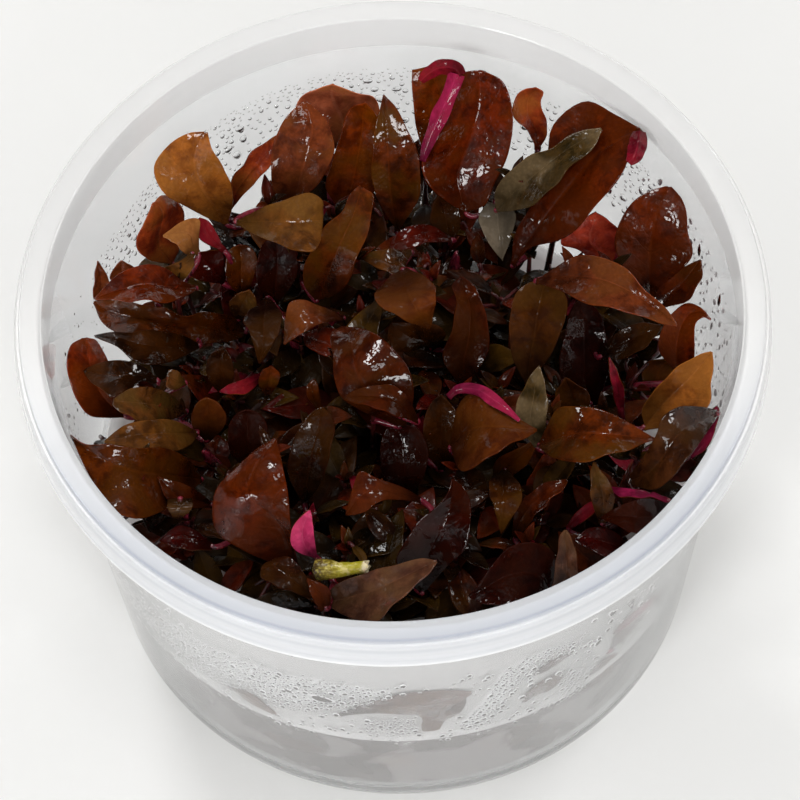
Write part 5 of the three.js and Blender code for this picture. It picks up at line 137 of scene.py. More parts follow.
    ("A8b_margin", "", "D", "magenta", [4.54, 28.62, 50.01, 4.84, 28.43, 50.11, 5.15, 28.35, 50.02, 4.76, 29.67, 51.13, 5.32, 29.29, 51.3, 5.88, 29.13, 51.14, 5.24, 30.94, 52.48, 6.02, 30.37, 52.7, 6.81, 30.11, 52.44, 5.98, 32.24, 53.83, 6.86, 31.54, 54.07, 7.76, 31.22, 53.76, 6.81, 33.51, 55.08, 7.73, 32.78, 55.33, 8.66, 32.44, 55, 7.73, 34.78, 56.19, 8.61, 34.11, 56.43, 9.5, 33.81, 56.13, 8.35, 36.02, 57.05, 9.27, 35.38, 57.33, 10.21, 35.12, 57.06, 8.7, 37.11, 57.68, 9.73, 36.43, 58, 10.76, 36.17, 57.72]),
    ("A8b_tip", "", "D", "crimson", [9.55, 36.22, 57.2, 10.23, 36.25, 57.78, 10.93, 36.7, 57.74, 9.17, 36.74, 57.4, 9.83, 36.94, 58.18, 10.51, 37.63, 58.25, 8.89, 36.85, 57.38, 9.14, 37.3, 58.38, 9.39, 38.28, 58.6, 8.17, 36.91, 57.33, 8.11, 37.39, 58.34, 8.06, 38.4, 58.58, 7.45, 36.87, 57.26, 7.14, 37.3, 58.2, 6.83, 38.23, 58.4, 6.69, 36.62, 57.09, 6.24, 36.92, 57.87, 5.8, 37.67, 57.99, 5.96, 36.34, 56.94, 5.54, 36.53, 57.52, 5.12, 37.08, 57.59, 5.36, 36.06, 56.76, 5.04, 36.17, 57.16, 4.72, 36.54, 57.19]),
    ("55b_tip", "", "D", "crimson", [33.54, 26.45, 57.38, 32.76, 26.4, 57.65, 32.03, 26.77, 57.3, 33.64, 25.77, 57.38, 32.66, 25.73, 57.74, 31.73, 26.21, 57.31, 33.64, 24.91, 57.4, 32.51, 24.9, 57.84, 31.43, 25.5, 57.37, 33.46, 24.13, 57.25, 32.33, 24.17, 57.73, 31.27, 24.82, 57.28, 33.16, 23.32, 57.07, 32.11, 23.46, 57.6, 31.13, 24.19, 57.24, 32.66, 22.59, 56.89, 31.81, 22.85, 57.46, 31.01, 23.63, 57.22, 31.98, 22.14, 56.8, 31.43, 22.4, 57.27, 30.91, 23.05, 57.15, 31.4, 21.91, 56.81, 31.07, 22.09, 57.12, 30.77, 22.51, 57.06]),
    ("B31_margin", "", "D", "magenta", [6.47, -6.39, 49.12, 6.63, -6.61, 49.12, 6.79, -6.77, 48.99, 7.52, -5.6, 50.08, 7.7, -6.14, 50.04, 7.88, -6.52, 49.73, 9.26, -5.62, 50.69, 9.17, -6.37, 50.61, 9.09, -6.91, 50.18, 11.12, -6.6, 51.43, 10.77, -7.36, 51.38, 10.44, -7.89, 50.93, 12.61, -8.18, 51.99, 12.12, -8.88, 51.98, 11.65, -9.35, 51.56, 13.79, -9.81, 52.33, 13.41, -10.31, 52.33, 13.04, -10.64, 52.04, 14.73, -11.19, 52.4, 14.48, -11.49, 52.4, 14.23, -11.69, 52.22, 15.42, -12.21, 52.27, 15.28, -12.37, 52.27, 15.15, -12.46, 52.18]),
    ("wall_1", "", "U", "mauve", [-8.71, -39.29, 27.35, -8.82, -39.28, 27.47, -8.93, -39.26, 27.58, -6.24, -39.89, 28.74, -6.81, -39.87, 29.43, -7.38, -39.83, 30.12, -3.4, -40.31, 29.53, -4.32, -40.38, 31.17, -5.24, -40.44, 32.82, -0.67, -40.41, 29.11, -1.66, -40.68, 32.22, -2.67, -40.93, 35.34, 1.64, -40.36, 28.89, 0.98, -40.76, 32.8, 0.32, -41.15, 36.7, 4.21, -40.25, 29.71, 3.62, -40.64, 33.1, 3.01, -41.02, 36.48, 6.26, -40.17, 31.54, 5.89, -40.43, 33.68, 5.51, -40.7, 35.82, 7.7, -40.11, 33.48, 7.68, -40.15, 33.85, 7.65, -40.19, 34.21]),
    ("wall_2", "", "U", "mauve", [2.39, -40.59, 33.48, 3.9, -40.47, 33.48, 5.39, -40.3, 33.48, 0.84, -40.49, 31.84, 3.88, -40.31, 31.8, 6.9, -39.9, 31.75, 0.74, -40.3, 29.88, 3.81, -40.11, 29.68, 6.84, -39.68, 29.48, 0.96, -40.13, 28.2, 3.57, -39.94, 27.67, 6.15, -39.57, 27.15, 1.5, -39.94, 26.4, 3.03, -39.82, 25.99, 4.55, -39.63, 25.59, 1.31, -39.74, 24.25, 2.6, -39.66, 24.07, 3.89, -39.54, 23.9, 1.41, -39.53, 22.19, 2.5, -39.48, 22.15, 3.58, -39.39, 22.12, 1.71, -39.36, 20.53, 2.47, -39.32, 20.53, 3.24, -39.26, 20.52]),
    ("wall_3", "", "U", "mauve", [-22.68, -32.75, 23.16, -22.75, -32.72, 23.33, -22.83, -32.69, 23.49, -21.75, -33.37, 23.12, -21.95, -33.32, 23.79, -22.14, -33.26, 24.46, -21.15, -33.62, 21.98, -21.02, -33.93, 23.93, -20.88, -34.24, 25.89, -20.81, -33.81, 21.77, -20.11, -34.42, 23.49, -19.39, -35.02, 25.21, -19.95, -34.3, 21.54, -19.23, -34.85, 22.85, -18.49, -35.4, 24.17, -18.9, -34.84, 21.11, -18.35, -35.24, 22.14, -17.79, -35.64, 23.16, -17.86, -35.36, 20.87, -17.55, -35.6, 21.62, -17.23, -35.83, 22.37, -16.95, -35.83, 21.14, -16.89, -35.88, 21.3, -16.83, -35.92, 21.47]),
    ("wall_4", "", "U", "mauve", [14.5, -37.27, 24.74, 14.37, -37.33, 24.82, 14.24, -37.38, 24.91, 15.42, -36.96, 25.33, 14.91, -37.21, 25.74, 14.4, -37.45, 26.15, 16.41, -36.54, 25.47, 15.63, -37, 26.59, 14.85, -37.44, 27.71, 17.21, -36.11, 24.92, 16.49, -36.68, 27.06, 15.75, -37.23, 29.19, 18.13, -35.69, 25.21, 17.36, -36.31, 27.36, 16.58, -36.9, 29.52, 18.82, -35.44, 26.11, 18.19, -35.95, 27.87, 17.56, -36.46, 29.63, 19.08, -35.37, 26.85, 18.94, -35.59, 28.13, 18.8, -35.81, 29.42, 19.55, -35.24, 27.97, 19.56, -35.26, 28.14, 19.57, -35.27, 28.31]),
    ("wall_5", "", "U", "greymauve", [15.49, -37.75, 33.17, 15.46, -37.79, 33.37, 15.43, -37.82, 33.56, 16.18, -37.43, 32.82, 16.06, -37.55, 33.51, 15.93, -37.68, 34.2, 17.03, -37.02, 32.6, 16.79, -37.25, 33.7, 16.55, -37.48, 34.81, 17.86, -36.66, 32.84, 17.56, -36.92, 33.95, 17.26, -37.19, 35.07, 18.54, -36.34, 33.03, 18.32, -36.59, 34.25, 18.09, -36.83, 35.48, 19.07, -36.1, 33.38, 19.1, -36.2, 34.37, 19.12, -36.29, 35.35, 19.71, -35.81, 33.85, 19.8, -35.81, 34.29, 19.89, -35.81, 34.74, 20.34, -35.48, 34.02, 20.37, -35.47, 34.13, 20.4, -35.47, 34.24]),
    ("wall_6", "", "U", "mauve", [22.16, -32.43, 17.45, 22.03, -32.57, 17.83, 21.89, -32.7, 18.22, 23.37, -31.44, 16.42, 22.74, -32.12, 18.26, 22.09, -32.79, 20.11, 24.58, -30.46, 16.1, 23.63, -31.54, 18.8, 22.62, -32.59, 21.51, 25.49, -29.75, 16.43, 24.53, -30.92, 19.43, 23.53, -32.06, 22.43, 25.9, -29.39, 16.33, 25.45, -30.24, 19.94, 24.97, -31.08, 23.55, 26.3, -29.29, 18.35, 26.42, -29.41, 20.05, 26.54, -29.52, 21.75, 27.17, -28.61, 19.25, 27.3, -28.58, 19.92, 27.42, -28.55, 20.6, 27.97, -27.87, 19.57, 28, -27.86, 19.67, 28.02, -27.85, 19.78]),
    ("wall_7", "", "D", "magenta", [25.84, -31.27, 30.6, 25.87, -31.28, 30.88, 25.9, -31.29, 31.17, 26.49, -30.61, 29.79, 26.63, -30.62, 30.83, 26.77, -30.63, 31.87, 27.31, -29.81, 29.25, 27.58, -29.75, 30.67, 27.85, -29.68, 32.09, 28.22, -28.92, 29, 28.59, -28.73, 30.38, 28.97, -28.55, 31.76, 29.17, -27.91, 28.67, 29.63, -27.59, 29.83, 30.08, -27.27, 31, 30.32, -26.59, 28.16, 30.7, -26.26, 28.9, 31.08, -25.92, 29.64, 31.46, -25.07, 27.19, 31.69, -24.83, 27.54, 31.92, -24.6, 27.9, 32.5, -23.49, 25.88, 32.53, -23.46, 25.93, 32.56, -23.42, 25.97]),
    ("wall_8", "", "U", "greymauve", [25.93, -30.14, 24.23, 25.8, -30.27, 24.38, 25.67, -30.4, 24.54, 26.72, -29.44, 24.21, 26.24, -29.97, 25.01, 25.75, -30.49, 25.81, 27.54, -28.43, 22.41, 26.84, -29.51, 25.52, 26.09, -30.57, 28.64, 27.36, -28.81, 23.94, 27.53, -28.88, 25.69, 27.71, -28.95, 27.44, 28.02, -28.2, 24.14, 28.31, -28.09, 25.44, 28.6, -27.97, 26.73, 28.8, -27.38, 24, 29.06, -27.28, 25.21, 29.31, -27.17, 26.41, 29.54, -26.62, 24.29, 29.7, -26.55, 25, 29.85, -26.48, 25.71, 30.15, -25.98, 24.61, 30.2, -25.95, 24.81, 30.24, -25.93, 25.02]),
    ("wall_9", "", "U", "mauve", [32.43, -22.87, 21.54, 32.28, -23.15, 22, 32.13, -23.44, 22.45, 32.87, -22.15, 21.16, 32.5, -22.88, 22.24, 32.11, -23.61, 23.32, 33.28, -21.55, 21.28, 32.76, -22.56, 22.58, 32.21, -23.55, 23.88, 33.55, -21.24, 21.87, 33.04, -22.23, 22.98, 32.49, -23.2, 24.1, 33.72, -21.13, 22.72, 33.3, -21.91, 23.42, 32.86, -22.68, 24.13, 33.85, -21.08, 23.59, 33.54, -21.63, 23.96, 33.22, -22.18, 24.32, 33.9, -21.14, 24.38, 33.73, -21.44, 24.53, 33.56, -21.73, 24.67, 33.91, -21.24, 25.01, 33.87, -21.31, 25.04, 33.83, -21.39, 25.07]),
    ("wall_10", "", "D", "magenta", [-33.18, -22.91, 28.19, -33.21, -22.89, 28.25, -33.24, -22.86, 28.32, -32.74, -23.57, 28.35, -32.87, -23.44, 28.64, -32.99, -23.31, 28.92, -32.2, -24.36, 28.7, -32.42, -24.14, 29.16, -32.64, -23.92, 29.61, -31.68, -25.13, 29.31, -31.93, -24.88, 29.77, -32.17, -24.64, 30.24, -31.17, -25.86, 30.03, -31.4, -25.65, 30.48, -31.64, -25.43, 30.94, -30.74, -26.44, 30.45, -30.92, -26.3, 30.94, -31.1, -26.16, 31.42, -30.44, -26.83, 30.73, -30.52, -26.79, 31.12, -30.61, -26.75, 31.51, -30.21, -27.12, 31.03, -30.23, -27.12, 31.16, -30.25, -27.12, 31.29]),
    ("wall_11", "", "U", "dark", [-11.43, -37.52, 19.92, -11.06, -37.7, 20.64, -10.7, -37.88, 21.36, -11.15, -37.5, 18.89, -10.16, -37.9, 20.11, -9.15, -38.28, 21.32, -10.73, -37.51, 17.84, -9.14, -38.03, 18.87, -7.53, -38.49, 19.91, -10.27, -37.45, 15.99, -8.18, -38.05, 16.81, -6.06, -38.52, 17.62, -9.55, -37.41, 13.65, -7.41, -37.94, 14.18, -5.24, -38.36, 14.72, -8.68, -37.32, 10.62, -6.79, -37.75, 11.04, -4.87, -38.08, 11.45, -7.54, -37.31, 8.05, -6.19, -37.59, 8.38, -4.82, -37.82, 8.72, -6.22, -37.37, 6.18, -5.69, -37.46, 6.32, -5.17, -37.55, 6.45]),
    ("wall_12", "", "U", "tanolive", [-5.61, -38.2, 13.67, -5.24, -38.3, 14.13, -4.86, -38.39, 14.58, -5.43, -38.11, 12.47, -4.61, -38.32, 13.56, -3.78, -38.52, 14.64, -4.96, -38.04, 11.08, -3.8, -38.35, 12.93, -2.63, -38.63, 14.78, -4.19, -38.02, 10, -2.92, -38.38, 12.39, -1.64, -38.69, 14.79, -3.33, -38.03, 9.24, -2.03, -38.38, 11.9, -0.71, -38.69, 14.56, -2.26, -38.11, 9.18, -1.13, -38.38, 11.43, 0.01, -38.61, 13.67, -1.12, -38.2, 9.67, -0.35, -38.35, 10.97, 0.43, -38.47, 12.28, 0.09, -38.28, 10.27, 0.27, -38.3, 10.52, 0.44, -38.33, 10.78]),
    ("wall_13", "", "U", "mauve", [6.54, -38.05, 13.61, 6.44, -38.14, 14.36, 6.34, -38.23, 15.11, 7.7, -37.66, 11.94, 7.67, -37.93, 14.55, 7.63, -38.2, 17.17, 8.52, -37.41, 11.21, 9.21, -37.57, 14.46, 9.91, -37.72, 17.7, 9.68, -37.06, 10.54, 10.89, -37.06, 13.85, 12.11, -37.02, 17.16, 11.29, -36.52, 9.76, 12.57, -36.45, 13.11, 13.85, -36.33, 16.47, 13.34, -35.81, 9.59, 14.24, -35.76, 12.42, 15.15, -35.68, 15.26, 15.24, -35.08, 9.93, 15.67, -35.11, 12, 16.1, -35.14, 14.07, 16.68, -34.56, 11.26, 16.76, -34.59, 11.87, 16.85, -34.61, 12.48]),
    ("wall_14", "", "U", "purple", [-23, -30.13, 6.45, -23.12, -30.07, 6.67, -23.24, -30, 6.88, -21.25, -31.48, 7.16, -21.68, -31.28, 7.97, -22.11, -31.07, 8.78, -19.23, -32.83, 7.92, -19.89, -32.6, 9.3, -20.55, -32.35, 10.68, -17.23, -34, 8.61, -17.99, -33.81, 10.42, -18.74, -33.6, 12.22, -15.33, -34.97, 9.3, -16.09, -34.85, 11.34, -16.84, -34.71, 13.38, -13.55, -35.79, 10.14, -14.18, -35.75, 12.1, -14.81, -35.7, 14.07, -12.1, -36.41, 11.12, -12.51, -36.42, 12.64, -12.93, -36.43, 14.16, -11.07, -36.87, 12.45, -11.2, -36.88, 12.98, -11.33, -36.89, 13.51]),
]
STEMS = {
    "stem_01": [[-17.74, 15.9, 19.85], [-18.34, 16.44, 24.14], [-19.21, 17.22, 28.42], [-20.23, 18.13, 32.71], [-21.36, 19.14, 37.0]],
    "stem_02": [[21.42, -19.34, 19.85], [22.18, -20.03, 25.01], [23.3, -21.03, 30.18], [24.6, -22.21, 35.34], [26.04, -23.51, 40.5]],
    "stem_03": [[6.78, -9.41, 19.85], [7.05, -9.79, 25.51], [7.45, -10.34, 31.18], [7.91, -10.99, 36.84], [8.43, -11.71, 42.5]],
    "stem_04": [[23.24, 1.92, 19.85], [23.67, 1.95, 22.39], [24.3, 2.0, 24.92], [25.04, 2.07, 27.46], [25.85, 2.13, 30.0]],
    "stem_05": [[-19.91, -6.6, 19.85], [-20.73, -6.87, 25.14], [-21.92, -7.27, 30.42], [-23.32, -7.73, 35.71], [-24.87, -8.25, 41.0]],
    "stem_06": [[-6.95, -24.49, 19.85], [-7.25, -25.55, 26.39], [-7.69, -27.09, 32.92], [-8.21, -28.9, 39.46], [-8.77, -30.89, 46.0]],
    "stem_07": [[-5.97, 24.51, 19.85], [-6.24, 25.62, 25.26], [-6.64, 27.24, 30.68], [-7.1, 29.13, 36.09], [-7.61, 31.23, 41.5]],
    "stem_08": [[-10.36, 6.17, 19.85], [-10.83, 6.45, 25.26], [-11.53, 6.86, 30.68], [-12.34, 7.35, 36.09], [-13.24, 7.88, 41.5]],
    "stem_09": [[-23.99, 10.59, 19.85], [-25.09, 11.07, 25.39], [-26.69, 11.78, 30.92], [-28.57, 12.61, 36.46], [-30.64, 13.52, 42.0]],
    "stem_10": [[7.36, 17.91, 19.85], [7.61, 18.53, 24.51], [7.98, 19.42, 29.18], [8.41, 20.47, 33.84], [8.89, 21.63, 38.5]],
}
CUT_STEM = [[-10.77, -29.54, 47.65, 1.33], [-10.0, -29.67, 47.87, 1.33], [-9.04, -29.89, 48.15, 1.18], [-8.03, -30.14, 48.45, 0.96], [-7.0, -30.24, 48.74, 0.83], [-5.98, -30.31, 49.04, 0.77], [-5.08, -30.4, 49.3, 0.78], [-4.37, -30.47, 49.51, 0.81]]
# Shoots: foot x, y, lean per mm of height, top height.
SHOOTS = [
    [-25.11, -17.32, -0.08, -0.08, 45.35],
    [-27.88, -11.76, -0.18, -0.08, 49.37],
    [-23.24, -4.38, -0.08, -0.07, 36.57],
    [-26.07, -1.13, -0.18, -0.03, 46.53],
    [-24.47, 4.47, -0.09, 0.08, 38.01],
    [-26.29, 10.4, -0.06, 0.1, 49.37],
    [-24.16, 17.6, -0.17, 0.04, 40.62],
    [-17.7, -18.15, -0.07, -0.07, 48.51],
    [-19.33, -13.13, -0.08, -0.03, 45.72],
    [-18.33, -5.74, -0.07, -0.03, 33.42],
    [-19.07, 1.37, -0.09, -0.02, 40.05],
    [-16.33, 4.46, -0.09, 0.05, 39.82],
    [-19.58, 12.29, -0.09, 0.06, 32.94],
    [-18.08, 17.46, -0.08, 0.1, 37.58],
    [-10.3, -29.44, 0, -0.11, 46.35],
    [-14.71, -23.14, -0.03, -0.12, 44.58],
    [-10.7, -16.85, -0.04, -0.1, 42.43],
    [-14.22, -11.03, -0.07, -0.04, 48.95],
    [-10.67, -6.17, -0.02, 0.03, 42.05],
    [-13.62, -0.39, 0, 0.06, 36.85],
    [-10.85, 7.61, -0.06, -0.01, 43.03],
    [-14.71, 10.88, -0.08, 0.1, 40.12],
    [-9.69, 16.41, -0.1, 0.07, 46.47],
    [-14.97, 24.79, -0.02, 0.07, 46.59],
    [-2, -29.01, -0.05, -0.13, 47.34],
    [-6.18, -23.84, -0.02, -0.06, 46.87],
    [-2.55, -17.6, -0.02, -0.12, 49.78],
    [-6.76, -12.87, -0.01, -0.09, 46.07],
    [-3.53, -4.65, 0.02, -0.07, 49.25],
    [-6.32, 0.69, -0.02, 0.03, 46.72],
    [-3.36, 7.2, -0.02, 0.01, 49.01],
    [-7.94, 12.94, -0.04, 0.05, 36.54],
    [-3.86, 16.82, -0.01, 0.04, 46.28],
    [-6.49, 23.57, -0.03, 0.1, 44.05],
    [-3.95, 30.62, 0.03, 0.13, 43.72],
    [-1.71, -23.96, 0.05, -0.08, 44.95],
    [5.15, -19.09, -0.03, -0.08, 45.76],
    [1.67, -11.24, -0.03, -0.11, 35.29],
    [2.26, -6.25, 0.02, -0.01, 40.88],
    [-0.4, 1.02, -0.06, -0.05, 49.03],
    [3.45, 5.69, 0.03, -0.03, 37.2],
    [-0.65, 12.46, -0.01, 0.11, 43.01],
    [3.92, 17.86, 0.05, 0.04, 40.65],
    [0.14, 24.33, -0.05, 0.11, 40.56],
    [4.75, 28.11, 0.02, 0.15, 44.82],
    [5.26, -24.24, 0.06, -0.05, 47.77],
    [10.91, -17.01, 0.1, -0.01, 44.46],
    [6.13, -10.38, 0.07, -0.09, 42.32],
    [11.88, -6.01, 0, -0.05, 49.73],
    [7.4, -0.18, 0.05, -0.03, 41.05],
    [9.57, 5.68, 0, 0.08, 39.05],
    [6.04, 12.25, -0.03, 0.06, 46.5],
    [10.99, 18.91, 0.07, 0.09, 35.19],
    [6.46, 22.38, 0.06, 0.12, 36.95],
    [13.09, -22.42, 0.11, -0.08, 43.98],
    [16.17, -17.78, 0.06, -0.08, 42.64],
    [12.92, -10.8, 0.03, -0.02, 38.23],
    [16.58, -6.24, 0.13, -0.05, 46.7],
    [13.1, 0.65, 0.01, -0.05, 41.59],
    [16.79, 4.81, 0.07, 0.03, 37.06],
    [11.95, 11.17, 0.1, 0.09, 40.09],
    [17.55, 17.54, 0.04, 0.11, 42.62],
    [14.81, 25.1, 0.07, 0.08, 48.97],
    [24.04, -18.42, 0.15, -0.12, 44.42],
    [19.29, -11.76, 0.06, -0.03, 48.31],
    [23.9, -5.02, 0.12, 0, 42.84],
    [20.45, 0.85, 0.06, 0, 39.38],
    [22.39, 4.26, 0.12, 0.06, 32.13],
    [20.59, 10.94, 0.11, 0.06, 49.21],
    [22.89, 16.99, 0.07, 0.03, 41.42],
    [19.8, 22.91, 0.13, 0.14, 45.43],
    [27.23, -12.48, 0.11, -0.08, 47.51],
    [28.91, 1.08, 0.09, -0.02, 38.86],
    [26.08, 10.89, 0.09, 0.06, 48.98],
]
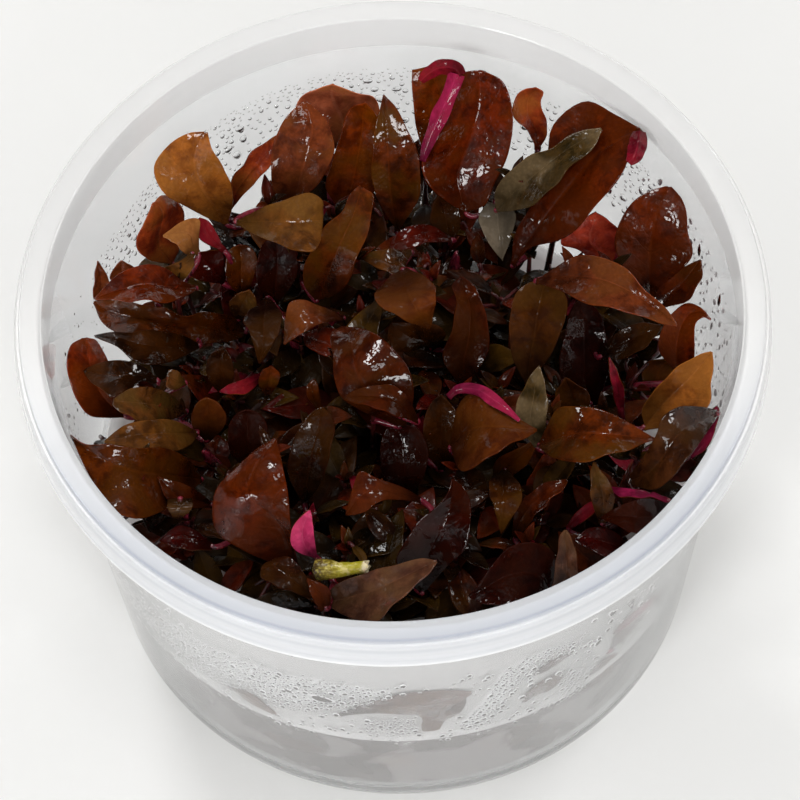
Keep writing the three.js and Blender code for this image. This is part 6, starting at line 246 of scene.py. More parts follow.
# Small leaves: base, direction, upper normal, length, width, droop.
SMALL = [
    [-25.43, -16.95, 24.29, 0.01, 0.7, 0.72, -0.03, -0.72, 0.7, 12.43, 5.37, 0.29],
    [-25.16, -18.56, 23.88, 0.28, -0.91, 0.3, 0.24, 0.38, 0.9, 6.12, 3.13, 0.15],
    [-25, -17.52, 28.34, 0.82, 0.51, 0.24, -0.13, -0.24, 0.96, 12.53, 6.02, 0.33],
    [-25.67, -18.83, 33.16, 0.51, -0.44, 0.74, -0.64, 0.38, 0.67, 11.03, 4.53, 0.08],
    [-26.47, -17.97, 33.28, -0.28, 0.42, 0.86, 0.63, -0.59, 0.49, 8.86, 3.66, 0.18],
    [-25.82, -18.2, 37.12, 0.72, 0.54, 0.43, -0.1, -0.54, 0.84, 8.73, 3.6, 0.15],
    [-27.09, -18.82, 37.52, -0.55, -0.07, 0.83, 0.83, -0.15, 0.53, 6.95, 3.4, 0.34],
    [-27.63, -18.47, 42.09, -0.65, 0.71, 0.28, -0.14, -0.47, 0.87, 7.35, 3.12, 0.28],
    [-26.14, -19.64, 42.12, 0.83, -0.46, 0.3, -0.05, 0.49, 0.87, 6.03, 2.57, 0.1],
    [-27.91, -11.82, 24.64, 0.79, 0.3, 0.53, -0.34, -0.5, 0.8, 10.48, 4.95, 0.16],
    [-29.21, -12.28, 24.96, -0.51, -0.15, 0.84, 0.71, 0.48, 0.52, 10.15, 4.33, 0.18],
    [-30.08, -11.92, 29.74, -0.47, 0.62, 0.63, 0.15, -0.65, 0.75, 9.25, 3.79, 0.24],
    [-29.15, -13.14, 29.76, 0.46, -0.61, 0.65, -0.07, 0.7, 0.71, 10.71, 5.24, 0.21],
    [-31.18, -12.89, 33.65, -0.84, -0.03, 0.54, 0.51, -0.39, 0.77, 5.47, 2.26, 0.16],
    [-29.62, -12.32, 33.55, 0.71, 0.55, 0.44, -0.19, -0.45, 0.87, 8.4, 3.65, 0.19],
    [-30.99, -13.71, 37.47, -0.01, -0.56, 0.83, 0.23, 0.81, 0.55, 8.84, 4.11, 0.31],
    [-31.35, -12.48, 37.28, -0.37, 0.68, 0.64, 0.16, -0.63, 0.76, 9.33, 3.83, 0.19],
    [-32.36, -13.6, 41.64, -0.62, -0.1, 0.78, 0.71, 0.35, 0.61, 7.06, 2.83, 0.24],
    [-32.82, -13.21, 45.7, -0.32, 0.62, 0.71, -0.01, -0.76, 0.65, 3.31, 1.42, 0.32],
    [-32.63, -14.7, 45.47, -0.13, -0.87, 0.48, 0.5, 0.36, 0.79, 6.85, 3.19, 0.06],
    [-24.08, -4.37, 24.7, -0.49, 0.31, 0.81, 0.44, -0.71, 0.54, 7.09, 3.48, 0.33],
    [-22.82, -5.03, 24.44, 0.76, -0.34, 0.56, -0.61, -0.08, 0.79, 7.14, 2.91, 0.22],
    [-24.56, -5.53, 28.81, -0.62, -0.53, 0.57, 0.08, 0.69, 0.72, 8.82, 3.96, 0.23],
    [-23.78, -4.07, 28.6, 0.16, 0.92, 0.36, 0.13, -0.38, 0.92, 9.48, 4.25, 0.12],
    [-23.66, -5.79, 33.08, 0.62, -0.5, 0.61, -0.55, 0.27, 0.79, 12.11, 5.66, 0.16],
    [-25.2, -5.13, 32.83, -0.92, 0.15, 0.35, 0.24, -0.48, 0.84, 12.45, 5.38, 0.09],
    [-25.01, -5.98, 37.39, -0.39, -0.41, 0.82, 0.82, 0.25, 0.51, 8.2, 4.21, 0.06],
    [-27.25, -0.64, 25.24, -0.29, 0.65, 0.7, 0.39, -0.59, 0.71, 7.21, 3.45, 0.22],
    [-26.9, -2.12, 25.08, 0.06, -0.84, 0.54, 0.22, 0.54, 0.81, 12.21, 5.29, 0.1],
    [-28.32, -1.92, 30.09, -0.5, -0.48, 0.72, 0.57, 0.44, 0.69, 9.85, 4.6, 0.22],
    [-27.22, -0.76, 29.8, 0.59, 0.68, 0.43, -0.07, -0.48, 0.87, 7.1, 3, 0.32],
    [-28.34, -2.49, 33.55, 0.16, -0.93, 0.33, 0.15, 0.35, 0.92, 6.77, 3.33, 0.29],
    [-28.63, -0.61, 33.49, -0.13, 0.95, 0.27, -0.14, -0.29, 0.95, 11.12, 5.48, 0.18],
    [-29.72, -2.11, 38.59, -0.41, -0.41, 0.82, 0.42, 0.71, 0.56, 8.51, 3.41, 0.3],
    [-30.59, -1.05, 42.68, -0.47, 0.79, 0.38, 0.41, -0.18, 0.89, 4.1, 1.98, 0.24],
    [-24.26, 5.59, 24.89, 0.63, 0.71, 0.3, -0.38, -0.06, 0.93, 8.68, 3.94, 0.12],
    [-24.86, 4.04, 25.14, 0.03, -0.83, 0.55, 0.1, 0.55, 0.83, 12.41, 6.15, 0.27],
    [-25.79, 5.48, 30.5, -0.46, 0.2, 0.87, 0.53, -0.72, 0.44, 12.38, 5.58, 0.15],
    [-24.51, 5.07, 30.16, 0.82, -0.21, 0.53, -0.57, -0.21, 0.79, 11.84, 5.79, 0.12],
    [-25.91, 4.68, 34.07, -0.22, -0.94, 0.24, 0.16, 0.21, 0.96, 7.91, 3.97, 0.32],
    [-25.46, 6.54, 34.13, 0.23, 0.93, 0.3, 0.07, -0.33, 0.94, 5.58, 2.38, 0.19],
    [-25.41, 5.46, 38.59, 0.64, -0.5, 0.58, -0.63, 0.09, 0.78, 3.92, 1.65, 0.3],
    [-26.87, 6.41, 38.36, -0.82, 0.45, 0.35, 0.22, -0.33, 0.92, 8.68, 4.41, 0.19],
    [-26.64, 11.88, 25.27, -0.02, 0.95, 0.3, 0.11, -0.3, 0.95, 7.33, 3.34, 0.23],
    [-26.38, 10.43, 25.8, 0.24, -0.49, 0.84, -0.09, 0.85, 0.52, 12.19, 5.6, 0.23],
    [-27.84, 11.14, 29.41, -0.96, -0.2, 0.21, 0.13, 0.36, 0.92, 10.97, 5.33, 0.09],
    [-26.43, 11.63, 30.04, 0.46, 0.29, 0.84, -0.48, -0.71, 0.51, 5.41, 2.6, 0.16],
    [-26.72, 11.21, 33.56, 0.39, -0.48, 0.79, -0.16, 0.81, 0.57, 8.21, 3.97, 0.33],
    [-27.33, 12.26, 33.57, -0.22, 0.57, 0.79, 0.17, -0.77, 0.61, 8.08, 3.27, 0.28],
    [-28.13, 11.77, 37.55, -0.75, -0.33, 0.57, 0.52, 0.24, 0.82, 6.54, 2.96, 0.25],
    [-27.71, 13.32, 41.31, -0.1, 0.84, 0.53, -0.04, -0.54, 0.84, 4.78, 2.22, 0.11],
    [-28.8, 13, 45.91, -0.9, 0.07, 0.43, 0.43, 0.28, 0.86, 6.16, 2.7, 0.29],
    [-24.32, 17.86, 25.54, 0.71, 0.04, 0.7, -0.69, 0.14, 0.7, 9.88, 4.85, 0.14],
    [-25.93, 17.75, 25.29, -0.89, -0.07, 0.45, 0.37, 0.46, 0.81, 10.32, 4.48, 0.09],
    [-25.85, 18.54, 29.16, -0.22, 0.57, 0.79, 0.2, -0.77, 0.61, 8.92, 3.75, 0.2],
    [-25.42, 17.38, 29.15, 0.21, -0.59, 0.78, -0.18, 0.76, 0.62, 8.55, 4.15, 0.08],
    [-27.03, 17.72, 32.98, -0.72, -0.43, 0.55, 0.44, 0.33, 0.83, 11.07, 5.33, 0.33],
    [-25.57, 18.33, 33.08, 0.74, 0.18, 0.65, -0.67, 0.31, 0.67, 8.15, 3.5, 0.11],
    [-27.19, 17.65, 37.48, -0.15, -0.68, 0.72, 0.5, 0.57, 0.65, 4.74, 2.12, 0.25],
    [-17.68, -17.63, 23.72, 0.25, 0.75, 0.61, -0.2, -0.58, 0.79, 7.09, 2.85, 0.27],
    [-18, -19.34, 23.38, -0.07, -0.96, 0.27, 0.06, 0.27, 0.96, 5.61, 2.71, 0.22],
    [-18.98, -18.46, 27.63, -0.8, 0.18, 0.58, 0.47, -0.42, 0.78, 8.79, 4.45, 0.17],
    [-17.54, -18.92, 27.76, 0.65, -0.28, 0.71, -0.59, 0.41, 0.7, 10.09, 4.51, 0.08],
    [-18.73, -19.76, 32.3, -0.24, -0.82, 0.53, 0.12, 0.51, 0.85, 5.59, 2.65, 0.29],
    [-18.31, -18, 32.04, 0.18, 0.95, 0.26, -0.39, -0.18, 0.91, 11.58, 5.37, 0.09],
    [-18.22, -19.25, 36.34, 0.51, -0.06, 0.86, -0.86, -0.04, 0.51, 8.88, 3.99, 0.26],
    [-19.55, -19.27, 36.05, -0.81, -0.08, 0.57, 0.57, -0.29, 0.77, 11.94, 4.87, 0.31],
    [-18.91, -18.61, 40.92, 0.15, 0.91, 0.39, -0.41, -0.3, 0.86, 11.21, 4.97, 0.34],
    [-18.83, -20.25, 41.16, 0.23, -0.74, 0.64, -0.47, 0.49, 0.73, 6.08, 2.54, 0.14],
    [-20, -19.98, 45.33, -0.68, -0.2, 0.71, 0.52, 0.55, 0.65, 4.28, 1.88, 0.17],
    [-18.7, -19.21, 45.15, 0.63, 0.57, 0.53, -0.19, -0.54, 0.82, 4.81, 2.24, 0.1],
    [-20.22, -13.01, 25.52, -0.48, 0.28, 0.83, 0.49, -0.69, 0.52, 7.54, 3.42, 0.08],
    [-19.36, -13.63, 25.55, 0.39, -0.34, 0.86, -0.65, 0.56, 0.51, 8.01, 3.32, 0.2],
    [-20.46, -14.19, 30, -0.34, -0.74, 0.58, -0.11, 0.64, 0.76, 10.24, 4.94, 0.05],
    [-19.53, -12.69, 29.71, 0.59, 0.76, 0.28, -0.39, -0.04, 0.92, 8.81, 4.13, 0.07],
    [-20.21, -14.01, 34.97, 0.29, -0.41, 0.86, -0.62, 0.61, 0.5, 9.02, 3.74, 0.19],
    [-21.21, -13.24, 34.72, -0.71, 0.35, 0.61, 0.45, -0.44, 0.78, 7.68, 3.28, 0.28],
    [-20.28, -13.06, 38.35, 0.52, 0.65, 0.55, -0.13, -0.58, 0.8, 6.24, 2.7, 0.31],
    [-21.45, -14.39, 38.14, -0.65, -0.68, 0.34, 0.13, 0.35, 0.93, 9.03, 3.86, 0.25],
    [-20.56, -14.29, 42.08, 0.53, -0.47, 0.71, -0.73, 0.19, 0.66, 6.25, 2.6, 0.28],
    [-21.63, -14.91, 46, -0.19, -0.94, 0.27, 0.18, 0.24, 0.95, 4.44, 2, 0.11],
    [-19.41, -5.2, 25.66, -0.67, 0.68, 0.28, 0.1, -0.29, 0.95, 10.6, 4.57, 0.1],
    [-18.38, -6.34, 26.19, 0.36, -0.46, 0.81, -0.66, 0.5, 0.57, 7.75, 3.38, 0.13],
    [-19.47, -6.57, 29.63, -0.47, -0.6, 0.65, 0.49, 0.43, 0.76, 7.42, 3, 0.25],
    [-18.71, -5.22, 29.58, 0.29, 0.75, 0.6, -0.5, -0.42, 0.76, 9.04, 4.17, 0.11],
    [-18.89, -6.38, 34.27, 0.43, -0.29, 0.85, -0.71, 0.47, 0.52, 12.87, 6.64, 0.07],
    [-20.22, -5.95, 33.83, -0.9, 0.13, 0.41, 0.42, 0.06, 0.91, 12.34, 5.61, 0.24],
    [-19.29, 1.98, 25.55, 0.28, 0.72, 0.64, -0.23, -0.6, 0.77, 9.31, 4.66, 0.15],
    [-19.36, 0.32, 25.17, 0.21, -0.94, 0.27, 0, 0.27, 0.96, 7.65, 3.84, 0.24],
    [-20.43, 1.43, 29.52, -0.5, 0.24, 0.83, 0.86, 0.01, 0.51, 12.35, 5.84, 0.13],
    [-19.23, 1.08, 29.4, 0.69, -0.11, 0.71, -0.69, 0.18, 0.7, 7.35, 3.4, 0.07],
    [-20.57, 0.18, 32.73, -0.28, -0.93, 0.22, 0.22, 0.16, 0.96, 6.83, 3.3, 0.13],
    [-20.42, 1.99, 32.98, -0.13, 0.87, 0.47, 0.42, -0.38, 0.82, 5.42, 2.25, 0.14],
    [-19.81, 0.94, 37.04, 0.85, -0.1, 0.51, -0.52, -0.01, 0.86, 7.24, 3.35, 0.31],
    [-16.93, 5.62, 24.08, -0.2, 0.96, 0.21, 0.04, -0.2, 0.98, 10, 4.76, 0.27],
    [-16.46, 4.11, 24.66, 0.27, -0.55, 0.79, -0.65, 0.5, 0.57, 9.25, 3.82, 0.24],
    [-17.91, 4.53, 27.77, -0.86, -0.29, 0.42, 0.5, -0.31, 0.81, 12.06, 6.03, 0.09],
    [-16.25, 5.35, 27.64, 0.8, 0.53, 0.28, -0.12, -0.32, 0.94, 10.2, 4.86, 0.09],
    [-16.9, 4.45, 32.71, 0.6, -0.59, 0.53, -0.2, 0.53, 0.82, 10.3, 4.98, 0.27],
    [-17.64, 6, 32.43, -0.14, 0.96, 0.25, -0.41, -0.29, 0.86, 4.08, 1.68, 0.12],
    [-17.34, 6.02, 36.4, 0.52, 0.8, 0.29, -0.41, -0.07, 0.91, 11.16, 5.27, 0.18],
    [-18.65, 4.86, 36.6, -0.79, -0.36, 0.5, 0.36, 0.39, 0.85, 6.19, 2.97, 0.29],
    [-19.91, 13.53, 24.57, 0.09, 0.95, 0.3, 0.26, -0.31, 0.91, 11.52, 5.04, 0.11],
    [-19.78, 12.04, 25.08, 0.22, -0.54, 0.81, 0.12, 0.84, 0.53, 10.91, 4.66, 0.12],
    [-21.26, 12.49, 28.75, -0.89, -0.35, 0.29, 0.27, 0.1, 0.96, 11.01, 5.5, 0.21],
    [-19.77, 12.73, 29.25, 0.6, -0.11, 0.79, -0.78, -0.29, 0.55, 7.18, 3.66, 0.23],
    [-20.32, 12.25, 33.16, 0.45, -0.87, 0.22, 0.01, 0.25, 0.97, 6.67, 2.92, 0.31],
    [-20.6, 13.97, 33.44, 0.16, 0.85, 0.5, 0.22, -0.52, 0.82, 11.5, 5.86, 0.09],
    [-17.99, 18.01, 25.44, 0.49, 0.06, 0.87, -0.85, -0.16, 0.5, 7.84, 3.92, 0.19],
    [-19.12, 17.51, 25.2, -0.64, -0.45, 0.63, 0.26, 0.64, 0.72, 8.69, 4.49, 0.06],
    [-19.39, 19.15, 28.87, -0.58, 0.78, 0.23, -0.04, -0.3, 0.95, 9.33, 3.82, 0.32],
    [-18.48, 17.66, 29.28, 0.33, -0.7, 0.63, -0.18, 0.6, 0.78, 8.16, 3.43, 0.17],
    [-19.94, 18.27, 33.51, -0.76, -0.55, 0.36, 0.51, -0.15, 0.85, 7.93, 3.54, 0.21],
    [-18.55, 18.99, 33.91, 0.63, 0.18, 0.76, -0.62, -0.46, 0.63, 8.1, 3.99, 0.14],
    [-19.97, 20.04, 38.02, -0.43, 0.78, 0.45, 0.34, -0.32, 0.89, 8.54, 3.45, 0.33],
    [-9.64, -29.91, 25.36, 0.65, 0.07, 0.76, -0.74, -0.18, 0.65, 10.97, 5.14, 0.15],
    [-10.93, -30.49, 25.18, -0.64, -0.51, 0.57, 0.28, 0.54, 0.79, 7.21, 3.11, 0.1],
    [-10.56, -29.89, 29.71, -0.28, 0.55, 0.79, 0.18, -0.77, 0.61, 7.76, 3.3, 0.09],
    [-10.03, -30.99, 29.72, 0.26, -0.55, 0.8, -0.09, 0.81, 0.58, 7.73, 3.73, 0.12],
    [-11.23, -31.08, 34.28, -0.95, -0.1, 0.28, 0.24, 0.3, 0.92, 6.87, 2.87, 0.21],
    [-9.34, -30.75, 34.25, 0.94, 0.24, 0.25, -0.26, 0.02, 0.96, 11.96, 5.79, 0.34],
    [-9.85, -32.13, 38.85, 0.42, -0.68, 0.59, -0.51, 0.36, 0.78, 9.75, 4.1, 0.26],
    [-10.43, -30.75, 38.95, -0.16, 0.7, 0.7, 0.24, -0.66, 0.71, 5.94, 2.69, 0.08],
    [-9.44, -31.65, 42.91, 0.82, 0.24, 0.52, -0.55, 0.11, 0.83, 7.91, 3.42, 0.32],
    [-11.18, -32.14, 42.73, -0.91, -0.25, 0.33, 0.39, -0.27, 0.88, 10.23, 5.26, 0.27],
    [-15.73, -23.4, 23.79, -0.93, 0.22, 0.3, 0.32, 0.02, 0.95, 9.11, 4.22, 0.14],
    [-14.15, -24.1, 24.07, 0.66, -0.48, 0.58, -0.4, 0.42, 0.81, 11.16, 5.46, 0.25],
    [-14.95, -25.11, 28.67, -0.02, -0.91, 0.41, -0.07, 0.41, 0.91, 9.35, 3.83, 0.23],
    [-14.57, -23.61, 28.98, 0.36, 0.59, 0.72, -0.34, -0.64, 0.69, 7.43, 3.35, 0.21],
    [-14.14, -24.3, 32.4, 0.88, 0.37, 0.3, -0.18, -0.31, 0.93, 9.57, 4.78, 0.32],
    [-15.47, -24.46, 32.97, -0.45, 0.21, 0.87, 0.51, -0.74, 0.44, 9.57, 4.49, 0.17],
    [-14.9, -24.75, 37.98, 0.25, 0.54, 0.8, -0.73, -0.44, 0.53, 8.58, 3.6, 0.17],
    [-15.14, -25.8, 38.04, 0.01, -0.51, 0.86, 0.24, 0.84, 0.49, 7.08, 3.46, 0.31],
    [-16.02, -25.27, 41.04, -0.78, 0.44, 0.44, 0.52, 0.08, 0.85, 7.04, 3.13, 0.24],
    [-14.36, -26.02, 40.98, 0.88, -0.31, 0.38, -0.19, 0.5, 0.84, 5.87, 2.49, 0.28],
    [-15.68, -27.02, 45.04, -0.34, -0.82, 0.46, 0.13, 0.44, 0.89, 3.61, 1.51, 0.2],
    [-10.21, -16.83, 25.45, 0.71, 0.57, 0.4, -0.48, -0.02, 0.88, 9.92, 4.72, 0.27],
    [-11.7, -17.88, 25.46, -0.78, -0.47, 0.41, 0.26, 0.36, 0.9, 7.78, 3.27, 0.16],
    [-11.1, -17.18, 30.19, 0, 0.68, 0.74, -0.09, -0.73, 0.67, 9.68, 4.42, 0.1],
    [-10.74, -18.24, 30.3, 0.36, -0.39, 0.85, -0.67, 0.53, 0.52, 7.55, 3.64, 0.28],
    [-11.94, -18.51, 34.15, -0.68, -0.25, 0.69, 0.68, 0.14, 0.72, 8.77, 4.49, 0.07],
    [-10.45, -18.28, 34.04, 0.81, -0.01, 0.59, -0.59, -0.08, 0.81, 8.54, 4.02, 0.08],
    [-11.54, -19.37, 38.55, -0.1, -0.67, 0.74, 0.4, 0.65, 0.64, 7.91, 4.08, 0.17],
    [-11.07, -17.95, 38.36, 0.37, 0.75, 0.55, -0.44, -0.38, 0.81, 11.91, 6.02, 0.27],
    [-10.79, -19.07, 42.97, 0.83, 0.1, 0.54, -0.54, 0.35, 0.77, 4.82, 1.93, 0.14],
    [-12.52, -19.43, 42.79, -0.9, -0.26, 0.36, 0.39, -0.05, 0.92, 8.54, 3.94, 0.09],
    [-14.51, -10.41, 24.47, -0.01, 0.79, 0.62, 0.19, -0.61, 0.77, 11.57, 5.91, 0.19],
    [-14.64, -11.71, 24.7, -0.14, -0.51, 0.85, -0.23, 0.85, 0.47, 12.24, 5.19, 0.31],
    [-15.63, -10.92, 28.76, -0.82, 0.46, 0.34, 0.46, 0.15, 0.88, 8.73, 3.99, 0.17],
    [-14.01, -11.62, 28.96, 0.8, -0.24, 0.55, -0.45, 0.36, 0.82, 12.4, 5.72, 0.14],
    [-14.94, -12.12, 33, 0.14, -0.58, 0.8, -0.27, 0.75, 0.6, 8.98, 3.82, 0.16],
    [-14.72, -10.71, 32.63, 0.35, 0.83, 0.43, -0.31, -0.34, 0.89, 7.69, 3.22, 0.09],
    [-14.56, -11.17, 36.59, 0.79, 0.54, 0.29, -0.19, -0.24, 0.95, 7.03, 3.38, 0.23],
    [-16.23, -11.88, 36.73, -0.88, -0.17, 0.44, 0.43, 0.05, 0.9, 7.23, 3.46, 0.28],
    [-15.53, -12.53, 40.58, 0.06, -0.68, 0.73, 0.24, 0.72, 0.65, 5.62, 2.26, 0.16],
    [-16.5, -12.78, 44.62, -0.61, -0.74, 0.28, 0.45, -0.03, 0.89, 7.92, 3.7, 0.07],
    [-15.21, -11.45, 44.77, 0.69, 0.59, 0.42, -0.03, -0.56, 0.83, 5.62, 2.39, 0.32],
    [-11.43, -5.7, 25.29, -0.64, 0.34, 0.68, 0.43, -0.58, 0.69, 9.68, 4.89, 0.15],
    [-10.19, -6.56, 25.22, 0.59, -0.52, 0.62, -0.64, 0.16, 0.75, 12.29, 6.39, 0.33],
    [-11.2, -6.56, 28.92, -0.33, -0.61, 0.72, 0.65, 0.41, 0.64, 9.19, 4.09, 0.23],
    [-10.33, -5.24, 28.66, 0.54, 0.7, 0.47, -0.51, -0.17, 0.84, 10.98, 4.8, 0.11],
    [-10.31, -6.5, 33.52, 0.68, -0.68, 0.28, -0.21, 0.19, 0.96, 9.05, 4.25, 0.14],
    [-11.76, -5.27, 33.55, -0.77, 0.55, 0.32, -0.01, -0.51, 0.86, 12.6, 6.15, 0.17],
    [-10.46, -5.21, 37.6, 0.61, 0.51, 0.6, -0.68, -0.06, 0.73, 8.93, 3.86, 0.15],
    [-11.49, -6.25, 37.74, -0.42, -0.52, 0.74, 0.59, 0.46, 0.66, 9.65, 4.87, 0.18],
    [-10.71, -5.86, 42.88, 0.48, -0.27, 0.83, -0.84, 0.13, 0.53, 7.25, 3.13, 0.26],
    [-13.93, 0.81, 25.62, -0.31, 0.89, 0.35, -0.04, -0.38, 0.92, 10.41, 5.29, 0.29],
    [-13.47, -0.66, 26.07, 0.15, -0.58, 0.8, -0.55, 0.62, 0.56, 10.5, 4.83, 0.19],
    [-14.36, -0.15, 29.64, -0.74, -0.28, 0.61, 0.56, 0.25, 0.79, 9.68, 4.86, 0.1],
    [-13.1, 0.17, 29.88, 0.52, 0.04, 0.85, -0.84, -0.14, 0.52, 10.71, 4.89, 0.17],
    [-13.02, -0.4, 33.3, 0.6, -0.76, 0.24, -0.47, -0.09, 0.88, 8.14, 3.73, 0.29],
    [-13.65, 1.07, 33.76, -0.03, 0.71, 0.7, 0.14, -0.69, 0.71, 10.32, 5.16, 0.09],
    [-13.1, 1.36, 37.16, 0.52, 0.79, 0.31, -0.03, -0.35, 0.94, 7.59, 3.89, 0.32],
    [-14.43, 0.16, 37.28, -0.81, -0.41, 0.43, 0.5, -0.07, 0.86, 5.4, 2.69, 0.29],
    [-10.62, 8.38, 23.48, 0.44, 0.8, 0.41, -0.15, -0.39, 0.91, 12.77, 5.47, 0.13],
    [-11.81, 6.98, 23.33, -0.76, -0.6, 0.26, 0.17, 0.22, 0.96, 10.31, 4.87, 0.33],
    [-11.86, 7.7, 28.33, -0.54, 0.15, 0.83, 0.8, -0.2, 0.56, 10.63, 4.72, 0.19],
    [-10.69, 7.08, 28.13, 0.63, -0.47, 0.62, -0.33, 0.57, 0.76, 10.61, 4.6, 0.14],
    [-11.91, 7.21, 32.34, -0.36, -0.3, 0.88, 0.85, 0.28, 0.45, 10.71, 4.58, 0.25],
    [-11.42, 8.34, 32.01, 0.14, 0.82, 0.56, -0.12, -0.54, 0.83, 12.9, 6.07, 0.16],
    [-10.9, 7.38, 35.74, 0.88, -0.12, 0.46, -0.46, 0.05, 0.89, 7.83, 3.86, 0.31],
    [-12.33, 7.54, 36.11, -0.55, 0.05, 0.83, 0.82, 0.23, 0.53, 9.79, 4.62, 0.13],
    [-11.96, 8.42, 39.4, 0.05, 0.96, 0.28, 0.36, -0.27, 0.89, 5.7, 2.47, 0.24],
    [-12.45, 6.71, 39.6, -0.45, -0.76, 0.48, 0.57, 0.17, 0.8, 6.2, 3.08, 0.34],
    [-12.87, 7.47, 43.8, -0.64, 0.04, 0.77, 0.77, 0.07, 0.63, 3.88, 1.67, 0.24],
    [-11.47, 6.89, 43.38, 0.76, -0.54, 0.36, -0.27, 0.23, 0.93, 8.71, 4.39, 0.11],
    [-15.03, 11.9, 24.44, 0, 0.6, 0.8, 0.36, -0.74, 0.56, 7.68, 3.55, 0.16],
    [-15.3, 10.52, 24.2, -0.27, -0.78, 0.56, 0.37, 0.45, 0.81, 11.43, 4.59, 0.18],
    [-16.03, 11.44, 28.32, -0.69, -0.29, 0.67, 0.39, 0.64, 0.67, 7.08, 3.27, 0.26],
    [-14.43, 12.01, 27.95, 0.91, 0.28, 0.3, -0.31, 0, 0.95, 12.23, 5.79, 0.09],
    [-16.03, 11.41, 32.36, -0.36, -0.76, 0.55, 0.26, 0.48, 0.84, 12.78, 5.9, 0.2],
    [-15.31, 13.07, 32.05, 0.36, 0.9, 0.24, -0.12, -0.21, 0.97, 10.78, 4.59, 0.22],
    [-15.07, 12.46, 35.84, 0.89, -0.08, 0.46, -0.45, 0.1, 0.89, 11.28, 4.75, 0.24],
    [-16.23, 12.13, 40.52, 0.09, -0.91, 0.4, -0.35, 0.34, 0.87, 8.2, 3.78, 0.13],
    [-10.45, 17.07, 25.05, -0.33, 0.35, 0.88, 0.28, -0.86, 0.44, 8.86, 4.15, 0.13],
    [-9.32, 16.48, 24.71, 0.8, -0.24, 0.54, -0.58, -0.13, 0.8, 7.5, 3.74, 0.31],
    [-10.71, 16.18, 28.56, -0.22, -0.81, 0.54, 0.24, 0.49, 0.84, 10.51, 4.89, 0.29],
    [-10.2, 17.6, 28.76, 0.3, 0.61, 0.73, -0.38, -0.63, 0.68, 10.08, 5.07, 0.3],
    [-10.33, 16.75, 33.11, 0.6, -0.54, 0.59, -0.21, 0.6, 0.77, 9.91, 4.04, 0.12],
    [-11.52, 17.85, 33.11, -0.59, 0.56, 0.58, 0.54, -0.26, 0.8, 7.59, 3.62, 0.28],
    [-10.64, 17.88, 36.91, 0.65, 0.33, 0.69, -0.66, -0.22, 0.72, 7.23, 2.99, 0.15],
    [-11.94, 17.04, 36.79, -0.65, -0.51, 0.56, 0.1, 0.68, 0.73, 3.33, 1.59, 0.1],
    [-12.41, 18.45, 41.89, -0.63, 0.55, 0.55, 0.44, -0.34, 0.83, 9.06, 4.15, 0.21],
    [-10.83, 17.72, 41.59, 0.95, -0.18, 0.25, -0.15, 0.45, 0.88, 7.38, 3.13, 0.06],
    [-11.9, 18.94, 47.08, 0.38, 0.69, 0.61, -0.55, -0.36, 0.75, 6.45, 3, 0.09],
    [-15.24, 26.13, 25.37, -0.14, 0.94, 0.32, -0.19, -0.34, 0.92, 9.3, 4.28, 0.33],
    [-15.22, 24.33, 25.55, -0.12, -0.86, 0.5, 0.03, 0.5, 0.86, 8.37, 4.18, 0.05],
    [-16.05, 25.52, 30.35, -0.84, -0.01, 0.55, 0.51, -0.37, 0.78, 9.3, 4.29, 0.07],
    [-14.35, 25.41, 30.28, 0.87, -0.13, 0.48, -0.41, 0.36, 0.84, 8.18, 4.03, 0.14],
    [-14.86, 25.38, 34.12, 0.44, -0.41, 0.8, -0.56, 0.58, 0.6, 12.79, 6.51, 0.24],
    [-15.8, 26.27, 34.04, -0.5, 0.48, 0.72, 0.55, -0.46, 0.69, 5.52, 2.32, 0.16],
    [-15.07, 26.55, 38.09, 0.33, 0.47, 0.82, -0.64, -0.53, 0.56, 8.8, 4.15, 0.3],
    [-15.82, 25.73, 38.1, -0.43, -0.35, 0.83, 0.51, 0.67, 0.54, 6.19, 2.68, 0.2],
    [-15.4, 25.46, 41.93, 0.1, -0.93, 0.37, -0.48, 0.28, 0.83, 8.22, 3.87, 0.18],
    [-2.02, -29.16, 26.08, 0.28, 0.58, 0.77, 0.08, -0.81, 0.58, 3.3, 1.61, 0.15],
    [-2.47, -30.34, 26.1, -0.18, -0.59, 0.79, 0.53, 0.61, 0.58, 7.05, 3.19, 0.11],
    [-3.25, -30.07, 30.82, -0.7, 0.29, 0.65, 0.69, 0.03, 0.73, 12.85, 5.97, 0.11],
    [-1.9, -30.72, 30.84, 0.65, -0.35, 0.68, -0.39, 0.61, 0.69, 12.08, 6.05, 0.26],
    [-3.33, -31.75, 35.77, -0.52, -0.72, 0.46, 0.38, 0.28, 0.88, 8.06, 3.55, 0.19],
    [-2.52, -30.36, 36, 0.29, 0.67, 0.68, -0.57, -0.45, 0.69, 9.33, 4.72, 0.13],
    [-2.27, -31.64, 40.24, 0.76, -0.06, 0.65, -0.65, 0.05, 0.76, 4.33, 1.87, 0.13],
    [-3.81, -31.42, 40.2, -0.78, 0.16, 0.61, 0.62, 0.07, 0.78, 10.87, 4.9, 0.11],
    [-3.07, -31.19, 43.97, 0.16, 0.9, 0.42, -0.51, -0.29, 0.81, 10.67, 4.87, 0.29],
    [-3.25, -33.06, 43.77, -0.01, -0.98, 0.22, 0.28, 0.21, 0.94, 7.96, 3.69, 0.16],
    [-2.56, -32.34, 47.78, 0.86, 0.23, 0.45, -0.39, -0.26, 0.88, 5.55, 2.27, 0.24],
    [-7.06, -24.05, 25.39, -0.78, 0.09, 0.62, 0.61, 0.34, 0.71, 7.99, 3.53, 0.26],
    [-5.33, -24.23, 25.04, 0.96, -0.09, 0.28, -0.28, 0.02, 0.96, 9.68, 3.91, 0.08],
    [-6.55, -25.32, 30.05, -0.17, -0.9, 0.41, -0.39, 0.44, 0.81, 9.54, 3.97, 0.28],
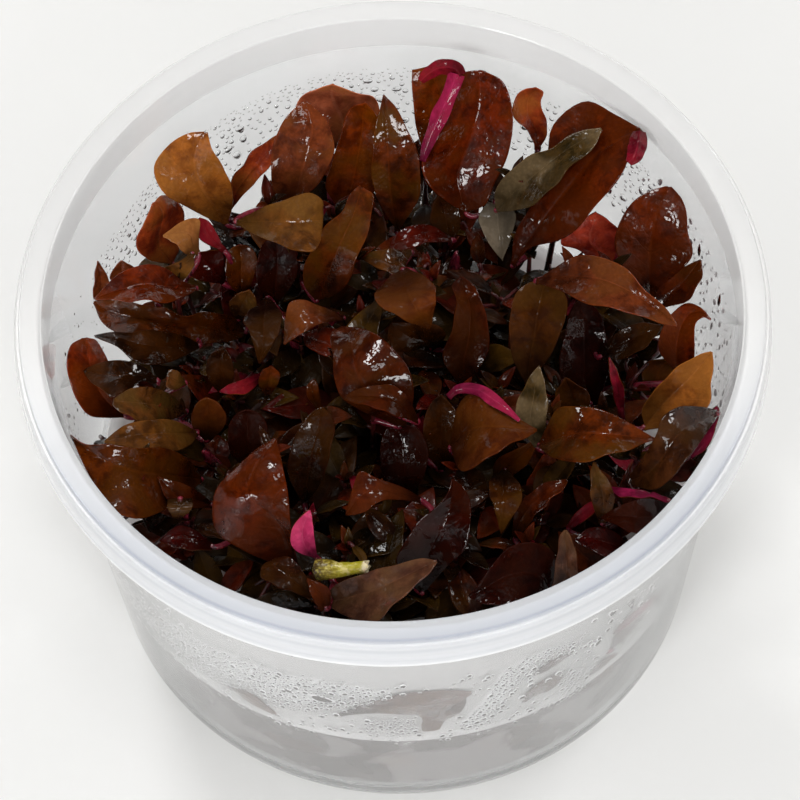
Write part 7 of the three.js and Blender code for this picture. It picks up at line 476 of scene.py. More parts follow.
    [-6.33, -23.74, 30.37, 0.05, 0.69, 0.73, -0.17, -0.71, 0.68, 8.69, 3.72, 0.23],
    [-5.89, -24.52, 34.42, 0.57, 0.14, 0.81, -0.81, 0.27, 0.52, 10.88, 4.42, 0.14],
    [-7.19, -24.42, 34.25, -0.73, 0.24, 0.64, 0.41, -0.6, 0.69, 8.38, 4.29, 0.06],
    [-6.11, -24.11, 38.07, 0.42, 0.79, 0.45, -0.1, -0.45, 0.89, 8.98, 4.2, 0.32],
    [-6.87, -25.51, 38.34, -0.34, -0.61, 0.71, 0.71, 0.34, 0.62, 9.34, 4.54, 0.33],
    [-7.56, -25.06, 42.17, -0.95, 0.08, 0.31, 0.25, -0.42, 0.87, 10.34, 5.22, 0.12],
    [-5.91, -25.27, 42.56, 0.71, -0.13, 0.7, -0.53, 0.55, 0.64, 6.24, 3.19, 0.2],
    [-6.18, -26.22, 47.18, 0.54, -0.79, 0.31, 0.21, 0.48, 0.85, 3.54, 1.43, 0.34],
    [-2.1, -17.3, 24.17, 0.53, 0.78, 0.34, -0.07, -0.36, 0.93, 11.9, 5.5, 0.31],
    [-3.08, -18.73, 24.45, -0.45, -0.65, 0.61, -0.06, 0.71, 0.71, 10.3, 4.3, 0.11],
    [-3.36, -18.07, 29.22, -0.65, 0.57, 0.5, 0.17, -0.53, 0.83, 12.08, 6.26, 0.32],
    [-2.29, -18.99, 29.55, 0.43, -0.35, 0.83, -0.44, 0.73, 0.53, 7.42, 3.47, 0.15],
    [-3.52, -19.48, 33.58, -0.73, -0.34, 0.59, 0.54, 0.26, 0.81, 11.29, 5.52, 0.16],
    [-2.09, -18.57, 33.42, 0.7, 0.57, 0.44, -0.53, 0, 0.84, 9.41, 4.42, 0.34],
    [-2.39, -19.88, 38.57, 0.48, -0.2, 0.85, -0.88, -0.07, 0.47, 8.06, 3.53, 0.13],
    [-3.55, -19.02, 38.04, -0.68, 0.66, 0.32, 0.27, -0.18, 0.94, 6.26, 2.69, 0.05],
    [-2.67, -19.52, 42.1, 0.26, 0.58, 0.77, -0.07, -0.79, 0.61, 4.27, 2.03, 0.09],
    [-3.37, -20.94, 41.65, -0.44, -0.84, 0.32, 0.44, 0.11, 0.89, 7.74, 3.6, 0.08],
    [-3.53, -19.75, 45.62, -0.52, 0.82, 0.24, 0.02, -0.27, 0.96, 5.19, 2.19, 0.31],
    [-6.75, -12.34, 25.01, 0.08, 0.96, 0.26, -0.37, -0.21, 0.91, 12.03, 6.18, 0.22],
    [-6.99, -14.03, 25.42, -0.15, -0.73, 0.67, 0.29, 0.61, 0.73, 8.04, 3.94, 0.3],
    [-7.7, -14.23, 29.33, -0.8, -0.56, 0.21, -0.04, 0.4, 0.92, 12.57, 6.31, 0.21],
    [-6.21, -13.25, 29.71, 0.68, 0.42, 0.6, -0.57, -0.2, 0.79, 9.99, 4.05, 0.06],
    [-7.04, -14.67, 34.22, -0.09, -0.63, 0.77, 0.44, 0.67, 0.6, 8.28, 3.79, 0.28],
    [-7.08, -13.51, 34.29, -0.13, 0.53, 0.84, 0.44, -0.73, 0.53, 10.37, 5.23, 0.15],
    [-6.48, -14.12, 38.68, 0.53, 0.3, 0.79, -0.79, -0.16, 0.59, 5.59, 2.65, 0.1],
    [-7.95, -14.61, 38.17, -0.94, -0.19, 0.28, 0.29, -0.04, 0.95, 5.81, 2.78, 0.33],
    [-7.47, -13.92, 42.33, -0.4, 0.84, 0.35, -0.01, -0.39, 0.92, 7.86, 3.81, 0.31],
    [-6.94, -15.57, 42.55, 0.13, -0.81, 0.57, -0.36, 0.5, 0.79, 6.19, 2.63, 0.11],
    [-2.91, -4.79, 25.5, 0.52, 0.2, 0.83, -0.82, -0.15, 0.55, 7.16, 3.51, 0.22],
    [-4.17, -5.48, 25.13, -0.74, -0.5, 0.46, 0.6, -0.17, 0.79, 7.34, 3.71, 0.15],
    [-3.42, -4.36, 28.7, -0.06, 0.86, 0.5, 0.27, -0.47, 0.84, 10.65, 4.55, 0.23],
    [-3.46, -5.92, 28.92, -0.1, -0.69, 0.71, 0.35, 0.65, 0.68, 8.82, 3.71, 0.09],
    [-4.2, -5.58, 32.7, -0.93, -0.07, 0.37, 0.37, -0.08, 0.92, 9.62, 4.1, 0.23],
    [-2.33, -5.63, 32.62, 0.95, -0.13, 0.29, -0.31, -0.14, 0.94, 8.04, 3.56, 0.27],
    [-3.45, -6.55, 36.49, -0.25, -0.81, 0.53, -0.25, 0.58, 0.77, 6.07, 2.84, 0.17],
    [-3.41, -5.14, 36.73, -0.21, 0.6, 0.77, 0.21, -0.74, 0.64, 8.54, 4.38, 0.29],
    [-3.79, -6.04, 41.67, -0.69, 0.04, 0.72, 0.7, 0.29, 0.65, 7.65, 3.31, 0.18],
    [-3.02, -5.42, 45.97, -0.02, 0.97, 0.23, -0.12, -0.23, 0.96, 7.25, 3.15, 0.29],
    [-6.73, 1.34, 24.98, -0.33, 0.53, 0.78, 0.43, -0.66, 0.62, 11.2, 5, 0.31],
    [-5.93, 0.24, 24.87, 0.47, -0.57, 0.67, -0.53, 0.43, 0.74, 10.18, 5.04, 0.13],
    [-7.04, 0.55, 28.44, -0.58, -0.35, 0.73, 0.77, 0.07, 0.64, 9.52, 4.53, 0.11],
    [-5.93, 1.39, 28.41, 0.53, 0.48, 0.7, -0.68, -0.26, 0.69, 12.35, 6.35, 0.32],
    [-6.2, 0.5, 32.31, 0.32, -0.51, 0.8, 0.01, 0.84, 0.54, 8.51, 4.07, 0.12],
    [-6.65, 1.46, 32.4, -0.13, 0.46, 0.88, 0.34, -0.82, 0.47, 11.14, 4.57, 0.14],
    [-5.63, 1.17, 35.44, 0.95, 0.06, 0.3, -0.27, -0.28, 0.92, 8.66, 4.39, 0.05],
    [-7.45, 0.9, 35.59, -0.87, -0.21, 0.46, 0.46, 0.01, 0.89, 10.48, 4.82, 0.15],
    [-6.87, 1.86, 39.88, -0.23, 0.65, 0.73, 0.24, -0.69, 0.69, 8.43, 4.14, 0.21],
    [-6.08, 0.43, 39.42, 0.56, -0.78, 0.27, -0.13, 0.24, 0.96, 10.08, 4.53, 0.16],
    [-7.01, 0.92, 43.66, -0.3, -0.39, 0.87, 0.47, 0.73, 0.49, 3.46, 1.62, 0.14],
    [-6.3, 1.75, 43.59, 0.4, 0.43, 0.81, -0.47, -0.66, 0.59, 10.19, 4.31, 0.24],
    [-6.33, 0.74, 47.3, 0.44, -0.68, 0.59, -0.2, 0.56, 0.8, 9.56, 4.83, 0.33],
    [-3.39, 8.2, 24.72, 0.09, 0.96, 0.26, 0.05, -0.26, 0.96, 12.67, 6.37, 0.17],
    [-3.33, 6.31, 24.81, 0.14, -0.93, 0.35, -0.26, 0.31, 0.92, 8.06, 3.3, 0.24],
    [-4.38, 7.7, 28.9, -0.81, 0.43, 0.4, 0.12, -0.53, 0.84, 12.57, 5.2, 0.32],
    [-2.74, 6.84, 28.88, 0.82, -0.42, 0.38, -0.42, -0.02, 0.91, 10.79, 4.38, 0.15],
    [-3.88, 6.54, 32.76, -0.23, -0.74, 0.63, -0.06, 0.65, 0.75, 7.19, 3.46, 0.32],
    [-3.43, 7.96, 32.84, 0.22, 0.67, 0.71, -0.27, -0.66, 0.7, 8.77, 4.07, 0.07],
    [-2.85, 6.98, 36.99, 0.91, -0.34, 0.23, -0.35, -0.32, 0.88, 10.93, 4.43, 0.28],
    [-4.6, 7.57, 37.23, -0.84, 0.25, 0.47, 0.29, -0.53, 0.8, 10.56, 4.39, 0.23],
    [-3.27, 7.93, 41.11, 0.57, 0.58, 0.58, -0.14, -0.63, 0.77, 7.3, 3.43, 0.12],
    [-3.78, 6.44, 40.94, 0.07, -0.91, 0.41, 0.26, 0.41, 0.87, 10.69, 4.64, 0.3],
    [-3.28, 7.34, 46.04, 0.68, -0.04, 0.73, -0.72, 0.2, 0.67, 7.25, 3.64, 0.32],
    [-8.85, 13.2, 24.5, -0.75, 0.04, 0.66, 0.64, 0.29, 0.71, 8.01, 3.38, 0.14],
    [-7.26, 13.03, 24.37, 0.83, -0.13, 0.54, -0.55, -0.21, 0.81, 11.08, 4.67, 0.19],
    [-8.73, 12.86, 28.18, -0.5, -0.49, 0.71, 0.54, 0.47, 0.7, 10.55, 4.79, 0.22],
    [-7.75, 14.11, 27.92, 0.47, 0.76, 0.45, 0.15, -0.58, 0.8, 10.17, 4.25, 0.15],
    [-7.73, 13.25, 32.92, 0.67, -0.35, 0.65, -0.67, 0.1, 0.74, 12.88, 5.37, 0.32],
    [-9.05, 13.96, 32.95, -0.64, 0.35, 0.68, 0.56, -0.39, 0.73, 9.76, 4.37, 0.27],
    [-7.95, 14.59, 36.77, 0.62, 0.75, 0.23, -0.34, -0.01, 0.94, 8.4, 3.62, 0.18],
    [-8.62, 13.28, 37.37, -0.06, -0.55, 0.83, -0.1, 0.83, 0.54, 8.12, 4.04, 0.27],
    [-2.97, 17.18, 23.91, 0.92, 0.2, 0.33, -0.28, -0.27, 0.92, 8.58, 3.6, 0.3],
    [-4.44, 17.15, 24.39, -0.55, 0.17, 0.81, 0.81, -0.14, 0.58, 8.6, 3.69, 0.22],
    [-4.09, 18.1, 27.68, -0.18, 0.96, 0.23, -0.19, -0.26, 0.95, 11.4, 4.75, 0.27],
    [-3.72, 16.57, 28.25, 0.2, -0.57, 0.8, -0.59, 0.58, 0.56, 9.18, 4.71, 0.06],
    [-4.7, 17.49, 31.57, -0.76, 0.21, 0.62, 0.53, -0.34, 0.77, 11.11, 5.02, 0.14],
    [-3.46, 17.41, 31.82, 0.48, 0.13, 0.87, -0.88, 0.03, 0.48, 7.41, 3.11, 0.32],
    [-4.11, 16.68, 36.26, -0.14, -0.8, 0.59, -0.26, 0.6, 0.76, 8.51, 4.38, 0.2],
    [-3.83, 18.36, 36.12, 0.14, 0.88, 0.45, -0.18, -0.42, 0.89, 12.84, 5.97, 0.1],
    [-3.17, 17.26, 39.72, 0.83, -0.37, 0.41, -0.39, 0.14, 0.91, 5.25, 2.56, 0.13],
    [-4.88, 18.02, 39.58, -0.88, 0.39, 0.27, 0.38, 0.23, 0.9, 9.27, 4.63, 0.12],
    [-4.02, 18.6, 43.34, 0, 0.83, 0.56, -0.44, -0.5, 0.74, 7.93, 3.54, 0.12],
    [-6.63, 24.87, 23.45, -0.04, 0.96, 0.29, -0.2, -0.29, 0.94, 9.43, 4.13, 0.15],
    [-6.25, 23.4, 23.95, 0.34, -0.51, 0.79, -0.61, 0.51, 0.6, 11.23, 4.55, 0.15],
    [-7.39, 24.02, 27.95, -0.68, -0.3, 0.67, 0.47, 0.52, 0.72, 10.45, 4.47, 0.31],
    [-6.14, 24.9, 27.87, 0.57, 0.58, 0.59, -0.22, -0.58, 0.79, 7.41, 3.5, 0.22],
    [-6.72, 24.02, 32.96, 0.12, -0.79, 0.6, -0.51, 0.46, 0.72, 7.81, 3.74, 0.15],
    [-7.11, 25.28, 33.21, -0.26, 0.47, 0.84, 0.67, -0.54, 0.51, 9.11, 4.38, 0.13],
    [-6.24, 25.84, 37.09, 0.73, 0.6, 0.32, -0.49, 0.14, 0.86, 7.11, 3.55, 0.25],
    [-7.42, 24.95, 37.61, -0.45, -0.29, 0.84, 0.58, 0.62, 0.52, 7.24, 2.96, 0.07],
    [-6.95, 24.79, 40.93, 0.11, -0.81, 0.58, -0.26, 0.54, 0.8, 8.32, 3.88, 0.16],
    [-7.97, 25.51, 44.45, -0.8, -0.45, 0.4, 0.47, -0.06, 0.88, 9.2, 3.77, 0.14],
    [-3.35, 31.81, 25.45, 0.47, 0.53, 0.71, -0.76, -0.17, 0.63, 7.14, 3.36, 0.21],
    [-4.24, 30.48, 25.15, -0.42, -0.81, 0.41, -0.11, 0.5, 0.86, 10.79, 4.66, 0.09],
    [-4.62, 31.79, 29.77, -0.92, -0.1, 0.39, 0.4, -0.34, 0.85, 10.66, 4.38, 0.28],
    [-2.93, 31.44, 29.84, 0.77, -0.44, 0.46, -0.17, 0.55, 0.82, 7.19, 3.08, 0.13],
    [-3.42, 31.65, 34.59, 0.17, -0.84, 0.52, -0.1, 0.51, 0.85, 10.92, 5.01, 0.16],
    [-3.63, 33.1, 34.86, -0.04, 0.61, 0.79, 0.41, -0.71, 0.57, 8.24, 3.74, 0.18],
    [-2.88, 32.87, 39.72, 0.58, -0.25, 0.77, -0.68, 0.36, 0.63, 7.12, 2.86, 0.32],
    [-4.32, 33.36, 39.4, -0.86, 0.24, 0.45, 0.45, -0.07, 0.89, 8.49, 3.85, 0.07],
    [-2.9, 34.47, 44.24, 0.43, 0.74, 0.52, -0.58, -0.21, 0.79, 4.42, 2.14, 0.09],
    [-1.25, -23.8, 24.96, 0.22, 0.53, 0.82, -0.19, -0.8, 0.57, 7.64, 3.14, 0.28],
    [-1.86, -25.07, 24.7, -0.39, -0.74, 0.55, 0.16, 0.54, 0.83, 8.76, 4.29, 0.25],
    [-1.98, -24.71, 28.39, -0.7, -0.1, 0.71, 0.71, -0.18, 0.68, 8.63, 4.34, 0.28],
    [-0.57, -24.96, 28.28, 0.71, -0.35, 0.6, -0.46, 0.41, 0.79, 11.9, 4.85, 0.06],
    [-1.35, -25.5, 33.68, -0.34, -0.48, 0.81, 0.13, 0.83, 0.54, 10.57, 4.46, 0.12],
    [-0.4, -24.26, 33.09, 0.61, 0.77, 0.21, -0.47, 0.14, 0.87, 9.67, 4.54, 0.09],
    [-0.36, -25.97, 36.9, 0.47, -0.67, 0.58, 0.04, 0.68, 0.74, 9.34, 4.75, 0.11],
    [-1.28, -24.83, 37.07, -0.46, 0.47, 0.75, 0.56, -0.5, 0.66, 7.32, 3.75, 0.06],
    [-0.17, -24.81, 41.04, 0.42, 0.85, 0.33, -0.12, -0.31, 0.94, 9.86, 4.43, 0.19],
    [-1.19, -26.32, 41.15, -0.61, -0.66, 0.44, 0.32, 0.3, 0.9, 7.85, 3.26, 0.21],
    [-0.94, -25.25, 45.27, -0.58, 0.75, 0.32, 0.05, -0.36, 0.93, 6.04, 2.94, 0.07],
    [0.55, -26.36, 45.16, 0.91, -0.36, 0.21, -0.23, -0.02, 0.97, 4.58, 2.38, 0.31],
    [4.91, -18.74, 25.46, -0.11, 0.77, 0.64, 0.29, -0.59, 0.76, 11.91, 4.79, 0.19],
    [5.17, -19.99, 25.68, 0.15, -0.49, 0.86, -0.1, 0.86, 0.51, 10.06, 4.93, 0.09],
    [4.3, -20.38, 29.41, -0.61, -0.56, 0.56, 0.13, 0.62, 0.77, 10.68, 5.26, 0.12],
    [5.5, -19.68, 29.65, 0.58, 0.13, 0.8, -0.72, -0.38, 0.59, 12.55, 6.19, 0.24],
    [4.72, -20.93, 34.13, -0.08, -0.74, 0.66, -0.03, 0.67, 0.74, 12.2, 5.25, 0.12],
    [4.27, -19.39, 33.78, -0.53, 0.79, 0.32, 0.5, -0.01, 0.86, 10.78, 4.39, 0.2],
    [5.33, -20.04, 38.02, 0.64, 0.46, 0.62, -0.69, -0.02, 0.72, 7.96, 3.89, 0.14],
    [3.85, -20.89, 37.76, -0.85, -0.4, 0.35, 0.19, 0.4, 0.9, 8.23, 3.62, 0.27],
    [5.16, -21.41, 41.71, 0.56, -0.62, 0.55, -0.54, 0.23, 0.81, 6.43, 3.34, 0.32],
    [5.39, -20.99, 46.13, 0.91, 0.16, 0.38, -0.33, -0.26, 0.91, 6.15, 2.55, 0.24],
    [1.63, -11.03, 25.95, 0.11, 0.86, 0.49, 0.33, -0.5, 0.8, 10.95, 5.18, 0.26],
    [1.36, -12.7, 26.02, -0.15, -0.81, 0.57, 0.38, 0.48, 0.79, 10.63, 5.08, 0.2],
    [0.42, -12.34, 30.43, -0.97, 0.09, 0.22, 0.18, -0.28, 0.94, 7.6, 3.31, 0.31],
    [2.24, -12.15, 30.66, 0.85, 0.27, 0.45, -0.41, -0.19, 0.89, 8.64, 3.71, 0.19],
    [1.03, -13.88, 35.69, -0.23, -0.89, 0.4, 0.39, 0.29, 0.87, 8.62, 4.41, 0.25],
    [1.04, -12.08, 35.63, -0.22, 0.92, 0.34, 0.14, -0.31, 0.94, 7.09, 3.06, 0.12],
    [1.88, -6.11, 24.12, -0.45, 0.2, 0.87, 0.82, -0.31, 0.49, 9.87, 4.46, 0.21],
    [3.29, -6.31, 23.5, 0.97, -0.01, 0.25, -0.25, 0.03, 0.97, 7.44, 3.06, 0.16],
    [2.15, -6.87, 27.76, -0.25, -0.51, 0.82, -0.07, 0.86, 0.51, 9.94, 4.26, 0.21],
    [2.7, -5.85, 27.74, 0.31, 0.51, 0.81, 0, -0.85, 0.53, 7.09, 2.87, 0.26],
    [3.38, -6.81, 32.3, 0.9, -0.39, 0.22, -0.29, -0.14, 0.95, 9.99, 5.17, 0.32],
    [1.88, -5.72, 32.45, -0.6, 0.7, 0.38, 0.33, -0.21, 0.92, 7.87, 3.72, 0.27],
    [3.05, -5.73, 36.87, 0.49, 0.75, 0.44, 0.04, -0.52, 0.85, 6.99, 3.42, 0.12],
    [1.9, -6.2, 41.46, -0.74, 0.35, 0.57, 0.31, -0.58, 0.75, 7.06, 3.03, 0.11],
    [-0.07, 0.71, 25.5, 0.64, -0.07, 0.77, -0.77, 0, 0.64, 12.56, 5.47, 0.31],
    [-1.31, 0.26, 25.33, -0.61, -0.52, 0.6, 0.52, 0.3, 0.8, 10.2, 5.08, 0.3],
    [-0.81, 1.13, 30.08, 0.16, 0.58, 0.8, 0.07, -0.82, 0.57, 9.03, 3.92, 0.3],
    [-0.93, -0.38, 29.62, 0.04, -0.94, 0.34, -0.17, 0.33, 0.93, 12.95, 6.14, 0.07],
    [-2, -0.08, 33.42, -0.81, -0.45, 0.38, 0.42, 0.01, 0.91, 7.29, 3.18, 0.3],
    [-0.54, 0.3, 33.8, 0.65, -0.07, 0.76, -0.71, -0.4, 0.58, 7.77, 3.35, 0.16],
    [-1.29, -0.26, 37.36, 0.1, -0.47, 0.88, -0.14, 0.87, 0.48, 12.5, 5.32, 0.17],
    [-1.4, 1.1, 36.93, 0, 0.89, 0.45, 0.17, -0.44, 0.88, 10.62, 5.48, 0.29],
    [-0.73, 0, 40.92, 0.9, -0.01, 0.43, -0.41, 0.31, 0.86, 5.32, 2.73, 0.14],
    [-2.17, 0.21, 41.31, -0.54, 0.2, 0.82, 0.84, 0.05, 0.54, 8.15, 3.77, 0.14],
    [-2.04, 0.59, 44.82, -0.18, 0.76, 0.63, 0.49, -0.49, 0.73, 5.82, 2.35, 0.1],
    [-2.04, -1.03, 44.66, -0.19, -0.86, 0.47, 0.04, 0.48, 0.88, 6.69, 3.29, 0.15],
    [-3.07, -0.24, 49.35, -0.93, 0.16, 0.32, 0.27, -0.29, 0.92, 4.49, 2.12, 0.33],
    [4.28, 5.85, 26.02, 0.68, 0.31, 0.67, -0.71, 0.04, 0.7, 7.1, 2.91, 0.06],
    [2.72, 5.31, 25.76, -0.88, -0.23, 0.41, 0.24, 0.52, 0.82, 7.25, 2.9, 0.07],
    [3.44, 6.31, 29.23, -0.25, 0.85, 0.46, 0.54, -0.27, 0.8, 11.48, 4.86, 0.08],
    [4.07, 5.03, 29.58, 0.38, -0.44, 0.81, -0.18, 0.83, 0.53, 12.04, 5.7, 0.28],
    [3.01, 4.79, 33.72, -0.8, -0.55, 0.24, -0.06, 0.47, 0.88, 7.31, 3.51, 0.19],
    [4.4, 5.43, 34.28, 0.59, 0.08, 0.8, -0.77, -0.24, 0.59, 6.29, 2.56, 0.28],
    [4.03, 4.33, 37.57, 0.12, -0.92, 0.37, 0.27, 0.39, 0.88, 6.36, 3.27, 0.11],
    [3.5, 6.09, 37.55, -0.41, 0.84, 0.36, -0.05, -0.41, 0.91, 12.33, 5.21, 0.07],
    [-0.28, 13.76, 25.5, 0.42, 0.72, 0.55, -0.07, -0.58, 0.81, 9.38, 3.78, 0.13],
    [-0.8, 12.17, 25.42, -0.09, -0.88, 0.47, -0.06, 0.48, 0.88, 10.64, 5.27, 0.16],
    [-1.47, 14.19, 29.82, -0.72, 0.64, 0.27, 0.4, 0.06, 0.92, 7.47, 3.33, 0.24],
    [-0.14, 13.03, 30.15, 0.61, -0.52, 0.6, -0.64, 0.13, 0.76, 11.46, 5.06, 0.31],
    [-1.27, 13.39, 35.04, -0.48, -0.7, 0.53, -0.13, 0.65, 0.75, 10.55, 4.53, 0.18],
    [-0.16, 14.75, 34.91, 0.64, 0.66, 0.4, -0.48, -0.07, 0.88, 8.18, 3.34, 0.14],
    [-0.13, 14.31, 40.04, 0.71, -0.32, 0.62, -0.46, 0.45, 0.76, 9.74, 4.15, 0.07],
    [-1.57, 15.23, 39.75, -0.73, 0.59, 0.34, 0.26, -0.22, 0.94, 11.64, 5.25, 0.1],
    [-1.01, 14.44, 43.81, -0.13, -0.59, 0.8, -0.14, 0.81, 0.57, 5.22, 2.29, 0.14],
    [4.76, 18.55, 25.28, 0.58, 0.49, 0.65, -0.68, -0.14, 0.72, 12.03, 6.02, 0.12],
    [3.51, 17.49, 25.11, -0.67, -0.57, 0.48, 0.54, 0.06, 0.84, 12.66, 5.91, 0.08],
    [3.66, 18.75, 29.27, -0.73, 0.53, 0.44, 0.34, -0.28, 0.9, 8.98, 3.71, 0.31],
    [4.73, 17.81, 29.67, 0.34, -0.41, 0.85, -0.78, 0.38, 0.5, 10.63, 4.99, 0.25],
    [3.88, 18.16, 33.58, -0.72, -0.22, 0.66, 0.56, 0.38, 0.74, 7.82, 3.17, 0.17],
    [5.38, 18.64, 33.48, 0.79, 0.27, 0.56, -0.6, 0.13, 0.79, 6.08, 3.04, 0.2],
    [5.21, 17.72, 37.07, 0.42, -0.8, 0.42, 0.2, 0.53, 0.82, 9.24, 4.77, 0.06],
    [4.07, 19.08, 37.08, -0.71, 0.55, 0.43, 0.17, -0.45, 0.87, 4.1, 2.08, 0.21],
    [4.47, 17.88, 40.94, -0.52, -0.8, 0.29, -0.03, 0.36, 0.93, 5.34, 2.55, 0.28],
    [-0.39, 25.11, 24.18, -0.33, 0.38, 0.86, 0.15, -0.89, 0.44, 12.87, 5.44, 0.1],
    [0.39, 24.53, 24.19, 0.45, -0.2, 0.87, -0.87, 0.14, 0.48, 7.05, 2.96, 0.33],
    [-0.53, 24.48, 28.37, -0.24, -0.72, 0.65, 0.45, 0.51, 0.73, 8.87, 4.46, 0.33],
    [0.24, 25.65, 28.44, 0.53, 0.45, 0.72, -0.35, -0.66, 0.67, 8.09, 3.8, 0.24],
    [-0.06, 25.16, 32.57, 0.45, -0.48, 0.75, -0.76, 0.25, 0.61, 10.59, 4.35, 0.26],
    [-0.88, 26.01, 32.67, -0.38, 0.37, 0.85, 0.58, -0.62, 0.53, 10.63, 5.02, 0.31],
    [-0.36, 26.77, 37.12, 0.39, 0.63, 0.67, -0.17, -0.67, 0.72, 12.55, 5.64, 0.19],
    [-1.56, 25.65, 36.76, -0.81, -0.49, 0.31, 0.12, 0.38, 0.92, 6.3, 2.69, 0.24],
    [-1.61, 26.96, 41.23, -0.65, 0.38, 0.66, 0.6, -0.27, 0.75, 3.7, 1.78, 0.34],
    [4.3, 28.9, 24.86, -0.55, 0.1, 0.83, 0.8, -0.22, 0.56, 11.43, 5.44, 0.22],
    [5.71, 28.41, 24.37, 0.86, -0.39, 0.34, -0.43, -0.18, 0.88, 10.96, 4.51, 0.2],
    [4.67, 28.46, 28.07, -0.27, -0.93, 0.24, -0.16, 0.3, 0.94, 9.44, 3.88, 0.08],
    [5.5, 30.14, 28.16, 0.56, 0.75, 0.34, -0.56, 0.05, 0.83, 8.31, 4.02, 0.08],
    [5.63, 29.53, 32.58, 0.6, -0.49, 0.63, -0.23, 0.65, 0.73, 7.47, 3.64, 0.14],
    [4.33, 30.22, 32.64, -0.7, 0.2, 0.69, 0.71, 0.15, 0.68, 7.64, 3.5, 0.07],
    [5.29, 31.32, 37.61, 0.14, 0.54, 0.83, -0.05, -0.83, 0.55, 7.98, 3.51, 0.28],
    [5.05, 29.85, 37.15, -0.1, -0.93, 0.37, -0.27, 0.38, 0.89, 7.03, 3.33, 0.3],
    [4.58, 31.74, 42.12, -0.67, 0.24, 0.7, 0.48, -0.58, 0.66, 6.16, 3.15, 0.33],
    [5.6, 30.81, 42.06, 0.35, -0.68, 0.64, -0.31, 0.56, 0.77, 3.94, 1.92, 0.17],
    [5.87, 32.31, 45.62, 0.54, 0.29, 0.79, -0.8, -0.11, 0.59, 5.69, 2.83, 0.2],
    [4.95, -23.78, 25.51, -0.63, 0.73, 0.27, 0.44, 0.05, 0.9, 9.57, 4.8, 0.3],
    [6.36, -24.8, 25.8, 0.78, -0.29, 0.56, -0.57, 0.03, 0.82, 10.29, 4.99, 0.07],
    [5.64, -25.29, 30, -0.16, -0.58, 0.79, 0.6, 0.58, 0.55, 5.42, 2.6, 0.14],
    [5.98, -23.79, 29.56, 0.18, 0.92, 0.36, -0.24, -0.31, 0.92, 7.73, 3.89, 0.31],
    [6.98, -25.03, 34.13, 0.92, -0.1, 0.39, -0.36, 0.18, 0.91, 12.15, 5.32, 0.14],
    [5.48, -24.87, 34.56, -0.58, 0.06, 0.81, 0.78, 0.34, 0.53, 11.03, 4.56, 0.11],
    [6.47, -24.21, 38.9, 0.14, 0.95, 0.29, -0.14, -0.27, 0.95, 11.48, 5.53, 0.28],
    [6.24, -25.7, 39.45, -0.1, -0.54, 0.84, 0.1, 0.83, 0.55, 4.96, 2.32, 0.32],
    [5.87, -24.78, 43.14, -0.69, 0.58, 0.42, 0.36, -0.23, 0.91, 7.92, 4.09, 0.3],
    [7.18, -25.9, 43.28, 0.62, -0.54, 0.57, -0.19, 0.6, 0.78, 5.27, 2.2, 0.26],
    [11.42, -16.27, 23.89, 0.14, 0.8, 0.59, -0.01, -0.6, 0.8, 7.51, 3.6, 0.06],
    [11.74, -17.92, 23.55, 0.46, -0.86, 0.25, -0.32, 0.1, 0.94, 11.58, 4.95, 0.11],
    [11.06, -17.09, 28.36, -0.66, 0.04, 0.75, 0.72, 0.32, 0.62, 9.45, 3.95, 0.09],
    [12.57, -16.77, 27.99, 0.85, 0.36, 0.37, -0.44, 0.12, 0.89, 10.22, 4.4, 0.14],
    [11.86, -18.11, 32.06, -0.28, -0.93, 0.25, -0.04, 0.27, 0.96, 10.75, 4.87, 0.19],
    [12.26, -16.66, 32.65, 0.11, 0.53, 0.84, -0.48, -0.71, 0.51, 7.79, 4, 0.13],
    [13.2, -17.2, 36.55, 0.66, 0.05, 0.75, -0.67, -0.43, 0.61, 8.22, 4.09, 0.06],
    [11.96, -17.4, 36.58, -0.59, -0.16, 0.79, 0.61, 0.56, 0.57, 9.25, 3.99, 0.13],
    [12.58, -18.06, 40.25, -0.36, -0.76, 0.54, 0.52, 0.32, 0.79, 7.32, 3.27, 0.14],
    [12.45, -17.47, 44.69, -0.97, -0.11, 0.23, 0.24, -0.23, 0.94, 3.89, 1.67, 0.17],
    [5.7, -10.37, 25.36, -0.79, 0.49, 0.38, 0.39, -0.1, 0.92, 7.43, 3.06, 0.28],
    [6.88, -11.15, 25.85, 0.4, -0.3, 0.87, -0.89, 0.11, 0.44, 8.93, 4.14, 0.34],
    [6.01, -11.43, 30.24, -0.79, -0.16, 0.59, 0.6, 0.01, 0.8, 12.19, 5.75, 0.21],
    [7.53, -11.08, 30.3, 0.73, 0.19, 0.66, -0.63, -0.18, 0.76, 9.68, 4.3, 0.21],
    [7.02, -12.61, 34.17, -0.07, -0.96, 0.27, 0.08, 0.26, 0.96, 12.73, 6.51, 0.17],
    [8.29, -11.83, 37.61, 0.96, 0.13, 0.24, -0.16, -0.44, 0.88, 7.5, 3.04, 0.14],
    [7.91, -13.27, 42.76, 0.25, -0.87, 0.43, -0.21, 0.39, 0.9, 9.06, 3.91, 0.05],
    [11.99, -5.68, 24.59, 0.12, 0.53, 0.84, -0.31, -0.79, 0.54, 8.46, 3.48, 0.06],
    [11.97, -6.86, 24.5, 0.09, -0.65, 0.75, 0.17, 0.76, 0.63, 9.26, 4.76, 0.15],
    [11.08, -6.65, 27.94, -0.8, -0.26, 0.54, 0.39, 0.46, 0.8, 11.39, 5.41, 0.11],
    [12.49, -6.7, 28.14, 0.61, -0.31, 0.73, -0.72, 0.18, 0.67, 12.51, 5.27, 0.12],
    [11.88, -7.18, 33.32, -0.01, -0.55, 0.84, -0.03, 0.84, 0.55, 7.04, 3.51, 0.33],
    [11.89, -5.74, 32.94, 0.01, 0.89, 0.45, -0.07, -0.45, 0.89, 9.06, 3.83, 0.2],
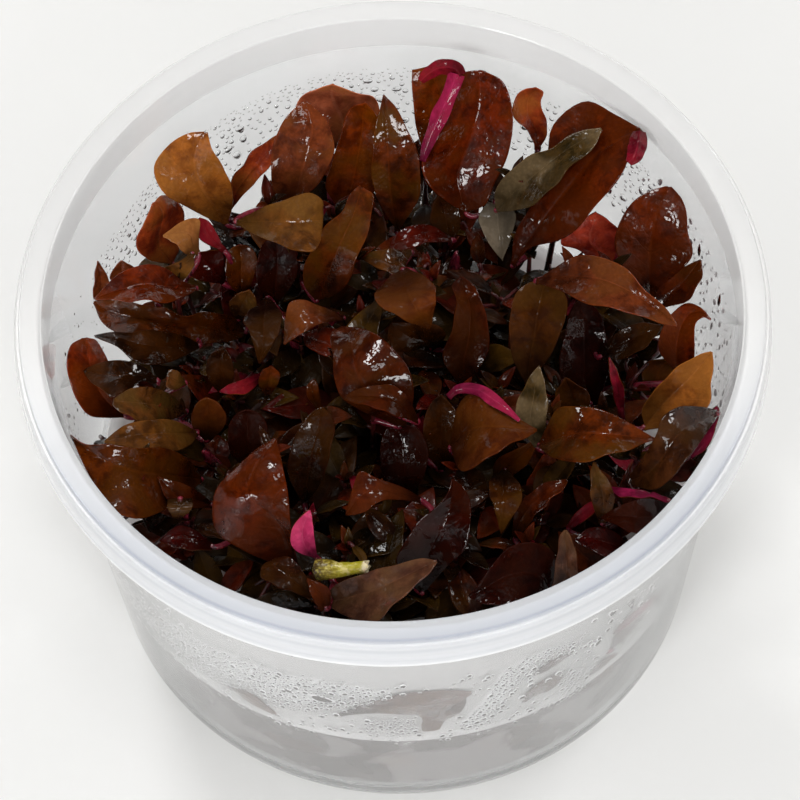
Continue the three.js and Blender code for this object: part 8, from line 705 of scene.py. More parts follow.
    [12.68, -6.78, 38.02, 0.8, 0.1, 0.59, -0.59, 0.33, 0.74, 7.81, 3.19, 0.27],
    [11.34, -6.91, 38.27, -0.54, -0.03, 0.84, 0.84, 0.1, 0.54, 4.68, 2.4, 0.26],
    [12.12, -6.41, 41.85, 0.24, 0.65, 0.72, -0.31, -0.66, 0.69, 4.87, 2.04, 0.17],
    [11.85, -7.7, 41.89, -0.03, -0.65, 0.76, 0.48, 0.66, 0.58, 7.86, 3.83, 0.11],
    [12.77, -7.21, 45.93, 0.89, 0.06, 0.45, -0.4, -0.39, 0.83, 5.46, 2.67, 0.23],
    [7.2, 0.25, 25.04, -0.43, 0.56, 0.71, 0.33, -0.64, 0.7, 10.74, 5.31, 0.06],
    [8.31, -0.81, 24.88, 0.67, -0.5, 0.54, -0.25, 0.54, 0.81, 8.26, 3.61, 0.09],
    [7.27, -0.86, 28.56, -0.54, -0.46, 0.71, 0.45, 0.55, 0.7, 9.21, 4.38, 0.12],
    [8.39, 0.25, 28.34, 0.58, 0.66, 0.48, -0.6, -0.06, 0.8, 9.04, 4.53, 0.25],
    [8.47, -0.66, 32.46, 0.48, -0.15, 0.87, -0.71, 0.53, 0.47, 10.47, 5.04, 0.06],
    [7.47, -0.19, 32.38, -0.52, 0.33, 0.79, 0.81, -0.1, 0.58, 7.54, 3.28, 0.1],
    [7.73, -0.97, 36.86, -0.49, -0.33, 0.81, 0.51, 0.64, 0.57, 9.3, 4.14, 0.15],
    [9.04, -1.51, 41.43, 0.57, -0.73, 0.38, 0.01, 0.47, 0.89, 8.3, 4.19, 0.34],
    [10.28, 6.46, 24.1, 0.7, 0.45, 0.55, -0.23, -0.58, 0.78, 11.98, 4.99, 0.28],
    [9.25, 5.64, 24.42, -0.32, -0.37, 0.87, 0.45, 0.76, 0.48, 9.44, 4.31, 0.32],
    [8.8, 6.86, 27.28, -0.77, 0.57, 0.3, 0.45, 0.15, 0.88, 11.99, 5.22, 0.18],
    [10.19, 5.67, 27.47, 0.62, -0.62, 0.48, -0.47, 0.2, 0.86, 12.03, 5.07, 0.1],
    [8.98, 6.02, 31.28, -0.58, -0.58, 0.56, 0.62, 0.13, 0.77, 8.99, 3.71, 0.11],
    [9.69, 7.3, 31.43, 0.12, 0.7, 0.71, 0.02, -0.71, 0.7, 9.16, 4.01, 0.06],
    [10.28, 6.62, 35.44, 0.72, -0.33, 0.62, -0.68, -0.14, 0.72, 7.88, 3.83, 0.09],
    [8.74, 6.87, 35.37, -0.83, -0.07, 0.55, 0.53, 0.21, 0.82, 11.67, 5.13, 0.34],
    [9.56, 7.82, 39.9, -0.01, 0.52, 0.85, 0.02, -0.85, 0.52, 5.69, 2.68, 0.3],
    [6.9, 12.58, 24.32, 0.98, 0.06, 0.21, -0.19, -0.2, 0.96, 7.17, 3.34, 0.17],
    [5.22, 12.04, 24.64, -0.7, -0.48, 0.53, 0.6, -0.01, 0.8, 9.42, 4.29, 0.07],
    [5.91, 13.36, 28.71, 0.08, 0.61, 0.79, -0.3, -0.74, 0.6, 11.11, 4.47, 0.34],
    [6.19, 12, 28.47, 0.36, -0.75, 0.55, 0.16, 0.63, 0.76, 9.82, 4.72, 0.14],
    [4.79, 12.83, 31.6, -0.95, -0.12, 0.28, 0.28, 0.05, 0.96, 11.76, 5.62, 0.28],
    [6.29, 13.1, 32.15, 0.55, 0.14, 0.82, -0.82, -0.12, 0.56, 11.04, 5.69, 0.25],
    [5.66, 12.33, 36.89, 0.05, -0.93, 0.37, -0.48, 0.3, 0.82, 4.64, 1.99, 0.34],
    [5.43, 14.1, 37.04, -0.18, 0.84, 0.52, 0.21, -0.48, 0.85, 7.25, 2.92, 0.16],
    [6.16, 13.61, 42.28, 0.68, 0.04, 0.73, -0.69, 0.36, 0.62, 3.62, 1.58, 0.26],
    [4.59, 13.18, 41.82, -0.88, -0.38, 0.27, 0.07, 0.45, 0.89, 9.06, 3.73, 0.16],
    [11.62, 19.9, 26.33, 0.24, 0.48, 0.84, -0.72, -0.49, 0.48, 7.18, 3.63, 0.16],
    [11.25, 18.47, 25.78, -0.13, -0.95, 0.29, -0.13, 0.31, 0.94, 7.4, 3.35, 0.11],
    [10.9, 19.73, 31.17, -0.82, -0.13, 0.55, 0.41, 0.54, 0.73, 12.44, 5.8, 0.06],
    [12.48, 20.23, 31.16, 0.76, 0.37, 0.54, -0.48, -0.24, 0.84, 6.29, 2.88, 0.21],
    [11.95, 19.62, 35.96, -0.08, -0.64, 0.77, 0.17, 0.75, 0.64, 6.6, 3.07, 0.07],
    [11.91, 21.08, 35.74, -0.12, 0.83, 0.55, -0.41, -0.54, 0.73, 4.23, 2.19, 0.24],
    [7.26, 23.16, 26.1, 0.48, 0.1, 0.87, -0.85, 0.3, 0.43, 11.07, 4.79, 0.24],
    [6.25, 22.48, 25.85, -0.53, -0.58, 0.62, 0.25, 0.6, 0.76, 8.38, 4.18, 0.07],
    [6.96, 24.53, 29.82, -0.06, 0.95, 0.29, -0.21, -0.3, 0.93, 7.99, 3.3, 0.29],
    [7.2, 23.04, 30.35, 0.18, -0.53, 0.83, -0.51, 0.67, 0.54, 8.18, 4.02, 0.29],
    [6.59, 23.87, 33.87, -0.63, -0.14, 0.77, 0.65, 0.45, 0.61, 10.67, 5.08, 0.24],
    [7.72, 24.66, 33.68, 0.5, 0.65, 0.58, -0.51, -0.32, 0.8, 9, 3.71, 0.07],
    [7.32, 25.4, 37.32, -0.12, 0.92, 0.37, 0.38, -0.3, 0.88, 6.17, 2.51, 0.15],
    [12.6, -22.36, 23.45, -0.9, 0.36, 0.26, 0.05, -0.5, 0.86, 7.28, 3.13, 0.28],
    [14.01, -23.17, 23.93, 0.52, -0.45, 0.73, -0.37, 0.65, 0.67, 8.3, 3.56, 0.14],
    [13.67, -23.62, 28.76, -0.35, -0.5, 0.79, 0.68, 0.44, 0.58, 12.61, 5.3, 0.3],
    [14.01, -22.19, 28.33, -0.02, 0.93, 0.37, 0, -0.37, 0.93, 10.96, 4.97, 0.33],
    [15.27, -23.43, 31.89, 0.86, -0.01, 0.51, -0.5, -0.21, 0.84, 7.01, 3.22, 0.08],
    [13.55, -23, 31.7, -0.85, 0.41, 0.32, 0.28, -0.15, 0.95, 8, 3.91, 0.2],
    [15.28, -22.89, 36.22, 0.36, 0.91, 0.23, 0.14, -0.29, 0.95, 9.06, 4.14, 0.22],
    [15.01, -24.42, 36.77, 0.08, -0.62, 0.78, -0.44, 0.68, 0.58, 10.06, 4.73, 0.14],
    [14.49, -24.06, 40.58, -0.9, 0.09, 0.42, 0.42, 0.38, 0.82, 5.26, 2.29, 0.22],
    [15.92, -24.5, 40.94, 0.53, -0.35, 0.77, -0.49, 0.62, 0.62, 4.13, 2.14, 0.26],
    [16.46, -17.68, 25.52, -0.03, 0.5, 0.87, 0.24, -0.84, 0.49, 8.69, 4.28, 0.15],
    [16.22, -18.9, 25.28, -0.27, -0.73, 0.63, 0.16, 0.61, 0.78, 12.95, 5.21, 0.15],
    [15.98, -18.22, 29.88, -0.81, 0.32, 0.5, 0.58, 0.24, 0.78, 10.26, 5.32, 0.34],
    [17.42, -18.55, 30.16, 0.63, -0.01, 0.78, -0.78, 0.02, 0.63, 10.41, 5.34, 0.3],
    [16.75, -19.49, 34.89, -0.34, -0.58, 0.74, 0.67, 0.4, 0.63, 8.45, 3.8, 0.14],
    [17.28, -18.28, 34.91, 0.19, 0.62, 0.76, 0.07, -0.78, 0.62, 10.76, 5.01, 0.09],
    [18.17, -19.34, 38.16, 0.86, -0.16, 0.49, -0.51, -0.11, 0.85, 4.98, 2, 0.22],
    [16.77, -18.94, 38.47, -0.55, 0.24, 0.8, 0.61, -0.54, 0.58, 7.09, 2.84, 0.09],
    [18.08, -18.96, 43.3, 0.45, 0.6, 0.66, -0.66, -0.27, 0.7, 7.67, 3.36, 0.26],
    [14.03, -10.94, 25.71, 0.96, -0.03, 0.29, -0.28, 0.08, 0.96, 12.4, 5.49, 0.09],
    [12.31, -10.89, 26.09, -0.75, 0.01, 0.66, 0.6, -0.41, 0.69, 12.02, 5.98, 0.29],
    [12.85, -10.4, 30.16, -0.32, 0.57, 0.76, 0.28, -0.71, 0.65, 11.49, 5.91, 0.29],
    [13.56, -11.58, 30.1, 0.39, -0.61, 0.69, -0.27, 0.64, 0.72, 11.11, 4.67, 0.32],
    [12.37, -10.99, 34.38, -0.93, 0.06, 0.37, 0.36, -0.18, 0.92, 6.08, 2.85, 0.17],
    [14.06, -10.7, 34.55, 0.77, 0.35, 0.54, -0.49, -0.23, 0.84, 8.74, 4.25, 0.15],
    [13.29, -10.6, 39.08, -0.1, 0.52, 0.85, 0.27, -0.81, 0.53, 7.54, 3.87, 0.09],
    [16.6, -5.91, 25.69, -0.75, 0.6, 0.28, 0.05, -0.37, 0.93, 12.98, 6.46, 0.08],
    [18.23, -6.71, 25.83, 0.88, -0.19, 0.43, -0.36, 0.3, 0.88, 11.04, 4.76, 0.18],
    [17.42, -7.07, 29.87, -0.4, -0.38, 0.83, 0.78, 0.33, 0.53, 7.14, 3.67, 0.12],
    [18.42, -6.19, 29.68, 0.59, 0.5, 0.64, -0.44, -0.47, 0.77, 7.07, 3.65, 0.07],
    [18.99, -7.03, 34.04, 0.61, -0.14, 0.78, -0.71, 0.33, 0.62, 8.51, 3.95, 0.19],
    [17.47, -6.62, 33.57, -0.91, 0.27, 0.31, 0.39, 0.29, 0.87, 10.08, 4.41, 0.09],
    [19.6, -6.71, 37.63, 0.72, 0.36, 0.59, -0.53, -0.27, 0.81, 6.81, 2.81, 0.12],
    [18.61, -7.91, 37.51, -0.27, -0.84, 0.47, -0.18, 0.53, 0.83, 5.64, 2.31, 0.3],
    [18.73, -6.85, 42.44, -0.81, 0.46, 0.36, 0.38, -0.07, 0.93, 8.33, 3.92, 0.27],
    [19.96, -7.89, 42.76, 0.42, -0.59, 0.69, -0.58, 0.41, 0.7, 8.96, 3.91, 0.21],
    [13.46, 0.88, 25.83, 0.33, 0.48, 0.82, -0.4, -0.71, 0.58, 8.41, 3.99, 0.19],
    [12.65, 0.12, 25.84, -0.48, -0.28, 0.83, 0.5, 0.69, 0.52, 10.89, 5.09, 0.16],
    [12.62, 0.52, 30.04, -0.53, 0.31, 0.79, 0.55, -0.58, 0.6, 11.14, 4.53, 0.18],
    [13.61, -0.15, 30.07, 0.45, -0.35, 0.82, -0.8, 0.24, 0.54, 9.38, 4.74, 0.16],
    [12.59, -0.75, 33.63, -0.6, -0.76, 0.26, 0.2, 0.18, 0.96, 8.86, 4.12, 0.08],
    [14.13, 0.2, 33.63, 0.95, 0.18, 0.26, -0.31, 0.36, 0.88, 10.7, 4.73, 0.13],
    [13.98, -0.65, 37.24, 0.77, -0.49, 0.4, -0.07, 0.56, 0.83, 7.17, 3.04, 0.17],
    [16.59, 4.98, 25.21, -0.55, 0.05, 0.83, 0.7, -0.51, 0.49, 12.69, 5.45, 0.08],
    [18.05, 4.66, 24.67, 0.92, -0.27, 0.3, -0.24, 0.21, 0.95, 11.21, 5.06, 0.14],
    [17.16, 4.29, 28.79, -0.25, -0.74, 0.63, 0.55, 0.43, 0.72, 8.14, 3.37, 0.3],
    [17.43, 5.62, 28.96, 0.02, 0.59, 0.8, 0.45, -0.72, 0.52, 11.45, 5.7, 0.3],
    [18.56, 5.4, 33.5, 0.81, 0.25, 0.54, -0.32, -0.59, 0.74, 12.49, 5.74, 0.26],
    [16.89, 5.59, 33.23, -0.86, 0.44, 0.26, 0.12, -0.32, 0.94, 6.64, 2.78, 0.14],
    [18.06, 5.94, 37.79, 0.01, 0.68, 0.73, -0.23, -0.71, 0.67, 8.6, 3.57, 0.15],
    [18.43, 4.38, 37.37, 0.38, -0.87, 0.31, -0.35, 0.17, 0.92, 5.68, 2.63, 0.27],
    [12.15, 12.36, 24.43, -0.23, 0.79, 0.56, -0.11, -0.6, 0.8, 8.74, 3.8, 0.05],
    [12.67, 11.01, 24.64, 0.3, -0.56, 0.77, -0.31, 0.71, 0.63, 11.31, 5.47, 0.26],
    [12.3, 11.36, 28.07, -0.42, -0.54, 0.73, 0.27, 0.7, 0.67, 12.9, 5.28, 0.19],
    [13.51, 12.38, 27.71, 0.79, 0.48, 0.37, -0.45, 0.06, 0.89, 7.97, 3.48, 0.06],
    [13.86, 11.7, 32.39, 0.68, -0.63, 0.38, -0.2, 0.34, 0.92, 9.03, 3.92, 0.31],
    [12.71, 12.51, 32.87, -0.47, 0.18, 0.86, 0.7, -0.53, 0.49, 11.92, 5.74, 0.33],
    [14.4, 13.14, 36.1, 0.84, 0.45, 0.31, -0.16, -0.33, 0.93, 7.47, 3.42, 0.16],
    [12.74, 12.37, 36.26, -0.82, -0.31, 0.47, 0.42, 0.21, 0.88, 12.38, 6.39, 0.21],
    [13.18, 13.62, 40.36, -0.81, 0.53, 0.27, 0.45, 0.24, 0.86, 6.98, 3.03, 0.16],
    [14.48, 12.49, 40.72, 0.49, -0.6, 0.63, -0.26, 0.59, 0.76, 3.59, 1.79, 0.33],
    [18.09, 18.95, 24.91, 0.31, 0.87, 0.38, -0.41, -0.24, 0.88, 4.79, 2.46, 0.23],
    [17.7, 17.34, 25.2, -0.08, -0.74, 0.67, -0.39, 0.64, 0.66, 11.55, 5.69, 0.06],
    [17.36, 18.82, 29.81, -0.62, 0.23, 0.74, 0.6, -0.47, 0.65, 8.73, 3.91, 0.09],
    [18.89, 18.94, 29.3, 0.9, 0.36, 0.23, -0.14, -0.27, 0.95, 11.24, 5.43, 0.24],
    [18.38, 18.29, 33.99, 0.2, -0.77, 0.61, 0.12, 0.64, 0.76, 9.77, 4.45, 0.09],
    [18.85, 20.84, 43.21, 0.25, 0.77, 0.59, -0.62, -0.34, 0.71, 9.45, 4.11, 0.3],
    [14.24, 25.71, 24.4, -0.85, 0.27, 0.46, 0.29, -0.48, 0.83, 8.55, 3.56, 0.26],
    [15.6, 24.94, 24.65, 0.51, -0.49, 0.71, -0.49, 0.51, 0.7, 6.93, 3.03, 0.2],
    [15.02, 25.2, 28.88, -0.34, -0.55, 0.77, 0.23, 0.74, 0.63, 10.72, 5.27, 0.2],
    [15.9, 26.21, 28.81, 0.54, 0.46, 0.7, -0.24, -0.71, 0.66, 9.91, 4.93, 0.14],
    [16.02, 25.78, 32.76, 0.41, -0.26, 0.88, -0.66, 0.58, 0.48, 9.08, 4.37, 0.3],
    [15.48, 26.79, 32.53, -0.13, 0.76, 0.64, 0.44, -0.53, 0.72, 9.69, 4.89, 0.21],
    [16.32, 27, 36.65, 0.44, 0.65, 0.61, -0.42, -0.45, 0.79, 8.16, 3.94, 0.17],
    [15.54, 27.37, 40.34, -0.59, 0.72, 0.36, 0.25, -0.27, 0.93, 9.04, 4.67, 0.28],
    [16.99, 26.36, 40.4, 0.86, -0.29, 0.42, -0.3, 0.39, 0.87, 9.29, 4.48, 0.1],
    [17.23, 27.39, 45.14, 0.8, 0.39, 0.46, -0.45, -0.1, 0.89, 5.6, 2.57, 0.3],
    [25.41, -18.36, 23.68, 0.82, 0.52, 0.25, -0.34, 0.07, 0.94, 5.91, 3.05, 0.28],
    [23.89, -19.31, 23.97, -0.71, -0.44, 0.55, 0.57, 0.1, 0.81, 7.67, 3.32, 0.17],
    [24.95, -18.8, 28.95, -0.36, 0.64, 0.68, -0.07, -0.74, 0.67, 6.62, 3.34, 0.24],
    [25.77, -20.02, 28.95, 0.46, -0.58, 0.67, -0.25, 0.64, 0.72, 6.77, 3.34, 0.23],
    [26.33, -19.32, 32.65, 0.48, 0.57, 0.67, -0.34, -0.58, 0.74, 9.11, 4.55, 0.3],
    [26.89, -20.45, 36.8, 0.46, -0.1, 0.88, -0.87, -0.26, 0.42, 5.31, 2.6, 0.32],
    [25.94, -19.51, 36.16, -0.49, 0.84, 0.24, 0.12, -0.21, 0.97, 7.4, 3.3, 0.24],
    [27.55, -20.02, 40.08, 0.55, 0.79, 0.28, 0.23, -0.46, 0.85, 11.9, 4.91, 0.16],
    [26.25, -21.42, 40.04, -0.75, -0.62, 0.23, 0.32, -0.04, 0.95, 4.53, 1.93, 0.1],
    [27.2, -20.78, 45.1, -0.47, 0.57, 0.68, 0.5, -0.46, 0.73, 5.89, 2.44, 0.24],
    [28.26, -21.98, 44.93, 0.58, -0.63, 0.51, -0.31, 0.4, 0.86, 5.71, 2.88, 0.23],
    [19.77, -11.11, 25.58, 0.17, 0.79, 0.59, 0.34, -0.61, 0.72, 7.62, 3.23, 0.12],
    [19.72, -12.54, 25.74, 0.12, -0.65, 0.75, -0.19, 0.73, 0.66, 8.88, 4.55, 0.08],
    [18.91, -11.8, 29.28, -0.92, 0.2, 0.33, 0.39, 0.37, 0.84, 12.76, 6.04, 0.31],
    [20.38, -12.11, 29.77, 0.55, -0.11, 0.83, -0.83, -0.08, 0.55, 11.76, 5.69, 0.05],
    [20.14, -13.04, 34.08, 0.04, -0.91, 0.41, -0.4, 0.36, 0.84, 12.61, 6.14, 0.32],
    [20.05, -11.28, 34.2, -0.05, 0.84, 0.54, 0.42, -0.47, 0.78, 12.25, 5.17, 0.21],
    [20.76, -12.56, 37.98, 0.46, -0.35, 0.82, -0.43, 0.72, 0.55, 7.41, 3.77, 0.08],
    [19.68, -11.94, 37.9, -0.62, 0.27, 0.74, 0.49, -0.6, 0.63, 6.02, 2.88, 0.3],
    [20.74, -11.66, 41.57, 0.23, 0.64, 0.73, -0.63, -0.48, 0.62, 6.04, 2.94, 0.06],
    [20.08, -13.08, 41.31, -0.43, -0.77, 0.47, 0.34, 0.35, 0.88, 6.89, 3.22, 0.2],
    [21.28, -12.68, 45.05, 0.57, -0.28, 0.77, -0.7, 0.31, 0.64, 7.71, 3.43, 0.28],
    [25.07, -4.81, 25.48, 0.58, 0.21, 0.79, -0.61, -0.52, 0.59, 8.94, 4.39, 0.09],
    [24.08, -5.72, 25.29, -0.41, -0.7, 0.59, 0.32, 0.49, 0.81, 8.12, 4.02, 0.19],
    [24.36, -4.26, 28.85, -0.58, 0.78, 0.25, 0.05, -0.28, 0.96, 7.37, 3.72, 0.16],
    [25.09, -5.81, 29.21, 0.14, -0.78, 0.61, 0.15, 0.63, 0.76, 10.59, 5.26, 0.22],
    [24.98, -5.7, 34.03, -0.54, -0.66, 0.53, 0.18, 0.52, 0.83, 8.95, 4.36, 0.3],
    [26.25, -4.71, 34.1, 0.73, 0.34, 0.59, -0.56, -0.19, 0.8, 7.84, 3.46, 0.15],
    [26.45, -5.93, 38.77, 0.36, -0.87, 0.33, 0.08, 0.39, 0.92, 10.61, 4.54, 0.09],
    [20.88, 1.35, 24.9, 0.15, 0.49, 0.86, 0.16, -0.87, 0.47, 9.59, 4.24, 0.26],
    [20.83, 0.27, 24.85, 0.1, -0.58, 0.81, 0.21, 0.8, 0.56, 9.07, 4.54, 0.18],
    [20.09, 0.62, 28.43, -0.9, -0.23, 0.38, 0.43, -0.22, 0.88, 7.68, 3.16, 0.1],
    [21.92, 0.92, 28.39, 0.94, 0.07, 0.33, -0.33, 0.38, 0.86, 12.64, 5.5, 0.14],
    [21.3, 0.2, 32.3, 0.1, -0.65, 0.76, -0.46, 0.65, 0.61, 11.8, 4.78, 0.09],
    [21.22, 1.55, 32.26, 0.01, 0.7, 0.71, 0.44, -0.64, 0.62, 12.69, 6.49, 0.28],
    [20.63, 0.63, 36.42, -0.84, -0.22, 0.49, 0.38, 0.4, 0.83, 5.02, 2.06, 0.32],
    [21.54, -0.12, 39.59, -0.15, -0.97, 0.21, -0.38, 0.25, 0.89, 4.43, 1.9, 0.25],
    [22.54, 5.35, 23.75, -0.28, 0.88, 0.39, 0.36, -0.28, 0.89, 9.52, 3.93, 0.22],
    [22.74, 3.59, 23.82, -0.08, -0.88, 0.47, 0.11, 0.46, 0.88, 11.49, 5.5, 0.26],
    [22.74, 4.6, 28.42, -0.56, -0.11, 0.82, 0.81, 0.11, 0.57, 12.78, 5.32, 0.25],
    [24.16, 4.9, 28.09, 0.85, 0.19, 0.49, -0.52, 0.37, 0.77, 10.25, 4.56, 0.28],
    [23.68, 4.08, 32.56, -0.15, -0.89, 0.43, -0.39, 0.45, 0.8, 6.87, 3.01, 0.25],
    [24.08, 5.7, 32.77, 0.26, 0.73, 0.64, -0.07, -0.64, 0.76, 11.4, 4.92, 0.15],
    [22.05, 11.1, 24.63, 0.93, -0.13, 0.36, -0.38, -0.33, 0.87, 9.32, 4.1, 0.33],
    [20.28, 10.87, 24.69, -0.84, -0.35, 0.42, 0.44, 0.03, 0.9, 10.93, 4.55, 0.33],
    [21.77, 12.21, 29.91, 0.1, 0.68, 0.72, 0.26, -0.72, 0.64, 7.71, 3.97, 0.17],
    [21.64, 10.89, 29.97, -0.03, -0.63, 0.78, -0.05, 0.78, 0.63, 9.88, 4.12, 0.32],
    [21.37, 11.9, 34.47, -0.85, 0.09, 0.52, 0.53, 0.03, 0.85, 8.39, 3.77, 0.22],
    [22.95, 12.03, 34.58, 0.74, 0.21, 0.64, -0.66, 0.03, 0.75, 12.78, 5.28, 0.05],
    [22.93, 12.82, 38.73, 0.24, 0.76, 0.61, -0.44, -0.47, 0.76, 6.15, 2.86, 0.18],
    [23.73, 11.98, 42.77, 0.6, -0.33, 0.73, -0.41, 0.66, 0.63, 9.58, 4.52, 0.18],
    [23.49, 17.9, 24.3, 0.31, 0.77, 0.55, -0.43, -0.41, 0.81, 6.11, 3.08, 0.32],
    [23.45, 16.34, 24.3, 0.27, -0.79, 0.56, 0.06, 0.59, 0.81, 11.51, 5.03, 0.3],
    [22.82, 17.2, 29.52, -0.72, -0.1, 0.69, 0.68, -0.28, 0.67, 9.23, 3.8, 0.28],
    [24.16, 17.19, 29.6, 0.63, -0.1, 0.77, -0.78, -0.03, 0.63, 12.93, 5.83, 0.3],
    [23.45, 16.62, 33.31, -0.37, -0.81, 0.45, 0.28, 0.36, 0.89, 10.38, 4.79, 0.33],
    [24.37, 17.99, 33.48, 0.55, 0.56, 0.62, -0.47, -0.41, 0.78, 6.02, 2.44, 0.12],
    [25.04, 17.4, 36.85, 0.96, -0.15, 0.25, -0.28, -0.2, 0.94, 9.89, 4.7, 0.18],
    [24.2, 16.77, 41.66, -0.22, -0.95, 0.24, -0.27, 0.29, 0.92, 5.92, 2.6, 0.07],
    [19.61, 23.71, 25.07, -0.83, 0.13, 0.55, 0.56, 0.22, 0.8, 10.39, 4.34, 0.33],
    [21.35, 23.44, 24.91, 0.91, -0.14, 0.38, -0.33, 0.29, 0.9, 7.46, 3.44, 0.34],
    [21.32, 23.41, 30.1, 0.22, -0.87, 0.43, -0.28, 0.37, 0.89, 9.54, 4.89, 0.06],
    [22.11, 25, 34.85, 0.46, 0.14, 0.88, -0.89, 0.13, 0.44, 10.27, 5, 0.09],
    [21.01, 25, 34.72, -0.64, 0.14, 0.75, 0.69, -0.33, 0.65, 7.92, 3.86, 0.08],
    [22.43, 25.82, 38.47, 0.3, 0.46, 0.83, -0.8, -0.36, 0.48, 10.77, 5.45, 0.17],
    [22.22, 24.67, 38.36, 0.09, -0.69, 0.72, 0.05, 0.73, 0.69, 4.53, 1.84, 0.14],
    [21.93, 26.05, 41.9, -0.66, 0.21, 0.72, 0.71, -0.13, 0.69, 6.14, 2.99, 0.25],
    [23.17, 25.91, 41.98, 0.58, 0.08, 0.81, -0.81, -0.04, 0.59, 6.36, 3.15, 0.26],
    [22.9, 25.58, 45.92, -0.23, -0.84, 0.49, 0.47, 0.35, 0.81, 4.11, 1.68, 0.21],
    [23.15, 27.05, 46.2, 0.01, 0.64, 0.77, -0.4, -0.7, 0.58, 8.49, 4.27, 0.31],
    [28.34, -12.23, 24.49, 0.64, 0.58, 0.51, -0.38, -0.34, 0.86, 11.85, 5.76, 0.14],
    [27.65, -13.61, 24.58, -0.06, -0.8, 0.6, 0.28, 0.56, 0.78, 8.46, 3.84, 0.34],
    [27.64, -12.96, 28.47, -0.46, 0.13, 0.88, 0.86, -0.17, 0.47, 10.19, 4.93, 0.07],
    [28.76, -13.23, 28.33, 0.66, -0.14, 0.74, -0.58, 0.54, 0.61, 7.46, 3.79, 0.3],
    [28.17, -14.13, 31.65, -0.31, -0.77, 0.55, 0.46, 0.39, 0.8, 9.02, 4.58, 0.06],
    [28.73, -12.59, 31.69, 0.25, 0.77, 0.59, -0.46, -0.44, 0.77, 8.52, 3.45, 0.24],
    [29.53, -13.7, 36.73, 0.54, 0.03, 0.84, -0.78, 0.39, 0.48, 9.21, 4.63, 0.08],
    [28.14, -13.27, 36.12, -0.86, 0.46, 0.24, 0.23, -0.09, 0.97, 7.58, 3.53, 0.06],
    [30.07, -13.37, 39.98, 0.67, 0.64, 0.38, -0.19, -0.34, 0.92, 5.3, 2.2, 0.12],
    [28.89, -14.65, 40.18, -0.52, -0.64, 0.57, 0.25, 0.52, 0.81, 7.36, 3.1, 0.06],
    [29.42, -14.17, 44.87, -0.46, 0.17, 0.87, 0.64, -0.61, 0.46, 10.46, 4.57, 0.24],
    [30.58, -14.37, 44.71, 0.7, -0.02, 0.72, -0.7, 0.2, 0.69, 4.03, 1.93, 0.31],
    [29.96, 1.28, 25.34, 0.62, 0.28, 0.73, -0.62, -0.4, 0.68, 9.18, 4.53, 0.29],
    [28.37, 0.86, 24.85, -0.96, -0.14, 0.24, 0.24, -0.01, 0.97, 10.45, 5.39, 0.05],
    [29.78, 1.85, 29.69, 0.04, 0.92, 0.4, -0.4, -0.35, 0.85, 12.33, 5.99, 0.26],
    [29.49, 0.23, 29.96, -0.24, -0.7, 0.67, 0.26, 0.62, 0.74, 9.32, 4.39, 0.08],
    [29.59, 0.67, 34.5, -0.51, -0.19, 0.84, 0.82, 0.18, 0.54, 4.02, 2.03, 0.16],
    [31.07, 0.74, 33.91, 0.96, -0.12, 0.24, -0.26, -0.18, 0.95, 9.19, 3.78, 0.13],
    [26.61, 12.12, 25.27, 0.03, 0.93, 0.37, 0.08, -0.37, 0.93, 8.5, 4.15, 0.09],
    [26.71, 10.6, 25.7, 0.13, -0.59, 0.8, -0.47, 0.67, 0.57, 7.09, 3.56, 0.29],
    [26.24, 11.11, 29.43, -0.7, -0.3, 0.65, 0.34, 0.66, 0.67, 7.44, 3.4, 0.25],
    [27.84, 11.55, 29.19, 0.9, 0.14, 0.41, -0.43, 0.2, 0.88, 10.94, 5.07, 0.09],
    [27.57, 10.85, 33.32, 0.25, -0.8, 0.55, 0.24, 0.6, 0.76, 7.09, 3.22, 0.17],
    [27.38, 12.41, 33.4, 0.06, 0.77, 0.63, -0.07, -0.63, 0.77, 12.74, 5.27, 0.32],
    [28.61, 11.88, 36.51, 0.96, 0.04, 0.28, -0.28, 0.14, 0.95, 7.22, 2.98, 0.08],
    [26.84, 11.94, 36.82, -0.81, 0.1, 0.58, 0.59, 0.03, 0.81, 10.3, 4.5, 0.31],
    [27.74, 12.62, 41.51, -0.33, 0.53, 0.79, 0.71, -0.42, 0.57, 4.95, 2.04, 0.2],
    [28.21, 11.57, 41.56, 0.14, -0.53, 0.83, -0.52, 0.68, 0.52, 6.64, 2.83, 0.24],
    [27.55, 12.32, 45.43, -0.93, -0.03, 0.38, 0.38, -0.21, 0.9, 7.11, 3.45, 0.18],
    [29.91, -18.07, 43.91, 0.97, -0.18, 0.12, -0.18, -0.34, 0.93, 6.48, 2.87, 0.24],
    [11.17, 11.16, 40.49, 0.9, -0.44, -0.06, -0.02, -0.16, 0.99, 4.13, 1.79, 0.18],
    [31.38, 5.66, 36.25, 0.89, 0.08, 0.44, -0.44, -0.09, 0.9, 5.62, 3.03, 0.07],
    [10.08, 14.45, 33.48, 0.87, -0.49, 0.07, 0.13, 0.37, 0.92, 8.45, 4.27, 0.14],
    [28.62, 4.06, 34.4, 0.83, -0.55, 0.11, -0.22, -0.13, 0.97, 8.33, 3.85, 0.09],
    [10.36, 29.43, 32.61, 0.29, -0.61, 0.74, -0.61, 0.47, 0.63, 8.64, 4.06, 0.27],
    [3.01, 23.77, 33.81, 0.19, 0.95, 0.24, -0.44, -0.14, 0.89, 10.94, 5.64, 0.05],
    [-21.73, 25.8, 38.33, 0.93, -0.03, 0.37, -0.35, 0.29, 0.89, 4.71, 2.31, 0.05],
    [9.37, 24.18, 30.37, 0.12, 0.65, 0.75, 0.3, -0.74, 0.6, 5.57, 2.52, 0.15],
    [16, 15.5, 37.62, -0.71, -0.69, 0.14, -0.07, 0.27, 0.96, 9.78, 5.09, 0.12],
    [-16.59, 24.49, 35.39, -0.73, 0.43, 0.53, 0.56, -0.08, 0.83, 9.69, 5.26, 0.09],
